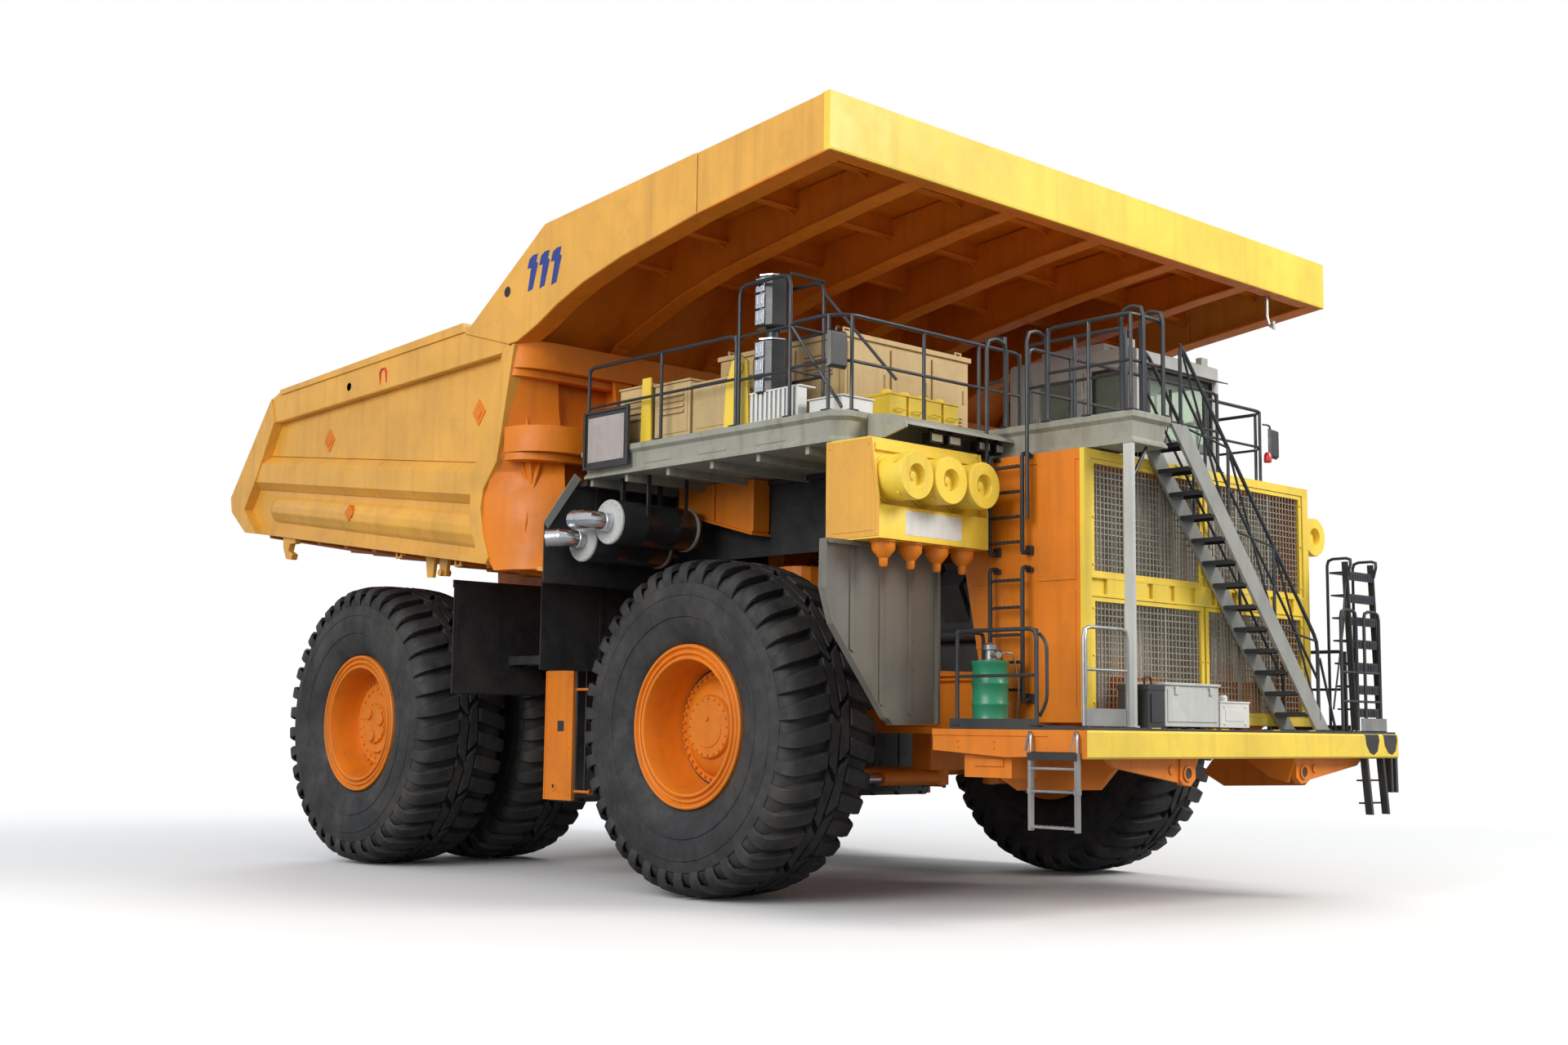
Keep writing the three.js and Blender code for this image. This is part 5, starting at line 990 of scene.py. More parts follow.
def handrails():
    edge = DECK_HALF - 0.06
    front = DECK_FRONT + 0.06
    right = Shape()
    handrail(right, [(-edge, DECK_REAR - 0.06), (-edge, 0.3), (-edge, -1.05)], DECK_TOP, RAIL_TOP)
    handrail(right, [(-edge, -1.95), (-edge, DECK_FRONT + 0.24), (-DECK_HALF + 0.24, front),
                     (-2.9, front), (-1.95, front), (-1.2, front)], DECK_TOP, RAIL_TOP)
    # Cage round the aerial column, with its brace.
    for x in (-edge, -3.72):
        right.tube(rounded([(x, -1.95, DECK_TOP), (x, -1.95, 7.05), (x, -1.1, 7.05),
                            (x, -1.1, DECK_TOP)], 0.12), TUBE)
        for z in (5.95, 6.45):
            right.tube([(x, -1.95, z), (x, -1.1, z)], TUBE * 0.8, 8)
    for z in (5.95, 6.45, 7.05):
        right.tube([(-edge, -1.95, z), (-3.72, -1.95, z)], TUBE * 0.8, 8)
    right.tube([(-edge, -1.97, 6.45), (-edge + 0.15, -2.62, DECK_TOP + 0.05)], TUBE * 0.8, 8)
    right.tube([(-3.72, -1.97, 6.9), (-3.2, -2.6, 5.9)], TUBE * 0.8, 8)
    right.piece("handrail_right_tubes", "rail_black", replaces=["handrail_right"])

    left = Shape()
    handrail(left, [(edge, DECK_REAR - 0.06), (edge, 0.9), (edge, -0.5), (edge, -1.6),
                    (edge, DECK_FRONT + 0.24), (DECK_HALF - 0.24, front), (2.7, front)],
             DECK_TOP, RAIL_TOP)
    handrail(left, [(2.54, -3.04), (1.0, -3.04), (-0.6, -3.04), (-1.4, -3.04)], DECK_TOP, RAIL_TOP)
    handrail(left, [(-1.51, -3.1), (-1.51, -3.8), (-1.51, -4.5)], DECK_TOP, RAIL_TOP)
    handrail(left, [(-2.05, -2.95), (-2.05, -3.22)], DECK_TOP, RAIL_TOP)
    handrail(left, [(-2.05, -3.84), (-2.05, -4.4), (-2.05, -4.96), (-1.46, -4.96)], DECK_TOP,
             RAIL_TOP)
    # Grab hoops beside the head of the ladder and of the stairs.
    for y in (-3.24, -3.82):
        left.tube(rounded([(-2.40, y, 4.3), (-2.40, y, 6.42), (-2.05, y, 6.42),
                           (-2.05, y, DECK_TOP)], 0.14), TUBE)
    for x in (-1.86, -1.50):
        left.tube(rounded([(x, -4.99, DECK_TOP), (x, -4.99, 6.6), (x, -4.7, 6.6),
                           (x, -4.7, DECK_TOP)], 0.12), TUBE)
    left.piece("handrail_left_tubes", "rail_black", replaces=["handrail_left"])

    board = Shape()
    board.box(-4.35, -4.305, 0.81, 1.71, 5.16, 5.20)
    board.box(-4.35, -4.305, 0.81, 1.71, 5.86, 5.90)
    board.box(-4.35, -4.305, 0.81, 0.85, 5.16, 5.90)
    board.box(-4.35, -4.305, 1.67, 1.71, 5.16, 5.90)
    board.box(-4.33, -4.302, 0.83, 1.69, 5.18, 5.88)
    for y in (0.9, 1.6):
        board.box(-4.31, -4.22, y - 0.02, y + 0.02, 5.5, 5.54)
    board.piece("board_frame", "black_paint", bevel=0.006)
    sheet = Shape()
    sheet.box(-4.334, -4.328, 0.9, 1.62, 5.25, 5.81)
    for y, z in ((0.93, 5.28), (1.59, 5.28), (0.93, 5.78), (1.59, 5.78)):
        sheet.bolt((-4.334, y, z), (-1, 0, 0), 0.012, 0.006)
    sheet.piece("board_sheet", "sheet_grey", bevel=0.002)


def louvres(shape, x0, x1, y, z0, z1, count, side):
    """A row of sloping slats on a face that looks along Y (side -1) or the other way (+1)."""
    for k in range(count):
        z = z0 + (z1 - z0) * (k + 0.5) / count
        half = (z1 - z0) / count * 0.3
        shape.prism([(y, z - half), (y + side * 0.025, z - half * 1.6), (y + side * 0.028, z - half),
                     (y, z + half)], "x", x0, x1)


def side_louvres(shape, x, y0, y1, z0, z1, count, side):
    """Sloping slats on a face that looks along X (side +1 or -1)."""
    for k in range(count):
        z = z0 + (z1 - z0) * (k + 0.5) / count
        half = (z1 - z0) / count * 0.3
        shape.prism([(x, z - half), (x + side * 0.025, z - half * 1.6),
                     (x + side * 0.028, z - half), (x, z + half)], "y", y0, y1)


def cabinets():
    z = DECK_TOP
    s = Shape()
    s.box(-4.0, -1.2, -1.45, 0.2, z, z + 0.06)
    s.box(-3.3, -1.15, -1.88, 0.3, z + 0.02, z + 1.08)
    s.box(-3.33, -1.12, -1.91, 0.33, z + 1.08, z + 1.14)
    for x0, x1 in ((-3.26, -2.58), (-2.54, -1.86), (-1.82, -1.19)):
        s.box(x0, x1, -1.905, -1.87, z + 0.1, z + 1.03)
        louvres(s, x0 + 0.1, x1 - 0.1, -1.905, z + 0.18, z + 0.4, 5, -1)
        s.box(x1 - 0.09, x1 - 0.06, -1.93, -1.90, z + 0.55, z + 0.72)
    for y0, y1 in ((-1.8, -1.12), (-1.06, -0.38), (-0.32, 0.24)):
        s.box(-3.325, -3.29, y0, y1, z + 0.1, z + 1.03)
        side_louvres(s, -3.325, y0 + 0.1, y1 - 0.1, z + 0.65, z + 0.95, 6, -1)
    # Resistor boxes along the outer edge.
    for y0, y1, top in ((-1.0, -0.1, 0.62), (-0.05, 0.62, 0.70), (0.66, 1.3, 0.73)):
        s.box(-4.08, -3.47, y0, y1, z + 0.03, z + top)
        s.box(-4.1, -3.45, y0 - 0.015, y1 + 0.015, z + top, z + top + 0.025)
        s.box(-4.088, -4.07, y0 + 0.05, y1 - 0.05, z + 0.09, z + top - 0.06)
        if y0 > -0.1:
            side_louvres(s, -4.088, y0 + 0.1, y1 - 0.1, z + 0.32, z + top - 0.1, 4, -1)
        louvres(s, -4.0, -3.55, y0, z + 0.3, z + top - 0.1, 4, -1)
    for x, y in ((-3.2, -1.8), (-1.25, -1.8), (-3.2, 0.2), (-1.25, 0.2)):
        s.tube([(x - 0.05, y, z + 1.13), (x - 0.05, y, z + 1.2), (x + 0.05, y, z + 1.2),
                (x + 0.05, y, z + 1.13)], 0.014, 8)
    s.piece("cabinets_cream", "cream", replaces=["deck_cabinets"], bevel=0.01)

    yellow = Shape()
    for k in range(4):
        x = -3.1 + 0.3 * k
        yellow.box(x, x + 0.26, -2.42, -2.02, z + 0.06, z + 0.36)
        yellow.box(x - 0.01, x + 0.27, -2.43, -2.01, z + 0.36, z + 0.385)
        yellow.tube([(x + 0.06, -2.43, z + 0.2), (x + 0.06, -2.47, z + 0.2),
                     (x + 0.2, -2.47, z + 0.2), (x + 0.2, -2.43, z + 0.2)], 0.01, 8)
        yellow.lathe([(0, 0.07), (0.05, 0.07), (0.07, 0.05), (0.07, 0)],
                     (x + 0.13, -2.22, z + 0.385), (0, 0, 1), 20)
    yellow.box(-3.15, -1.85, -2.45, -1.98, z + 0.005, z + 0.06)
    yellow.prism([(-1.16, z), (-0.72, z), (-0.76, z + 0.55), (-0.86, z + 0.8), (-1.0, z + 0.86),
                  (-1.12, z + 0.78)], "x", -4.14, -4.10)
    yellow.lathe([(0, 0.05), (0.0, 0.075), (0.012, 0.075), (0.012, 0.05), (0, 0.05)],
                 (-4.14, -0.99, z + 0.7), (-1, 0, 0), 20)
    yellow.prism([(0.62, z), (0.82, z), (0.80, z + 0.82), (0.64, z + 0.82)], "x", -4.14, -4.11)
    yellow.piece("filter_boxes", "bright_yellow", bevel=0.008)

    fins = Shape()
    for k in range(11):
        y = -2.0 + 0.075 * k
        fins.box(-4.16, -4.02, y, y + 0.045, z + 0.03, z + 0.36)
    fins.box(-4.15, -3.9, -2.02, -1.17, z + 0.36, z + 0.38)
    fins.box(-4.15, -4.0, -2.02, -1.17, z + 0.01, z + 0.04)
    fins.box(-4.08, -3.6, -2.62, -2.1, z, z + 0.18)
    fins.box(-4.1, -3.58, -2.64, -2.08, z + 0.18, z + 0.2)
    fins.piece("cooler_fins", "white_paint", bevel=0.003, segments=1)

    # Two lamp-like units, one above the other on a post, each with plated faces.
    column, bands = Shape(), Shape()
    x, y = -3.975, -1.375
    column.lathe([(0, 0.0), (0, 0.08), (1.7, 0.08), (1.7, 0)], (x, y, z), (0, 0, 1), 20)
    column.lathe([(0, 0.0), (0, 0.16), (0.015, 0.16), (0.015, 0)], (x, y, z), (0, 0, 1), 28)
    for low, high in ((0.34, 1.0), (1.12, 1.745)):
        tall = high - low
        column.lathe([(0, 0.0), (0, 0.19), (0.02, 0.21), (tall - 0.04, 0.21), (tall - 0.02, 0.19),
                      (tall - 0.02, 0)], (x, y, z + low), (0, 0, 1), 8)
        for k in range(3):
            z0 = z + low + 0.03 + k * (tall - 0.06) / 3
            z1 = z0 + (tall - 0.06) / 3 - 0.025
            bands.box(x - 0.215, x - 0.19, y - 0.07, y + 0.07, z0, z1)
            bands.box(x - 0.225, x - 0.2, y - 0.05, y - 0.02, z0 + 0.04, z1 - 0.03)
            bands.box(x - 0.225, x - 0.2, y + 0.02, y + 0.05, z0 + 0.04, z1 - 0.03)
        bands.lathe([(0, 0.17), (0, 0.212), (0.02, 0.212), (0.02, 0.17), (0, 0.17)],
                    (x, y, z + high - 0.03), (0, 0, 1), 8)
    column.piece("column_drums", "black_paint", bevel=0.006)
    bands.piece("column_bands", "chrome", bevel=0.003)


decks()
handrails()
cabinets()

# ---------------------------------------------------------------- cab

cab_high = span("cab_shell")[1]
DOOR_HINGE_Z = (DECK_TOP + 0.34, 6.64)


CAB_INNER, CAB_OUTER, CAB_FRONT, CAB_BACK, CAB_ROOF = 2.0, 3.95, -2.15, 0.05, cab_high.z
CAB_SILL, CAB_HEAD = DECK_TOP + 0.65, CAB_ROOF - 0.27
LOW_SILL = CAB_SILL - 0.2  # under the windscreen


def cab_panels():
    x0, x1, y0, y1, z0, z1 = CAB_INNER, CAB_OUTER, CAB_FRONT, CAB_BACK, DECK_TOP, CAB_ROOF
    sill, head, low_sill = CAB_SILL, CAB_HEAD, LOW_SILL
    s = Shape()
    # Lower panels, pillars and the roof's cornice.
    s.box(x0, x1, y0, y0 + 0.08, z0, low_sill)
    s.box(x0, x1, y1 - 0.08, y1, z0, z1 - 0.1)
    s.box(x0, x0 + 0.08, y0, -1.26, z0, sill)
    s.box(x0, x0 + 0.08, -0.34, y1, z0, z1 - 0.1)
    s.box(x0, x0 + 0.08, y0, y1, z0, z0 + 0.09)
    s.box(x1 - 0.08, x1, y0, y1, z0, sill)
    s.box(x1 - 0.08, x1, -0.45, y1, z0, z1 - 0.1)
    s.box(x0, x1, y0, y1, z0, z0 + 0.08)
    s.box(x0, x1, y0, y1, head, z1 - 0.1)
    for x, y in ((x0, y0), (x1 - 0.15, y0)):
        s.box(x, x + 0.15, y, y + 0.15, z0, z1 - 0.1)
    s.box(x0, x0 + 0.08, -1.40, -1.26, z0, z1 - 0.1)
    s.prism([(y0, z1 - 0.12), (y1, z1 - 0.12), (y1, z1 - 0.03), (y1 - 0.06, z1),
             (y0 + 0.12, z1), (y0, z1 - 0.05)], "x", x0, x1)
    for a, b in ((x0 + 0.12, x0 + 0.9), (x0 + 1.02, x1 - 0.12)):
        s.box(a, b, y0, y0 + 0.02, z0 + 0.08, low_sill - 0.08)
    for a, b in ((-2.0, -1.1), (-1.0, -0.1)):
        s.box(x1 - 0.02, x1, a, b, z0 + 0.08, sill - 0.08)
    side_louvres(s, x1 - 0.001, -0.4, -0.02, z0 + 0.15, z0 + 0.5, 7, -1)
    for z in DOOR_HINGE_Z:
        s.lathe([(0, 0), (0, 0.022), (0.09, 0.022), (0.09, 0)], (x0 - 0.025, -1.25, z - 0.09),
                (0, 0, 1), 12)
        s.box(x0 - 0.025, x0 + 0.01, -1.33, -1.25, z - 0.09, z - 0.0005)
    s.piece("cab_panels", "cab_grey", replaces=["cab_shell"], bevel=0.012)


def cab_gaskets():
    x0, x1, y0 = CAB_INNER, CAB_OUTER, CAB_FRONT
    sill, head, low_sill = CAB_SILL, CAB_HEAD, LOW_SILL
    gasket = Shape()
    for path in (
        [(x0 + 0.15, y0 + 0.03, low_sill), (x1 - 0.15, y0 + 0.03, low_sill),
         (x1 - 0.15, y0 + 0.03, head), (x0 + 0.15, y0 + 0.03, head)],
        [(x1 - 0.03, y0 + 0.15, sill), (x1 - 0.03, -0.45, sill), (x1 - 0.03, -0.45, head),
         (x1 - 0.03, y0 + 0.15, head)],
        [(x0 + 0.03, y0 + 0.15, sill), (x0 + 0.03, -1.40, sill), (x0 + 0.03, -1.40, head),
         (x0 + 0.03, y0 + 0.15, head)],
    ):
        gasket.tube(path, 0.028, 8, closed=True)
    gasket.tube([(x1 - 0.03, -1.1, sill), (x1 - 0.03, -1.1, head)], 0.022, 8)
    # Wipers, and the sun visor over the windscreen.
    for x in (2.55, 3.35):
        gasket.lathe([(0, 0.03), (0.05, 0.03), (0.05, 0)], (x, y0 + 0.01, low_sill - 0.04),
                     (0, -1, 0), 12)
        gasket.tube([(x, y0 - 0.03, low_sill - 0.04), (x + 0.22, y0 - 0.02, sill + 0.35)], 0.009, 6)
        gasket.box(x + 0.205, x + 0.235, y0 - 0.02, y0 + 0.012, sill + 0.1, sill + 0.62)
    gasket.prism([(y0 + 0.02, head + 0.06), (y0 - 0.2, head - 0.02), (y0 - 0.2, head - 0.035),
                  (y0 + 0.02, head + 0.03)], "x", x0 + 0.05, x1 - 0.05)
    gasket.piece("cab_gaskets", "interior")


def deck_mirrors():
    mirrors = Shape()
    for sign in (1, -1):
        x, y = 4.2 * sign, DECK_FRONT + 0.1
        mirrors.tube(rounded([(x, y, DECK_TOP + 0.9), (x + sign * 0.12, y - 0.05, DECK_TOP + 0.9),
                              (x + sign * 0.12, y - 0.05, DECK_TOP + 0.45)], 0.06), 0.014, 8)
        mirrors.loft([(x, y - 0.08, DECK_TOP + 0.42),
                      (x + sign * 0.26, y - 0.05, DECK_TOP + 0.42),
                      (x + sign * 0.26, y - 0.05, DECK_TOP + 0.84),
                      (x, y - 0.08, DECK_TOP + 0.84)],
                     [(x + sign * 0.02, y - 0.13, DECK_TOP + 0.45),
                      (x + sign * 0.24, y - 0.11, DECK_TOP + 0.45),
                      (x + sign * 0.24, y - 0.11, DECK_TOP + 0.81),
                      (x + sign * 0.02, y - 0.13, DECK_TOP + 0.81)])
    mirrors.piece("mirrors", "black_paint", bevel=0.01)


def cab_roof_unit():
    z1 = CAB_ROOF
    roof = Shape()
    roof.box(2.35, 3.45, -1.35, -0.25, z1 - 0.01, z1 + 0.2)
    louvres(roof, 2.45, 3.35, -1.35, z1 + 0.03, z1 + 0.17, 5, -1)
    roof.lathe([(0, 0.24), (0.02, 0.24), (0.03, 0.21), (0.03, 0)], (2.9, -0.8, z1 + 0.2),
               (0, 0, 1), 28)
    for x, y in ((2.1, -2.0), (3.85, -2.0)):
        roof.box(x - 0.08, x + 0.08, y, y + 0.1, z1, z1 + 0.12)
    roof.piece("cab_roof_unit", "white_paint", bevel=0.012)


def beacons():
    beacon = Shape()
    for place in ((4.24, -1.6, RAIL_TOP + 0.02), (4.06, -2.86, 5.75)):
        beacon.lathe([(0, 0.05), (0.02, 0.055), (0.11, 0.05), (0.14, 0.03), (0.145, 0.0)],
                     place, (0, 0, 1), 20)
    beacon.piece("beacons", "beacon_red")


def cab_door():
    x0, z0 = CAB_INNER, DECK_TOP
    sill, head = CAB_SILL, CAB_HEAD
    door = Shape()
    dy0, dy1, dz0, dz1 = -1.245, -0.355, z0 + 0.095, head + 0.055
    door.box(x0, x0 + 0.08, dy0, dy1, dz0, sill)
    door.box(x0, x0 + 0.08, dy0, dy0 + 0.105, sill, dz1)
    door.box(x0, x0 + 0.08, dy1 - 0.105, dy1, sill, dz1)
    door.box(x0, x0 + 0.08, dy0, dy1, head - 0.06, dz1)
    door.box(x0 - 0.008, x0 + 0.01, dy0 + 0.08, dy1 - 0.08, dz0 + 0.08, sill - 0.08)
    door.tube(rounded([(x0, dy1 - 0.06, sill - 0.1), (x0 - 0.06, dy1 - 0.06, sill - 0.1),
                       (x0 - 0.06, dy1 - 0.06, sill + 0.3), (x0, dy1 - 0.06, sill + 0.3)], 0.04),
              0.012, 8)
    for z in DOOR_HINGE_Z:
        door.lathe([(0, 0), (0, 0.022), (0.0895, 0.022), (0.0895, 0)], (x0 - 0.025, -1.25, z + 0.0005),
                   (0, 0, 1), 12)
        door.box(x0 - 0.025, x0 + 0.005, -1.242, -1.16, z + 0.0005, z + 0.09)
    door.piece("cab_door_leaf", "cab_grey", "cab_door", ["cab_door"], bevel=0.008)


cab_panels()
cab_gaskets()
deck_mirrors()
cab_roof_unit()
beacons()
cab_door()

# ---------------------------------------------------------------- radiator, grille, ladder, stairs

HALF_RADIATOR = -span("radiator_housing")[0].x
GRILLE = -4.44
RADIATOR_LOW, RADIATOR_HIGH = 2.09, 5.04


def radiator():
    s = Shape()
    w = HALF_RADIATOR
    outline = [(GRILLE, RADIATOR_LOW), (-3.14, RADIATOR_LOW), (-2.74, 4.14), (-2.89, RADIATOR_HIGH),
               (GRILLE, RADIATOR_HIGH)]
    for sign in (-1, 1):
        s.prism(outline, "x", sign * (w - 0.09), sign * (w - 0.012))
        # Pressed panels with bolted edges on each side.
        for y0, y1, z0, z1 in ((-4.38, -3.86, 2.2, 3.5), (-4.38, -3.86, 3.62, 4.95),
                               (-3.22, -2.98, 2.9, 3.5), (-3.2, -2.93, 3.62, 4.95)):
            s.box(sign * (w - 0.02), sign * w, y0, y1, z0, z1)
            for y in (y0 + 0.04, y1 - 0.04):
                for z in (z0 + 0.05, (z0 + z1) / 2, z1 - 0.05):
                    s.bolt((sign * (w - 0.012), y, z), (sign, 0, 0), 0.014, 0.012)
    s.box(-w, w, GRILLE, -2.99, RADIATOR_HIGH - 0.12, RADIATOR_HIGH)
    s.box(-w, w, GRILLE, -3.2, RADIATOR_LOW, RADIATOR_LOW + 0.14)
    for x in (-1.9, -0.6, 0.6, 1.9):
        s.box(x - 0.04, x + 0.04, -3.4, -3.3, RADIATOR_LOW + 0.1, RADIATOR_HIGH - 0.1)
    for z in (3.0, 3.9):
        s.box(-w + 0.05, w - 0.05, -3.34, -3.28, z - 0.04, z + 0.04)
    for x in (-1.24, 0.81):
        s.box(x, x + 0.43, -4.07, -3.71, 2.6, 2.84)
    s.piece("radiator_panels", "deep_orange", replaces=["radiator_housing"], bevel=0.01)

    core = Shape()
    core.box(-w + 0.1, w - 0.1, -4.05, -3.72, RADIATOR_LOW + 0.12, RADIATOR_HIGH - 0.1)
    for k in range(74):
        x = -w + 0.16 + (2 * w - 0.32) * k / 73
        core.box(x - 0.009, x + 0.009, -4.09, -4.04, RADIATOR_LOW + 0.16, RADIATOR_HIGH - 0.14)
    for x in (-0.75, 0.75):
        core.box(x - 0.05, x + 0.05, -4.11, -4.03, RADIATOR_LOW + 0.14, RADIATOR_HIGH - 0.12)
    # The core's pale colour is painted light, for the sky seen through the grille.
    core.piece("radiator_core", "core_fins_painted_light", bevel=0.0)

    fan = Shape()
    fan.lathe([(0, 1.08), (0.18, 1.0), (0.2, 1.02), (0.02, 1.12), (0, 1.08)], (0, -3.7, 3.6),
              (0, 1, 0), 48)
    fan.lathe([(0.02, 0.0), (0.02, 0.16), (0.2, 0.14), (0.2, 0)], (0, -3.7, 3.6), (0, 1, 0), 24)
    for k in range(8):
        a = math.radians(45 * k)
        out, side = Vector((math.cos(a), 0, math.sin(a))), Vector((-math.sin(a), 0, math.cos(a)))
        centre = Vector((0, -3.6, 3.6))
        fan.slab([centre + out * 0.12 - side * 0.07 + Vector((0, 0.04, 0)),
                  centre + out * 0.95 - side * 0.15 + Vector((0, 0.06, 0)),
                  centre + out * 0.95 + side * 0.15 - Vector((0, 0.06, 0)),
                  centre + out * 0.12 + side * 0.07 - Vector((0, 0.04, 0))], 0.012)
    fan.piece("radiator_fan", "black_paint")


def grille():
    w = HALF_RADIATOR
    back, front = GRILLE - 0.0003, GRILLE - 0.06
    frame_bars = Shape()
    frame_bars.box(-w, -w + 0.13, front, back, RADIATOR_LOW, RADIATOR_HIGH)
    frame_bars.box(w - 0.13, w, front, back, RADIATOR_LOW, RADIATOR_HIGH)
    frame_bars.box(-w, w, front, back, RADIATOR_LOW, RADIATOR_LOW + 0.1)
    frame_bars.box(-w, w, front, back, RADIATOR_HIGH - 0.1, RADIATOR_HIGH)
    for z in (3.44, 3.64):
        frame_bars.box(-w, w, front, back, z, z + 0.035)
    frame_bars.box(-w, w, front + 0.04, back, 3.44, 3.67)
    holes = [-2.0 + 0.42 * k for k in range(11)]
    for a, b in zip(holes, holes[1:]):
        frame_bars.box(a + 0.13, b - 0.13 + 0.16, front + 0.005, back, 3.46, 3.65)
    for z0, z1 in ((2.19, 3.44), (3.67, 4.94)):
        for x0, x1 in ((-w + 0.14, -0.02), (0.02, w - 0.14)):
            frame_bars.box(x0, x0 + 0.06, front + 0.012, back, z0, z1)
            frame_bars.box(x1 - 0.06, x1, front + 0.012, back, z0, z1)
            frame_bars.box(x0, x1, front + 0.012, back, z0, z0 + 0.05)
            frame_bars.box(x0, x1, front + 0.012, back, z1 - 0.05, z1)
            for x in (x0 + 0.03, x1 - 0.03):
                for z in (z0 + 0.12, (z0 + z1) / 2, z1 - 0.12):
                    frame_bars.bolt((x, front + 0.012, z), (0, -1, 0), 0.016, 0.011)
    frame_bars.piece("grille_frame", "bright_yellow", replaces=["grille"], bevel=0.006)

    mesh = Shape()
    r = 0.0065
    for z0, z1 in ((2.24, 3.39), (3.72, 4.89)):
        for x0, x1 in ((-w + 0.19, -0.07), (0.07, w - 0.19)):
            count = int((x1 - x0) / 0.068)
            for k in range(count + 1):
                x = x0 + (x1 - x0) * k / count
                mesh.box(x - r, x + r, back - 0.03, back - 0.016, z0, z1)
            rows = int((z1 - z0) / 0.068)
            for k in range(rows + 1):
                z = z0 + (z1 - z0) * k / rows
                mesh.box(x0, x1, back - 0.022, back - 0.008, z - r, z + r)
            for k in (1, 2):
                x = x0 + (x1 - x0) * k / 3
                mesh.box(x - 0.022, x + 0.022, back - 0.016, back, z0, z1)
    mesh.piece("grille_mesh", "mesh_wire")


def side_ladder():
    s = Shape()
    x = -HALF_RADIATOR - 0.135
    y0, y1 = -3.76, -3.30
    for low, high, rungs in ((2.3, 3.78, 5), (3.92, 5.04, 4)):
        for y in (y0, y1):
            path = [(x + 0.13, y, low + 0.05), (x, y, low), (x, y, high), (x + 0.13, y, high)]
            s.tube(rounded(path, 0.05), 0.024, 10)
            s.box(x + 0.11, x + 0.1345, y - 0.05, y + 0.05, low, low + 0.1)
            s.box(x + 0.11, x + 0.1345, y - 0.05, y + 0.05, high - 0.05, high)
        for k in range(rungs):
            z = low + 0.14 + (high - low - 0.28) * k / (rungs - 1)
            s.prism([(x - 0.025, z - 0.018), (x + 0.035, z - 0.018), (x + 0.035, z + 0.012),
                     (x - 0.025, z + 0.012)], "y", y0 + 0.01, y1 - 0.01)
            for t in range(6):
                y = y0 + 0.06 + 0.062 * t
                s.box(x - 0.02, x + 0.03, y, y + 0.02, z + 0.01, z + 0.018)
    s.piece("side_ladder_rungs", "rail_black", replaces=["side_ladder"], bevel=0.003, segments=1)


STAIR_NEAR, STAIR_FAR = -5.02, -4.52
STAIR_FOOT_X, STAIR_TOP_X = 1.48, -1.40
STAIR_FOOT_Z, STAIR_TOP_Z = 2.051, 5.36
STAIR_MIDDLE = 1.63  # middle of the stairs at their foot, on x
STAIR_RUN, STAIR_RISE = 2.88, 3.309
STAIR_TREADS = 13


def stair_place(share):
    """A tread's x and z, where share runs from 0 at the foot to 1 at the top."""
    return STAIR_MIDDLE - STAIR_RUN * share, STAIR_FOOT_Z + STAIR_RISE * share


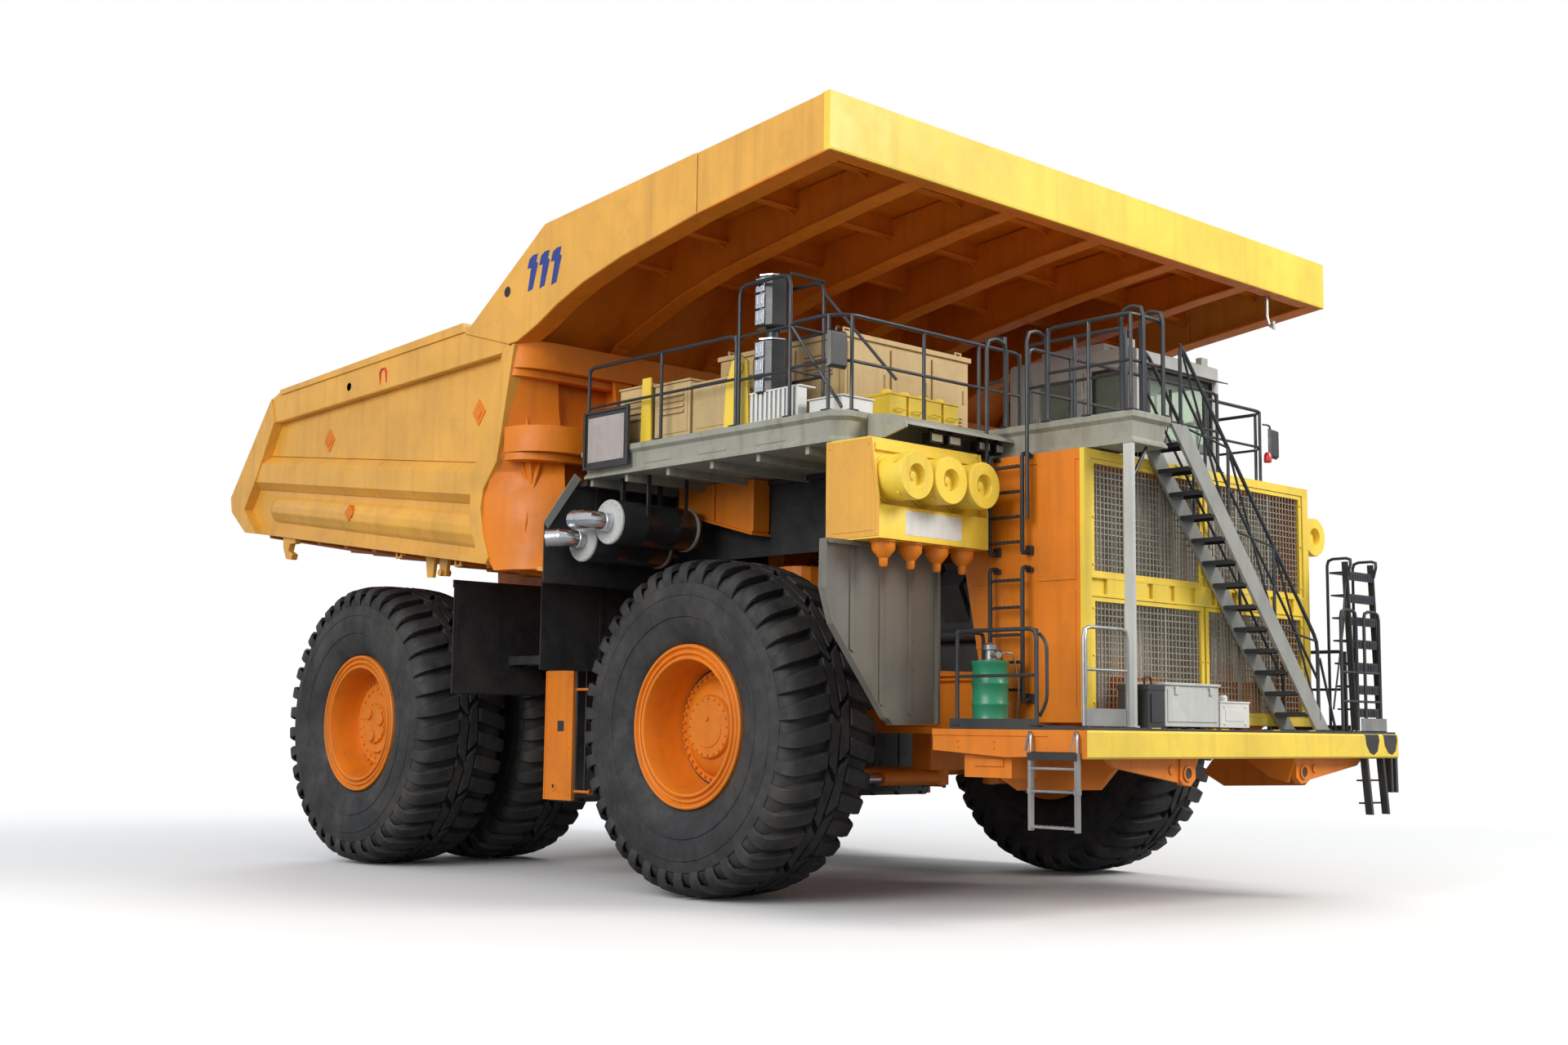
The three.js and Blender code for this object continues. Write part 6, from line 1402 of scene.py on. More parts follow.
def stairs():
    s = Shape()
    for y in (STAIR_NEAR, STAIR_FAR - 0.04):
        s.prism([(STAIR_FOOT_X, STAIR_FOOT_Z), (1.78, STAIR_FOOT_Z), (-1.10, STAIR_TOP_Z),
                 (STAIR_TOP_X, STAIR_TOP_Z)], "y", y, y + 0.012)
        for dx in (0.0, 0.285):
            s.prism([(STAIR_FOOT_X + dx, STAIR_FOOT_Z), (1.495 + dx, STAIR_FOOT_Z),
                     (-1.385 + dx, STAIR_TOP_Z), (STAIR_TOP_X + dx, STAIR_TOP_Z)],
                    "y", y, y + 0.04)
        s.box(1.46, 1.8, y, y + 0.04, STAIR_FOOT_Z, 2.065)
        for k in range(STAIR_TREADS):
            middle, z = stair_place((k + 0.8) / 13.6)
            for dx in (-0.06, 0.06):
                x = middle + dx
                face = y if y == STAIR_NEAR else y + 0.012
                s.bolt((x, face + (0.0045 if y == STAIR_NEAR else -0.004), z),
                       (0, -1 if y == STAIR_NEAR else 1, 0), 0.014, 0.003)
    s.piece("stair_stringers", "stair_grey", replaces=["front_stairs"], bevel=0.004)

    treads = Shape()
    for k in range(STAIR_TREADS):
        x, z = stair_place((k + 0.8) / 13.6)
        y0, y1 = STAIR_NEAR + 0.015, STAIR_FAR - 0.042
        treads.box(x - 0.14, x + 0.14, y0, y1, z - 0.006, z + 0.006)
        for edge in (x - 0.14, x + 0.13):
            treads.box(edge, edge + 0.01, y0, y1, z - 0.045, z + 0.008)
        for n in range(5):
            at = x - 0.11 + 0.055 * n
            for m in range(9):
                y = y0 + 0.03 + (y1 - y0 - 0.06) * m / 8
                treads.box(at - 0.012, at + 0.012, y - 0.008, y + 0.008, z + 0.004, z + 0.012)
    treads.piece("stair_treads", "rail_black", bevel=0.002, segments=1)

    rails = Shape()

    def at(t, lift, y):
        x, z = stair_place(t)
        return Vector((x, y, z + lift))

    for y, braced in ((STAIR_NEAR + 0.02, True), (STAIR_FAR - 0.02, False)):
        ends = [0.02, 0.34, 0.66, 0.98]
        path = [at(ends[0], 0.05, y), at(ends[0], 0.98, y), at(ends[-1], 0.98, y),
                at(ends[-1], 0.05, y)]
        rails.tube(rounded(path, 0.12), 0.022)
        for t in ends[1:3]:
            rails.tube([at(t, 0.03, y), at(t, 0.98, y)], 0.019, 8)
        rails.tube([at(ends[0], 0.52, y), at(ends[-1], 0.52, y)], 0.016, 8)
        if braced:
            for a, b in zip(ends, ends[1:]):
                rails.tube([at(a, 0.98, y), at(b, 0.06, y)], 0.014, 8)
                rails.tube([at(a, 0.06, y), at(b, 0.98, y)], 0.014, 8)
                rails.bolt(at((a + b) / 2, 0.52, y), (0, -1, 0), 0.03, 0.018)
        for t in ends:
            rails.box(at(t, 0, y).x - 0.04, at(t, 0, y).x + 0.04, y - 0.012, y + 0.012,
                      at(t, 0, y).z - 0.02, at(t, 0, y).z + 0.12)
    rails.tube([(1.95, STAIR_NEAR + 0.02, 2.06), (1.62, STAIR_NEAR + 0.02, 2.9)], 0.016, 8)
    rails.piece("stair_rails", "rail_black")


radiator()
grille()
side_ladder()
stairs()

# ---------------------------------------------------------------- bumper and its platform

HALF_BUMPER = -span("front_bumper")[0].x
BUMPER_FRONT = span("front_bumper")[0].y
BUMPER_LOW, BUMPER_HIGH = 1.72, 2.01
TREAD = 2.05
BARREL_X, BARREL_Y = -2.79, -3.62


def bumper():
    w = HALF_BUMPER
    s = Shape()
    f = BUMPER_FRONT + 0.004
    s.loft(*([(x, f, BUMPER_LOW + 0.02), (x, f + 0.02, BUMPER_LOW), (x, f + 0.46, BUMPER_LOW),
              (x, f + 0.46, BUMPER_HIGH), (x, f + 0.02, BUMPER_HIGH), (x, f, BUMPER_HIGH - 0.02)]
             for x in (-w + 0.004, w - 0.004)))
    for x in (-1.95, 1.95):
        s.box(x - 0.16, x + 0.16, f, f + 0.02, BUMPER_LOW + 0.02, BUMPER_HIGH - 0.02)
        for dx in (-0.1, 0.1):
            for z in (BUMPER_LOW + 0.09, BUMPER_HIGH - 0.09):
                s.bolt((x + dx, f + 0.004, z), (0, -1, 0), 0.018, 0.003)
    for x0, x1 in ((-2.0, -1.72), (-0.75, -0.45), (0.35, 0.7), (1.2, 1.45)):
        s.box(x0, x1, f + 0.1, f + 0.45, BUMPER_HIGH, BUMPER_HIGH + 0.035)
    s.piece("bumper_beam", "bright_yellow", replaces=["front_bumper"], bevel=0.012)

    under = Shape()
    rear = -3.09
    for sign in (-1, 1):
        # Plates on the beam's ends in the orange tone: painted shade on its side faces.
        under.prism([(f + 0.012, BUMPER_LOW), (f + 0.5, BUMPER_LOW), (f + 0.5, BUMPER_HIGH),
                     (f + 0.012, BUMPER_HIGH)], "x", sign * (w - 0.02), sign * w)
        under.prism([(f + 0.44, BUMPER_LOW + 0.02), (-4.1, BUMPER_LOW), (rear, BUMPER_LOW + 0.06),
                     (rear, BUMPER_HIGH), (f + 0.44, BUMPER_HIGH)], "x", sign * (w - 0.26),
                    sign * (w - 0.012))
        under.prism([(f + 0.44, BUMPER_HIGH - 0.07), (rear, BUMPER_HIGH - 0.07),
                     (rear, BUMPER_HIGH), (f + 0.44, BUMPER_HIGH)], "x", sign * (w - 0.3), sign * w)
        for y in (-4.45, -3.95, -3.45):
            for z in (BUMPER_LOW + 0.1, BUMPER_HIGH - 0.12):
                under.bolt((sign * (w - 0.013), y, z), (sign, 0, 0), 0.018, 0.01)
        # Box and guard plates hung under the side beams.
        under.box(sign * (w - 0.55), sign * (w - 0.12), -4.1, -3.45, 1.5, 1.8)
        under.box(sign * (w - 0.56), sign * (w - 0.1), -4.0, -3.6, 1.62, 1.70)
        under.prism([(-4.85, 1.74), (-3.3, 1.74), (-3.1, 1.5), (-3.4, 1.34), (-4.5, 1.38)], "x",
                    sign * 2.0, sign * 2.08)
        # Tow lug: a gusset plate with a hole, and its stiffener.
        under.prism([(sign * x, z) for x, z in (
            (1.02, 1.73), (1.30, 1.73), (1.32, 1.50), (1.26, 1.44), (1.12, 1.42), (1.02, 1.50))],
            "y", f + 0.16, f + 0.24)
        under.prism([(sign * 1.3, 1.73), (sign * 2.6, 1.73), (sign * 2.45, 1.63), (sign * 1.3, 1.46)],
                    "y", f + 0.18, f + 0.24)
        under.lathe([(0, 0.06), (0.0, 0.085), (0.018, 0.085), (0.018, 0.06), (0, 0.06)],
                    (sign * 1.18, f + 0.16, 1.56), (0, -1, 0), 24)
        under.lathe([(0, 0.0), (0.0, 0.05), (0.014, 0.05), (0.014, 0.0)],
                    (sign * 1.45, f + 0.18, 1.60), (0, -1, 0), 20)
        under.prism([(f + 0.14, 1.74), (f + 0.26, 1.44), (f + 0.5, 1.5), (-4.3, 1.74)], "x",
                    sign * 0.98, sign * 1.04)
    under.box(-w + 0.05, w - 0.05, rear - 0.26, rear, BUMPER_LOW + 0.06, BUMPER_HIGH)
    under.box(-w + 0.1, w - 0.1, f + 0.4, -4.30, BUMPER_HIGH - 0.1, BUMPER_HIGH)
    for x in (-2.2, -1.5, -0.5, 0.5, 1.5, 2.2):
        under.box(x - 0.04, x + 0.04, f + 0.44, -4.3, BUMPER_LOW + 0.04, BUMPER_HIGH)
    under.piece("bumper_frame", "deep_orange", bevel=0.01)

    # Dark discs in the tow lugs' holes and dark fills in the step pockets: painted shade for their insides.
    holes = Shape()
    for sign in (-1, 1):
        holes.lathe([(-0.01, 0.0), (-0.01, 0.062), (0.004, 0.062), (0.004, 0.0)],
                    (sign * 1.18, f + 0.16, 1.56), (0, -1, 0), 24)
    # Step pockets in the left end of the beam, open at the top.
    for x0 in (2.32, 2.76):
        pocket = [(x0, 2.006), (x0 + 0.33, 2.006), (x0 + 0.35, 1.93), (x0 + 0.30, 1.80),
                  (x0 + 0.21, 1.755), (x0 + 0.11, 1.78), (x0 + 0.03, 1.87)]
        holes.prism(pocket, "y", f - 0.002, f + 0.3)
    holes.piece("bumper_pockets", "interior", bevel=0.01)


PLATFORM_FRONT = BUMPER_FRONT + 0.02
PLATFORM_EDGE = HALF_BUMPER - 0.04  # the rails at the platform's ends
PLATFORM_RAIL = TREAD + 1.0


def platform_plates():
    w, f = HALF_BUMPER, PLATFORM_FRONT
    plates = Shape()
    for sign in (-1, 1):
        plates.box(sign * (w - 0.78), sign * w, -4.54, -3.34, BUMPER_HIGH + 0.0003, TREAD)
        for k in range(9):
            y = -4.48 + 0.13 * k
            plates.box(sign * (w - 0.74), sign * (w - 0.04), y, y + 0.025, TREAD - 0.004, TREAD + 0.005)
        plates.box(sign * (w - 0.012), sign * w, -4.54, -3.34, TREAD - 0.02, TREAD + 0.07)
    plates.box(-w, w, f + 0.02, -4.52, BUMPER_HIGH + 0.0003, TREAD - 0.012)
    for k in range(24):
        x = -w + 0.1 + 0.26 * k
        plates.box(x, x + 0.05, f + 0.05, -4.56, TREAD - 0.015, TREAD - 0.003)
    plates.piece("platform_plates", "rail_black", replaces=["bumper_platform"], bevel=0.004)


def platform_cage(tubes):
    """The cage round the grease barrel."""
    edge, top = PLATFORM_EDGE, PLATFORM_RAIL
    handrail(tubes, [(-edge, -3.42), (-edge, -4.5)], TREAD, top)
    tubes.tube(rounded([(-edge, -3.42, top), (-edge + 0.5, -3.36, top),
                        (-edge + 0.5, -3.36, TREAD)], 0.06), 0.02)
    tubes.tube(rounded([(-edge + 0.05, -4.5, TREAD + 0.1), (-edge + 0.02, -4.62, TREAD + 0.25),
                        (-edge + 0.02, -4.62, top - 0.15), (-edge + 0.05, -4.5, top - 0.05)], 0.08),
               0.018)


def platform_left_rails(tubes):
    edge, top, f = PLATFORM_EDGE, PLATFORM_RAIL, PLATFORM_FRONT
    handrail(tubes, [(edge, -3.4), (edge, -4.5)], TREAD, top)
    for x in (1.95, 2.5):
        tubes.tube(rounded([(x, f + 0.06, TREAD), (x, f + 0.06, 3.5), (x + 0.36, f + 0.06, 3.5),
                            (x + 0.36, f + 0.06, TREAD)], 0.1), 0.02)
    tubes.tube([(1.95, f + 0.06, 2.75), (2.86, f + 0.06, 2.75)], 0.016, 8)
    tubes.tube([(1.95, f + 0.06, 2.4), (2.86, f + 0.06, 2.4)], 0.016, 8)


def stepped_ladder(tubes):
    """The ladder on the left, from the platform up beside the grille."""
    x0, x1, y = 2.40, 3.02, -4.98
    for x in (x0, x1):
        tubes.prism([(y - 0.06, TREAD), (y + 0.02, TREAD), (y + 0.1, 4.12), (y + 0.02, 4.12)], "x",
                    x - 0.015, x + 0.015)
        tubes.tube(rounded([(x, y + 0.02, 3.95), (x, y - 0.04, 4.16), (x, y + 0.3, 4.16),
                            (x, y + 0.3, TREAD)], 0.08), 0.018)
    for k in range(7):
        z = TREAD + 0.26 + 0.28 * k
        dy = 0.08 * (z - TREAD) / 2.05
        tubes.box(x0, x1, y - 0.05 + dy, y + 0.2 + dy, z - 0.012, z + 0.012)
        tubes.box(x0, x1, y - 0.055 + dy, y - 0.045 + dy, z - 0.1, z + 0.012)
        for n in range(9):
            x = x0 + 0.05 + 0.062 * n
            tubes.box(x, x + 0.02, y - 0.062 + dy, y - 0.05 + dy, z - 0.085, z - 0.01)
    tubes.tube([(2.2, y, 3.3), (x0, y + 0.05, 3.9)], 0.012, 8)
    tubes.tube([(1.95, y, 2.3), (x0, y + 0.04, 3.7)], 0.012, 8)
    tubes.tube([(-2.04, -4.9, 4.6), (-1.7, -4.9, 5.06)], 0.02, 8)


def low_ladders(tubes):
    """The ladders on the left, hung from the bumper."""
    f = PLATFORM_FRONT
    for a, b, low in (((2.38, 2.77), (2.52, 2.91), 1.04), ((3.0, 3.12), (3.02, 3.13), 1.30)):
        for k in (0, 1):
            tubes.slab([(a[k] - 0.02, f + 0.1, 1.95), (a[k] + 0.03, f + 0.1, 1.95),
                        (b[k] + 0.03, f + 0.1, low), (b[k] - 0.02, f + 0.1, low)], 0.09)
        for t in (0.25, 0.55, 0.85):
            z = 1.95 + (low - 1.95) * t
            tubes.box(a[0] + (b[0] - a[0]) * t, a[1] + (b[1] - a[1]) * t, f + 0.1, f + 0.19,
                      z - 0.012, z + 0.012)


def platform_tubes():
    tubes = Shape()
    platform_cage(tubes)
    platform_left_rails(tubes)
    stepped_ladder(tubes)
    low_ladders(tubes)
    post = Shape()
    post.box(-2.07, -2.02, -4.98, -4.86, TREAD - 0.01, 5.068)
    post.box(-2.09, -1.99, -4.99, -4.88, TREAD - 0.01, TREAD + 0.012)
    post.piece("landing_post", "cab_grey", bevel=0.004)
    tubes.piece("platform_tubes", "rail_black", bevel=0.003, segments=1)


def gate_and_ladder():
    edge, top, f = PLATFORM_EDGE, PLATFORM_RAIL, PLATFORM_FRONT
    silver = Shape()
    # Gate at the front right corner, with its kick plate.
    y = f + 0.06
    silver.tube(rounded([(-edge, y, TREAD), (-edge, y, top), (-2.36, y, top), (-2.36, y, TREAD)],
                        0.1), 0.02)
    silver.tube([(-edge, y, 2.62), (-2.36, y, 2.62)], 0.016, 8)
    silver.tube(rounded([(-edge + 0.02, y, 2.2), (-edge, y - 0.03, 2.35),
                         (-edge, y - 0.03, 2.95), (-edge + 0.04, y, 3.04)], 0.06), 0.014)
    silver.box(-edge + 0.03, -2.39, y - 0.008, y + 0.008, TREAD, TREAD + 0.18)
    silver.box(2.35, 2.95, y - 0.03, y - 0.015, TREAD - 0.005, TREAD + 0.15)
    # Aluminium ladder on the right end.
    x = -HALF_BUMPER - 0.045
    for yy in (-5.08, -4.49):
        silver.box(x - 0.03, x + 0.03, yy - 0.022, yy + 0.022, 0.99, 1.78)
        silver.box(x - 0.036, x + 0.036, yy - 0.028, yy + 0.028, 1.36, 1.42)
        silver.tube(rounded([(x, yy, 1.74), (x, yy, 1.95), (x + 0.06, yy + 0.06, 2.0),
                             (x + 0.06, yy + 0.12, 1.8)], 0.06), 0.018)
    for z in (1.03, 1.39, 1.62):
        silver.box(x - 0.03, x + 0.03, -5.08, -4.49, z - 0.015, z + 0.015)
        for t in range(8):
            yy = -5.02 + 0.065 * t
            silver.box(x - 0.028, x + 0.028, yy, yy + 0.02, z + 0.013, z + 0.02)
    silver.piece("platform_gate_and_ladder", "bare_steel", bevel=0.004, segments=1)
    step = Shape()
    step.box(x - 0.045, x + 0.06, -5.1, -4.47, 1.70, 1.78)
    for t in range(9):
        yy = -5.05 + 0.065 * t
        step.box(x - 0.04, x + 0.05, yy, yy + 0.02, 1.777, 1.787)
    step.piece("ladder_step", "black_paint", bevel=0.008)


def platform_boxes():
    """The boxes that stand before the grille."""
    f = PLATFORM_FRONT
    case = Shape()
    case.box(-1.95, -1.66, f + 0.1, -4.68, TREAD - 0.01, 2.5)
    case.box(-1.96, -1.65, f + 0.09, -4.67, 2.44, 2.5)
    case.tube(rounded([(-1.87, f + 0.2, 2.5), (-1.87, f + 0.2, 2.58), (-1.75, f + 0.2, 2.58),
                       (-1.75, f + 0.2, 2.5)], 0.03), 0.012, 8)
    case.box(-1.9, -1.7, f + 0.088, f + 0.1, 2.1, 2.4)
    case.piece("battery_case", "black_paint", bevel=0.012)
    locker = Shape()
    locker.box(-1.64, -0.63, f + 0.1, -4.68, TREAD + 0.01, 2.5)
    locker.box(-1.66, -0.61, f + 0.08, -4.66, 2.5, 2.53)
    locker.box(-1.6, -0.67, f + 0.09, f + 0.1, TREAD + 0.06, 2.46)
    for xx in (-1.45, -0.8):
        locker.box(xx - 0.03, xx + 0.03, f + 0.07, f + 0.09, 2.40, 2.49)
    for xx in (-1.5, -1.15, -0.8):
        locker.box(xx - 0.03, xx + 0.03, f + 0.2, f + 0.4, TREAD - 0.01, TREAD + 0.02)
    locker.piece("platform_locker", "cab_grey", bevel=0.01)
    small = Shape()
    small.box(-0.6, -0.02, f + 0.1, -4.68, TREAD + 0.01, 2.33)
    small.box(-0.61, -0.01, f + 0.09, -4.67, 2.33, 2.35)
    for xx in (-0.52, -0.1):
        small.bolt((xx, f + 0.1, 2.1), (0, -1, 0), 0.016, 0.01)
        small.bolt((xx, f + 0.1, 2.29), (0, -1, 0), 0.016, 0.01)
    small.box(-0.5, -0.12, f + 0.095, f + 0.1, 2.13, 2.26)
    small.lathe([(0, 0.05), (0.05, 0.05), (0.07, 0.035), (0.07, 0.0)], (-0.3, -4.9, 2.35), (0, 0, 1),
                18)
    small.piece("small_locker", "white_paint", bevel=0.01)


def grease_barrel():
    barrel = Shape()
    base = TREAD + 0.001
    barrel.lathe([(0, 0), (0, 0.202), (0.02, 0.208), (0.04, 0.195), (0.2, 0.195), (0.215, 0.204),
                  (0.235, 0.204), (0.25, 0.195), (0.42, 0.195), (0.435, 0.204), (0.455, 0.204),
                  (0.47, 0.195), (0.64, 0.195), (0.66, 0.207), (0.685, 0.207), (0.69, 0.19),
                  (0.67, 0.175), (0.67, 0)], (BARREL_X, BARREL_Y, base), (0, 0, 1), 48)
    barrel.piece("grease_barrel_drum", "barrel_green", replaces=["grease_barrel"])
    pump = Shape()
    pump.lathe([(0.66, 0), (0.66, 0.09), (0.7, 0.09), (0.71, 0.06), (0.80, 0.055), (0.81, 0.08),
                (0.86, 0.08), (0.88, 0.05), (0.889, 0)], (BARREL_X, BARREL_Y, base), (0, 0, 1), 24)
    pump.lathe([(0, 0.03), (0.16, 0.03), (0.17, 0.02), (0.17, 0)], (BARREL_X, BARREL_Y, base + 0.75),
               (-0.4, -0.9, 0), 16)
    pump.lathe([(0, 0.035), (0.03, 0.035), (0.03, 0)], (-2.86, -3.78, base + 0.75), (-0.4, -0.9, 0),
               16)
    pump.tube(rounded([(-2.70, -3.62, base + 0.8), (-2.6, -3.6, base + 0.84),
                       (-2.5, -3.58, base + 0.5), (-2.48, -3.5, base + 0.05)], 0.1), 0.014, 8)
    pump.tube(rounded([(-2.72, -3.68, base + 0.76), (-2.58, -3.76, base + 0.8),
                       (-2.5, -3.78, base + 0.4), (-2.46, -3.7, base + 0.04)], 0.1), 0.01, 8)
    pump.piece("grease_pump", "bare_steel")


def platform():
    platform_plates()
    platform_tubes()
    gate_and_ladder()
    platform_boxes()
    grease_barrel()


bumper()
platform()

# ---------------------------------------------------------------- air cleaners and fenders


def air_cleaner(side, sign):
    s = Shape()
    x0, x1 = 2.5, 4.25
    s.box(x0, x1, -3.20, -2.55, 4.32, 5.069)
    s.prism([(-3.35, 3.98), (-2.6, 3.98), (-2.6, 4.34), (-3.33, 4.34), (-3.35, 4.30)], "x", x0, x1)
    for x in (x0, x1 - 0.012):
        s.prism([(-3.35, 4.0), (-2.55, 4.0), (-2.55, 5.06), (-3.24, 5.06), (-3.35, 4.4)], "x", x,
                x + 0.012)
    for x in (x0 + 0.12, (x0 + x1) / 2, x1 - 0.12):
        for z in (4.04, 4.28):
            s.bolt((x, -3.35, z), (0, -1, 0), 0.014, 0.0005)
    for x in (2.88, 3.42, 3.96):
        s.lathe([(0, 0.262), (0.03, 0.262), (0.03, 0.25), (0.34, 0.25), (0.34, 0.258),
                 (0.405, 0.258), (0.42, 0.25), (0.42, 0.125), (0.40, 0.115), (0.34, 0.11),
                 (0.335, 0.0)], (x, -3.20, 4.64), (0, -1, 0), 48)
        s.lathe([(0.33, 0.05), (0.36, 0.045), (0.37, 0.0)], (x, -3.20, 4.64), (0, -1, 0), 16)
        for a in (0.6, 2.2, 3.9, 5.4):
            place = Vector((x + 0.25 * math.cos(a), -3.5, 4.64 + 0.25 * math.sin(a)))
            out = Vector((math.cos(a), 0, math.sin(a)))
            s.lathe([(0, 0.022), (0.016, 0.022), (0.016, 0)], place, out, 8)
    s.box(2.55, 4.2, -3.24, -3.19, 4.93, 5.0)
    s.side_piece(sign, f"air_cleaner_{side}_housing", "bright_yellow", replaces=[f"air_cleaner_{side}"],
            bevel=0.008)
    # A plate on the housing's outer end in the gold tone, darker than the yellow front: painted shade on
    # the side face.
    cheek = Shape()
    cheek.prism([(-3.348, 4.0), (-2.56, 4.0), (-2.56, 5.05), (-3.235, 5.05), (-3.348, 4.4)], "x",
                x1 - 0.002, x1 + 0.006)
    cheek.prism([(-3.3, 4.06), (-2.66, 4.06), (-2.66, 4.9), (-3.22, 4.9), (-3.3, 4.42)], "x",
                x1 + 0.004, x1 + 0.012)
    for y, z in ((-3.3, 4.03), (-2.6, 4.03), (-2.6, 4.98), (-3.2, 4.98)):
        cheek.bolt((x1 + 0.006, y, z), (1, 0, 0), 0.012, 0.008)
    cheek.side_piece(sign, f"air_cleaner_{side}_cheek", "body_paint", bevel=0.003)
    cups = Shape()
    for x in (2.75, 3.17, 3.59, 4.01):
        cups.lathe([(0, 0.0), (0, 0.15), (-0.02, 0.15), (-0.03, 0.13), (-0.1, 0.125),
                    (-0.17, 0.07), (-0.19, 0.05), (-0.26, 0.045), (-0.28, 0.03), (-0.28, 0)],
                   (x, -3.18, 3.98), (0, 0, 1), 28)
        for a in (0.3, 1.9, 3.4, 5.0):
            cups.bolt((x + 0.135 * math.cos(a), -3.18 + 0.135 * math.sin(a), 3.962), (0, 0, -1),
                      0.012, 0.012)
    cups.side_piece(sign, f"air_cleaner_{side}_cups", "deep_orange")
    plate = Shape()
    plate.box(2.95, 3.85, -3.352, -3.345, 4.04, 4.30)
    for x in (2.99, 3.81):
        for z in (4.07, 4.27):
            plate.bolt((x, -3.352, z), (0, -1, 0), 0.011, 0.005)
    plate.side_piece(sign, f"air_cleaner_{side}_plate", "white_paint", bevel=0.003)


def fender(side, sign):
    s = Shape()
    curve = [(4.64, 3.97), (4.65, 3.45), (4.52, 3.08), (3.72, 2.12), (3.62, 2.06), (2.87, 2.06)]
    s.prism([(2.87, 3.97)] + curve, "y", -2.9, -2.875)
    for (xa, za), (xb, zb) in zip(curve, curve[1:]):
        s.loft([(xa, -2.955, za), (xa, -2.855, za), (xa - 0.02, -2.855, za - 0.02),
                (xa - 0.02, -2.955, za - 0.02)],
               [(xb, -2.955, zb), (xb, -2.855, zb), (xb - 0.02, -2.855, zb),
                (xb - 0.02, -2.955, zb)])
    for x in (3.3, 3.75, 4.2):
        low = 2.14 if x < 3.7 else 2.2 + (x - 3.72) * 1.25
        s.prism([(x - 0.03, 3.9), (x - 0.03, low), (x + 0.03, low + 0.03), (x + 0.03, 3.9)], "y",
                -2.915, -2.88)
    s.box(2.9, 4.6, -2.95, -2.86, 3.93, 3.9797)
    s.box(2.85, 2.89, -2.955, -2.85, 2.06, 3.97)
    for x in (3.0, 3.5, 4.0, 4.5):
        s.bolt((x, -2.95, 3.955), (0, -1, 0), 0.016, 0.008)
    # The plate's grey colour is a painted reflection of the sky on black gloss paint.
    s.side_piece(sign, f"fender_{side}_plate", "fender_gloss", replaces=[f"fender_{side}"], bevel=0.006)


both_sides(air_cleaner)
both_sides(fender)

# ---------------------------------------------------------------- silencers, tanks, flaps


def mufflers():
    """Two drums across the truck, with plated pipes that leave their outer ends and turn back."""
    cans, ends, pipes = Shape(), Shape(), Shape()
    drums = ((1.08, 4.47, Vector((-4.6, 1.50, 4.51))), (1.61, 4.29, Vector((-4.79, 1.80, 4.28))))
    for y, z, tip in drums:
        centre = (-4.4, y, z)
        cans.lathe([(0.03, 0.0), (0.03, 0.262), (0.06, 0.272), (0.4, 0.272), (0.41, 0.275),
                    (0.45, 0.275), (0.46, 0.27), (0.9, 0.27), (0.91, 0.275), (0.95, 0.275),
                    (0.96, 0.27), (1.26, 0.27), (1.3, 0.25), (1.3, 0.0)], centre, (1, 0, 0), 56)
        cans.lathe([(1.28, 0.0), (1.28, 0.12), (1.5, 0.12), (1.5, 0.0)], centre, (1, 0, 0), 28)
        ends.lathe([(0.04, 0.0), (0.04, 0.275), (0.015, 0.275), (0.0, 0.262), (0.012, 0.235),
                    (0.012, 0.15), (0.0, 0.14), (0.0, 0.0)], centre, (1, 0, 0), 56)
        ends.lathe([(1.20, 0.25), (1.20, 0.276), (1.24, 0.276), (1.24, 0.25)], centre, (1, 0, 0), 56)
        ends.ring_of(16, 0.245, (-4.392, y, z), (-1, 0, 0),
                     lambda p, out: ends.bolt(p, (-1, 0, 0), 0.011, 0.009))
        turn = Vector((-4.63, y + 0.02, z + 0.01))
        bend = rounded([(-4.36, y, z), turn, tip], 0.2)
        pipes.tube(bend, 0.111, 32)
        for k in range(4):
            pipes.lathe([(0, 0.1), (0.008, 0.12), (0.016, 0.1)], (-4.41 - 0.025 * k, y, z),
                        (-1, 0, 0), 32)
        way = (tip - turn).normalized()
        pipes.lathe([(-0.17, 0.1), (-0.17, 0.117), (-0.14, 0.117), (-0.14, 0.1)], tip, way, 32)
        pipes.lathe([(-0.03, 0.09), (-0.03, 0.115), (0.004, 0.115), (0.004, 0.09),
                     (-0.03, 0.09)], tip, way, 32)
    for x in (-4.0, -3.4):
        for y, z, tip in drums:
            for side in (-0.25, 0.25):
                cans.box(x, x + 0.05, y + side - 0.012, y + side + 0.012, z, DECK_BOTTOM - 0.001)
    cans.piece("muffler_cans", "black_paint", replaces=["mufflers"])
    ends.piece("muffler_ends", "cab_grey")
    pipes.piece("muffler_pipes", "chrome")


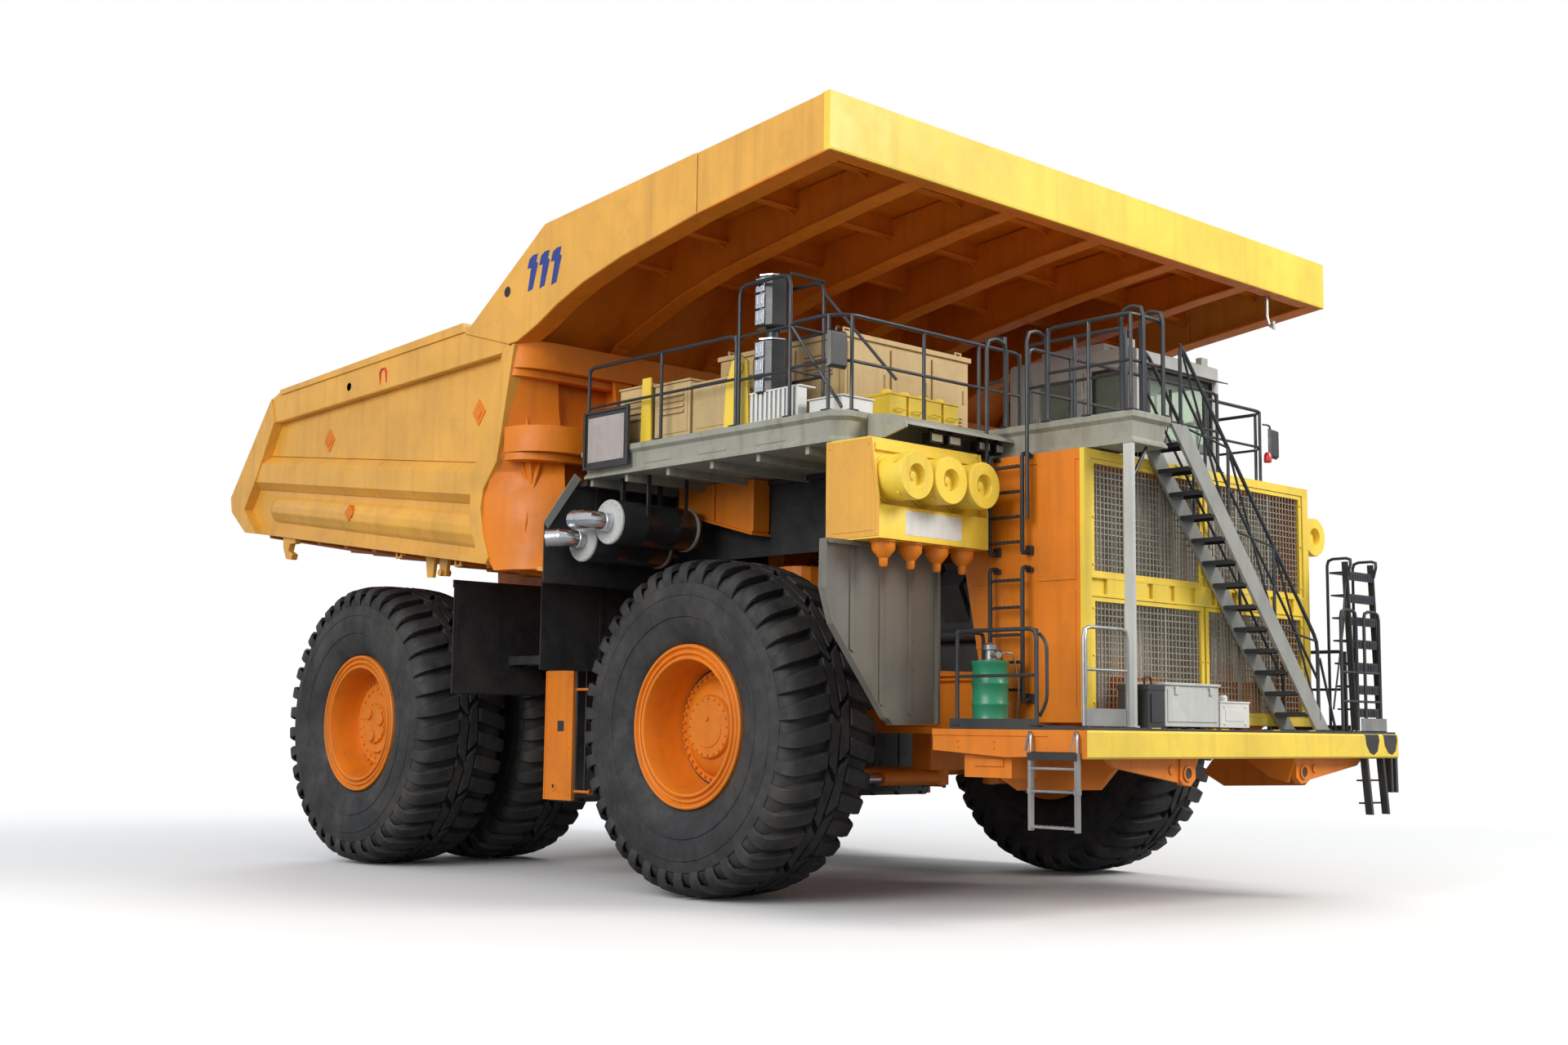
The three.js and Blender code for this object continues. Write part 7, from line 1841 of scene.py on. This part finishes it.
def side_tank(side, sign):
    tank = Shape()
    y0, y1, z0, z1 = 2.9, 3.56, 1.0, 3.1
    tank.loft(*([(x, y0 + e, z0 + 0.06), (x, y0 + 0.06, z0 + e), (x, y1 - 0.06, z0 + e),
                 (x, y1 - e, z0 + 0.06), (x, y1 - e, z1 - 0.06), (x, y1 - 0.06, z1 - e),
                 (x, y0 + 0.06, z1 - e), (x, y0 + e, z1 - 0.06)]
                for x, e in ((1.9, 0.02), (1.92, 0.0), (3.44, 0.0), (3.46, 0.02))))
    for x in (2.2, 2.75, 3.3):
        tank.tube([(x, y0, z0 + 0.1), (x, y0, z1 - 0.1)], 0.014, 6)
        tank.box(x - 0.035, x + 0.035, y0, y1, z0, z0 + 0.012)
    tank.lathe([(0, 0.1), (0.03, 0.1), (0.05, 0.08), (0.05, 0)], (3.1, 3.2, z1 - 0.055), (0, 0, 1), 24)
    tank.box(1.25, 2.0, 2.96, 3.50, 2.5, 3.0)
    for z in (2.6, 2.9):
        for y in (3.04, 3.42):
            tank.bolt((1.98, y, z), (1, 0, 0), 0.02, 0.0)
    tank.side_piece(sign, f"side_tank_{side}_body", "black_paint",
                    replaces=[f"side_tank_{side}"], bevel=0.012)

    plate = Shape()
    plate.box(3.452, 3.49, 2.93, 3.53, 1.02, 2.72)
    plate.box(3.44, 3.5, 2.92, 2.95, 1.02, 2.72)
    plate.box(3.44, 3.5, 3.51, 3.54, 1.02, 2.72)
    plate.lathe([(0, 0.0), (0, 0.07), (0.008, 0.07), (0.008, 0.0)], (3.49, 3.32, 1.2), (1, 0, 0), 24)
    for y in (2.99, 3.47):
        for z in (1.1, 1.7, 2.2, 2.65):
            plate.bolt((3.489, y, z), (1, 0, 0), 0.014, 0.008)
    for z in (1.14, 2.47):
        plate.tube([(3.44, 2.95, z), (3.44, 2.58, z)], 0.02, 8)
        plate.lathe([(0, 0.035), (0.03, 0.035), (0.03, 0)], (3.44, 2.57, z), (0, 1, 0), 12)
    plate.side_piece(sign, f"side_tank_{side}_plate", "deep_orange", bevel=0.006)
    mark = Shape()
    mark.box(3.488, 3.494, 3.12, 3.26, 1.92, 2.06)
    mark.lathe([(0, 0.0), (0, 0.03), (0.006, 0.03), (0.006, 0.0)], (3.492, 3.32, 1.2), (1, 0, 0), 16)
    mark.side_piece(sign, f"side_tank_{side}_port", "core_dark", bevel=0.004)


def mud_flap(side, sign):
    s = Shape()
    s.loft(*([(x, y, z) for y, z in ((4.532, 3.93), (4.532, 3.2), (4.53, 2.42), (4.552, 2.40),
                                     (4.556, 3.2), (4.556, 3.93))]
             for x in (2.86, 3.4, 3.9, 4.34)))
    for x in (2.93, 3.6, 4.27):
        s.box(x - 0.03, x + 0.03, 4.53, 4.566, 2.45, 3.9)
    s.box(2.85, 4.35, 4.528, 4.57, 3.84, 3.95)
    for k in range(8):
        s.bolt((2.95 + 0.185 * k, 4.529, 3.895), (0, -1, 0), 0.018, 0.0)
    for x in (3.0, 3.33):
        s.box(x + 0.01, x + 0.09, 3.5603, 4.53, 2.82, 2.94)
        s.box(x, x + 0.1, 3.5603, 3.58, 2.80, 2.96)
        s.box(x, x + 0.1, 4.51, 4.53, 2.80, 2.96)
    s.side_piece(sign, f"mud_flap_{side}_sheet", "flap_rubber", replaces=[f"mud_flap_{side}"], bevel=0.006)


def painted_shade_sheets(side, sign):
    """Black sheets of painted shade behind the silencers and behind the front wheel, and their brackets."""
    s = Shape()
    y = 1.925
    outline = [(0.92, 3.75), (4.74, 3.75), (4.74, 4.5), (4.36, 5.06), (0.92, 5.06)]
    s.prism(outline, "y", y, y + 0.02)
    s.box(0.95, 4.3, y - 0.03, y, 4.98, 5.05)
    for x in (1.2, 2.0, 2.8, 3.6, 4.2):
        s.box(x - 0.03, x + 0.03, 1.79, y, 4.99, 5.04)
        s.box(x - 0.03, x + 0.03, 1.76, 1.80, 4.99, 5.075)
        s.bolt((x, y - 0.03, 5.015), (0, -1, 0), 0.014, 0.008)
    back = 2.62
    s.prism([(2.3, 2.7), (4.26, 2.7), (4.26, 3.85), (2.3, 3.85)], "y", back, back + 0.02)
    for x in (2.6, 3.3):
        s.box(x - 0.04, x + 0.04, back + 0.015, 2.93, 2.8, 2.88)
        s.box(x - 0.03, x + 0.03, back - 0.012, back, 2.75, 3.8)
    s.box(2.32, 4.24, back - 0.012, back, 3.78, 3.84)
    s.box(2.62, 2.64, -1.0, y, 4.12, 5.05)
    s.box(2.64, 2.70, -0.98, y, 5.0, 5.05)
    s.side_piece(sign, f"dirt_sheets_{side}", "flap_rubber", bevel=0.004)
    horn = Shape()
    horn.prism([(1.5, 5.062), (1.5, 4.72), (1.15, 4.66), (0.1, 4.38), (0.06, 4.42), (0.06, 5.062)],
               "x", 2.66, 2.94)
    horn.prism([(1.54, 4.74), (1.15, 4.68), (0.04, 4.38), (0.04, 4.35), (1.16, 4.64),
                (1.54, 4.70)], "x", 2.645, 2.98)
    horn.prism([(0.8, 5.06), (0.8, 4.6), (0.76, 4.59), (0.76, 5.06)], "x", 2.93, 2.985)
    horn.side_piece(sign, f"deck_horn_{side}", "deep_orange", bevel=0.01)
    brace = Shape()
    brace.slab([(4.70, y - 0.02, 4.42), (4.77, y - 0.02, 4.5), (4.36, y - 0.09, 5.14),
                (4.26, y - 0.09, 5.08)], 0.012)
    brace.side_piece(sign, f"dirt_sheet_brace_{side}", "stair_grey", bevel=0.003)


mufflers()
# Black sheets of painted shade behind the silencers and the front wheel.
both_sides(painted_shade_sheets)
both_sides(side_tank)
both_sides(mud_flap)

# ---------------------------------------------------------------- engine, frame and axle

HOIST_FOOT = Vector((1.6, 4.15, 1.45))
HOIST_TOP = Vector((1.6, 3.85, 3.85))


def engine():
    s = Shape()
    z0, z1 = 2.481, 4.251
    s.prism([(-2.5, z0 + 0.15), (-2.3, z0), (0.6, z0), (0.8, z0 + 0.15), (0.8, z1 - 0.7), (-2.5, z1 - 0.7)],
            "x", -0.5, 0.5)
    for sign in (-1, 1):
        for k in range(6):
            y = -2.35 + 0.5 * k
            s.prism([(sign * 0.12, z1 - 0.72), (sign * 0.5, z1 - 0.9), (sign * 0.72, z1 - 0.45),
                     (sign * 0.5, z1 - 0.22), (sign * 0.3, z1 - 0.25)], "y", y, y + 0.42)
            s.prism([(sign * 0.34, z1 - 0.27), (sign * 0.54, z1 - 0.24), (sign * 0.6, z1 - 0.14),
                     (sign * 0.4, z1 - 0.12)], "y", y + 0.05, y + 0.37)
            s.tube(rounded([(sign * 0.1, y + 0.2, z1 - 0.35), (sign * 0.1, y + 0.2, z1 - 0.12),
                            (sign * 0.36, y + 0.2, z1 - 0.2)], 0.08), 0.045, 10)
        s.tube([(sign * 0.62, -2.4, z0 + 0.7), (sign * 0.62, 0.7, z0 + 0.7)], 0.07, 12)
        s.lathe([(0, 0.0), (0, 0.16), (0.05, 0.2), (0.3, 0.2), (0.35, 0.16), (0.35, 0.0)],
                (sign * 0.55, 0.3, z1 - 0.3), (0, 1, 0), 24)
    s.tube([(0, -2.35, z1 - 0.2), (0, 0.5, z1 - 0.2)], 0.11, 16)
    s.lathe([(0, 0.0), (0, 0.42), (0.06, 0.44), (0.1, 0.44), (0.1, 0)], (0, 0.8, z0 + 0.7), (0, 1, 0),
            32)
    s.lathe([(0, 0.0), (0, 0.25), (0.03, 0.25), (0.05, 0.2), (0.09, 0.2), (0.11, 0.25), (0.14, 0.25),
             (0.14, 0)], (0, -2.5, z0 + 0.45), (0, -1, 0), 28)
    for x, z, r in ((-0.35, z0 + 0.95, 0.14), (0.38, z0 + 0.9, 0.12)):
        s.lathe([(0, 0.0), (0, r), (0.1, r), (0.1, 0)], (x, -2.5, z), (0, -1, 0), 20)
    for sign in (-1, 1):
        for y in (-2.2, 0.4):
            s.box(sign * 0.45, sign * 0.76, y - 0.12, y + 0.12, z0 + 0.05, z0 + 0.16)
    s.piece("engine_block", "engine_grey", replaces=["engine"], bevel=0.008)


def frame_details():
    s = Shape()
    for sign in (-1, 1):
        face = sign * 1.25
        for y0, y1, z0, z1 in ((-4.2, -3.3, 2.2, 2.6), (-1.5, -0.7, 2.05, 2.6), (0.9, 2.4, 2.2, 3.2),
                               (5.6, 6.1, 3.2, 3.6), (7.4, 8.0, 3.1, 3.6)):
            s.box(face, face + sign * 0.022, y0, y1, z0, z1)
            for y in (y0 + 0.07, (y0 + y1) / 2, y1 - 0.07):
                for z in (z0 + 0.07, z1 - 0.07):
                    s.bolt((face + sign * 0.02, y, z), (sign, 0, 0), 0.024, 0.018)
        s.tube([(face + sign * 0.03, -2.6, 2.66), (face + sign * 0.03, 0.4, 2.66),
                (face + sign * 0.03, 2.6, 3.3)], 0.02, 8)
        s.tube([(face + sign * 0.05, -2.6, 2.6), (face + sign * 0.05, 0.4, 2.6),
                (face + sign * 0.05, 2.6, 3.24)], 0.014, 8)
        s.lathe([(0, 0.0), (0, 0.15), (0.02, 0.15), (0.03, 0.12), (0.03, 0)],
                (sign * 1.79, HOIST_FOOT.y, HOIST_FOOT.z), (sign, 0, 0), 24)
        s.ring_of(6, 0.1, (sign * 1.82, HOIST_FOOT.y, HOIST_FOOT.z), (sign, 0, 0),
                  lambda p, out: s.bolt(p, (sign, 0, 0), 0.014, 0.012))
    s.piece("frame_plates_and_lines", "deep_orange")

    # Motor housings, cover bolts and the struts' bands on the rear axle.
    a = Shape()
    y, z = 6.89, 2.0
    for sign in (-1, 1):
        a.ring_of(28, 0.86, (sign * 1.02, y, z), (sign, 0, 0),
                  lambda p, out: a.bolt(p, (sign, 0, 0), 0.02, 0.02))
        a.lathe([(0.94, 0.9), (0.94, 0.965), (0.99, 0.965), (0.99, 0.9)], (0, y, z), (sign, 0, 0), 64)
        for k in range(3):
            d = 2.66 + 0.08 * k
            a.lathe([(d, 0.18), (d, 0.20), (d + 0.03, 0.20), (d + 0.03, 0.18)],
                    (sign * 0.89, 7.84, 0), (0, 0, 1), 28)
    a.lathe([(0.0, 0.0), (0.0, 0.42), (0.03, 0.42), (0.05, 0.38), (0.05, 0.0)], (0, 7.81, 2.0),
            (0, 1, 0), 40)
    a.ring_of(16, 0.39, (0, 7.83, 2.0), (0, 1, 0), lambda p, out: a.bolt(p, (0, 1, 0), 0.018, 0.025))
    a.piece("rear_axle_details", "deep_orange")


def hoist(side, sign):
    x = sign * HOIST_FOOT.x
    foot = Vector((x, HOIST_FOOT.y, HOIST_FOOT.z))
    top = Vector((x, HOIST_TOP.y, HOIST_TOP.z))
    way = (top - foot).normalized()
    barrel = Shape()
    barrel.lathe([(0.17, 0.0), (0.17, 0.185), (0.19, 0.199), (0.38, 0.199), (0.39, 0.209),
                  (0.44, 0.209), (0.45, 0.199), (1.93, 0.199), (1.94, 0.21), (2.08, 0.21),
                  (2.1, 0.2), (2.1, 0.161), (0.26, 0.161), (0.26, 0.0)], foot, way, 40)
    barrel.lathe([(-0.15, 0.105), (-0.15, 0.18), (-0.14, 0.19), (0.14, 0.19), (0.15, 0.18),
                  (0.15, 0.105), (-0.15, 0.105)], foot, (1, 0, 0), 32)
    out = Vector((sign, 0, 0))
    barrel.tube([foot + way * 0.5 + out * 0.2, foot + way * 0.5 + out * 0.225,
                 foot + way * 1.7 + out * 0.225, foot + way * 1.7 + out * 0.2], 0.016, 8)
    barrel.piece(f"hoist_barrel_{side}_tube", "deep_orange", f"hoist_barrel_{side}",
                 [f"hoist_barrel_{side}"])
    stage = Shape()
    stage.lathe([(0.27, 0.0), (0.27, 0.159), (2.15, 0.159), (2.16, 0.15), (2.16, 0.121), (0.31, 0.121),
                 (0.31, 0.0)], foot, way, 40)
    stage.lathe([(2.105, 0.15), (2.105, 0.166), (2.14, 0.166), (2.14, 0.15)], foot, way, 40)
    stage.piece(f"hoist_stage_{side}_tube", "chrome", f"hoist_stage_{side}", [f"hoist_stage_{side}"])
    rod = Shape()
    rod.lathe([(0.32, 0.0), (0.32, 0.119), (2.33, 0.119), (2.35, 0.1), (2.35, 0.0)], foot, way, 40)
    rod.lathe([(-0.115, 0.0), (-0.115, 0.12), (-0.105, 0.13), (0.105, 0.13), (0.115, 0.12), (0.115, 0.0)],
              top, (1, 0, 0), 32)
    rod.piece(f"hoist_rod_{side}_bar", "chrome", f"hoist_rod_{side}", [f"hoist_rod_{side}"])


engine()
frame_details()
both_sides(hoist)

# ---------------------------------------------------------------- stage, light and camera

floor = Shape()
floor.box(-400, 400, -400, 400, -0.05, -0.001)
floor_mesh = bpy.data.meshes.new("floor")
floor.mesh.to_mesh(floor_mesh)
floor.mesh.free()
floor_piece = bpy.data.objects.new("floor", floor_mesh)
bpy.context.scene.collection.objects.link(floor_piece)
floor_mesh.materials.append(bpy.data.materials.new("floor_white"))
floor_white = floor_mesh.materials[0]
floor_white.use_nodes = True
floor_white.node_tree.nodes["Principled BSDF"].inputs["Roughness"].default_value = 0.9
floor_tree = floor_white.node_tree
floor_glow = floor_tree.nodes.new("ShaderNodeEmission")
floor_spot = floor_tree.nodes.new("ShaderNodeTexCoord")
floor_far = floor_tree.nodes.new("ShaderNodeVectorMath")
floor_far.operation = "LENGTH"
floor_fade = floor_tree.nodes.new("ShaderNodeMapRange")
floor_fade.interpolation_type = "SMOOTHSTEP"
floor_fade.inputs["From Min"].default_value = 11.0
floor_fade.inputs["From Max"].default_value = 24.0
floor_seen = floor_tree.nodes.new("ShaderNodeLightPath")
floor_share = floor_tree.nodes.new("ShaderNodeMath")
floor_share.operation = "MULTIPLY"
floor_mix = floor_tree.nodes.new("ShaderNodeMixShader")
floor_tone = floor_tree.nodes.new("ShaderNodeMix")
floor_tone.data_type = "RGBA"
floor_tone.inputs["A"].default_value = (0.26, 0.26, 0.27, 1)
floor_tone.inputs["B"].default_value = (0.8, 0.8, 0.8, 1)
for source, target in (
    (floor_seen.outputs["Is Camera Ray"], floor_tone.inputs["Factor"]),
    (floor_tone.outputs["Result"], floor_tree.nodes["Principled BSDF"].inputs["Base Color"]),
    (floor_spot.outputs["Object"], floor_far.inputs[0]),
    (floor_far.outputs["Value"], floor_fade.inputs["Value"]),
    (floor_fade.outputs["Result"], floor_share.inputs[0]),
    (floor_seen.outputs["Is Camera Ray"], floor_share.inputs[1]),
    (floor_share.outputs[0], floor_mix.inputs[0]),
    (floor_tree.nodes["Principled BSDF"].outputs[0], floor_mix.inputs[1]),
    (floor_glow.outputs[0], floor_mix.inputs[2]),
    (floor_mix.outputs[0], floor_tree.nodes["Material Output"].inputs["Surface"]),
):
    floor_tree.links.new(source, target)

world = bpy.context.scene.world or bpy.data.worlds.new("world")
bpy.context.scene.world = world
world.use_nodes = True
world_nodes = world.node_tree.nodes
world_nodes.clear()
soft = world_nodes.new("ShaderNodeBackground")
soft.inputs["Color"].default_value = (0.9, 0.95, 1.0, 1)
soft.inputs["Strength"].default_value = 0.72
white = world_nodes.new("ShaderNodeBackground")
white.inputs["Color"].default_value = (1, 1, 1, 1)
white.inputs["Strength"].default_value = 1.0
ray = world_nodes.new("ShaderNodeLightPath")
choose = world_nodes.new("ShaderNodeMixShader")
any_ray = world_nodes.new("ShaderNodeMath")
any_ray.operation = "MAXIMUM"
out = world_nodes.new("ShaderNodeOutputWorld")
links = world.node_tree.links
links.new(ray.outputs["Is Camera Ray"], any_ray.inputs[0])
links.new(ray.outputs["Is Transmission Ray"], any_ray.inputs[1])
links.new(any_ray.outputs[0], choose.inputs[0])
links.new(soft.outputs[0], choose.inputs[1])
links.new(white.outputs[0], choose.inputs[2])
links.new(choose.outputs[0], out.inputs["Surface"])


def lamp(name, place, target, size, power, tint=(1, 1, 1)):
    """A large square area light that looks at its target."""
    data = bpy.data.lights.new(name, "AREA")
    data.size = size
    data.energy = power
    data.color = tint
    piece = bpy.data.objects.new(name, data)
    piece.location = place
    way = Vector(target) - Vector(place)
    piece.rotation_euler = way.to_track_quat("-Z", "Y").to_euler()
    bpy.context.scene.collection.objects.link(piece)


lamp("key", (14, -34, 26), (0, -4, 4), 16, 12800, (1.0, 0.96, 0.9))
lamp("side", (-34, -8, 17), (0, 0, 3), 20, 7600, (1.0, 0.98, 0.96))
lamp("rear", (20, 34, 22), (0, 2, 4), 20, 5200)

CAMERA_PLACE = Vector((-17.57, -16.10, 1.98))  # Y counted from the front axle
CAMERA_YAW = math.radians(43.16)
CAMERA_PITCH = math.radians(6.64)
CAMERA_ROLL = math.radians(0.7)
camera_data = bpy.data.cameras.new("camera")
camera_data.sensor_width = 36.0
camera_data.lens = 40.8
camera_data.clip_end = 1000
camera = bpy.data.objects.new("camera", camera_data)
bpy.context.scene.collection.objects.link(camera)
camera.location = CAMERA_PLACE + Vector((0, AXLE_Y, 0))
look = Vector((math.sin(CAMERA_YAW) * math.cos(CAMERA_PITCH),
               math.cos(CAMERA_YAW) * math.cos(CAMERA_PITCH), math.sin(CAMERA_PITCH)))
turn = look.to_track_quat("-Z", "Y").to_matrix() @ Matrix.Rotation(CAMERA_ROLL, 3, "Z")
camera.rotation_euler = turn.to_euler()
bpy.context.scene.camera = camera

bpy.context.scene.view_settings.view_transform = "Standard"
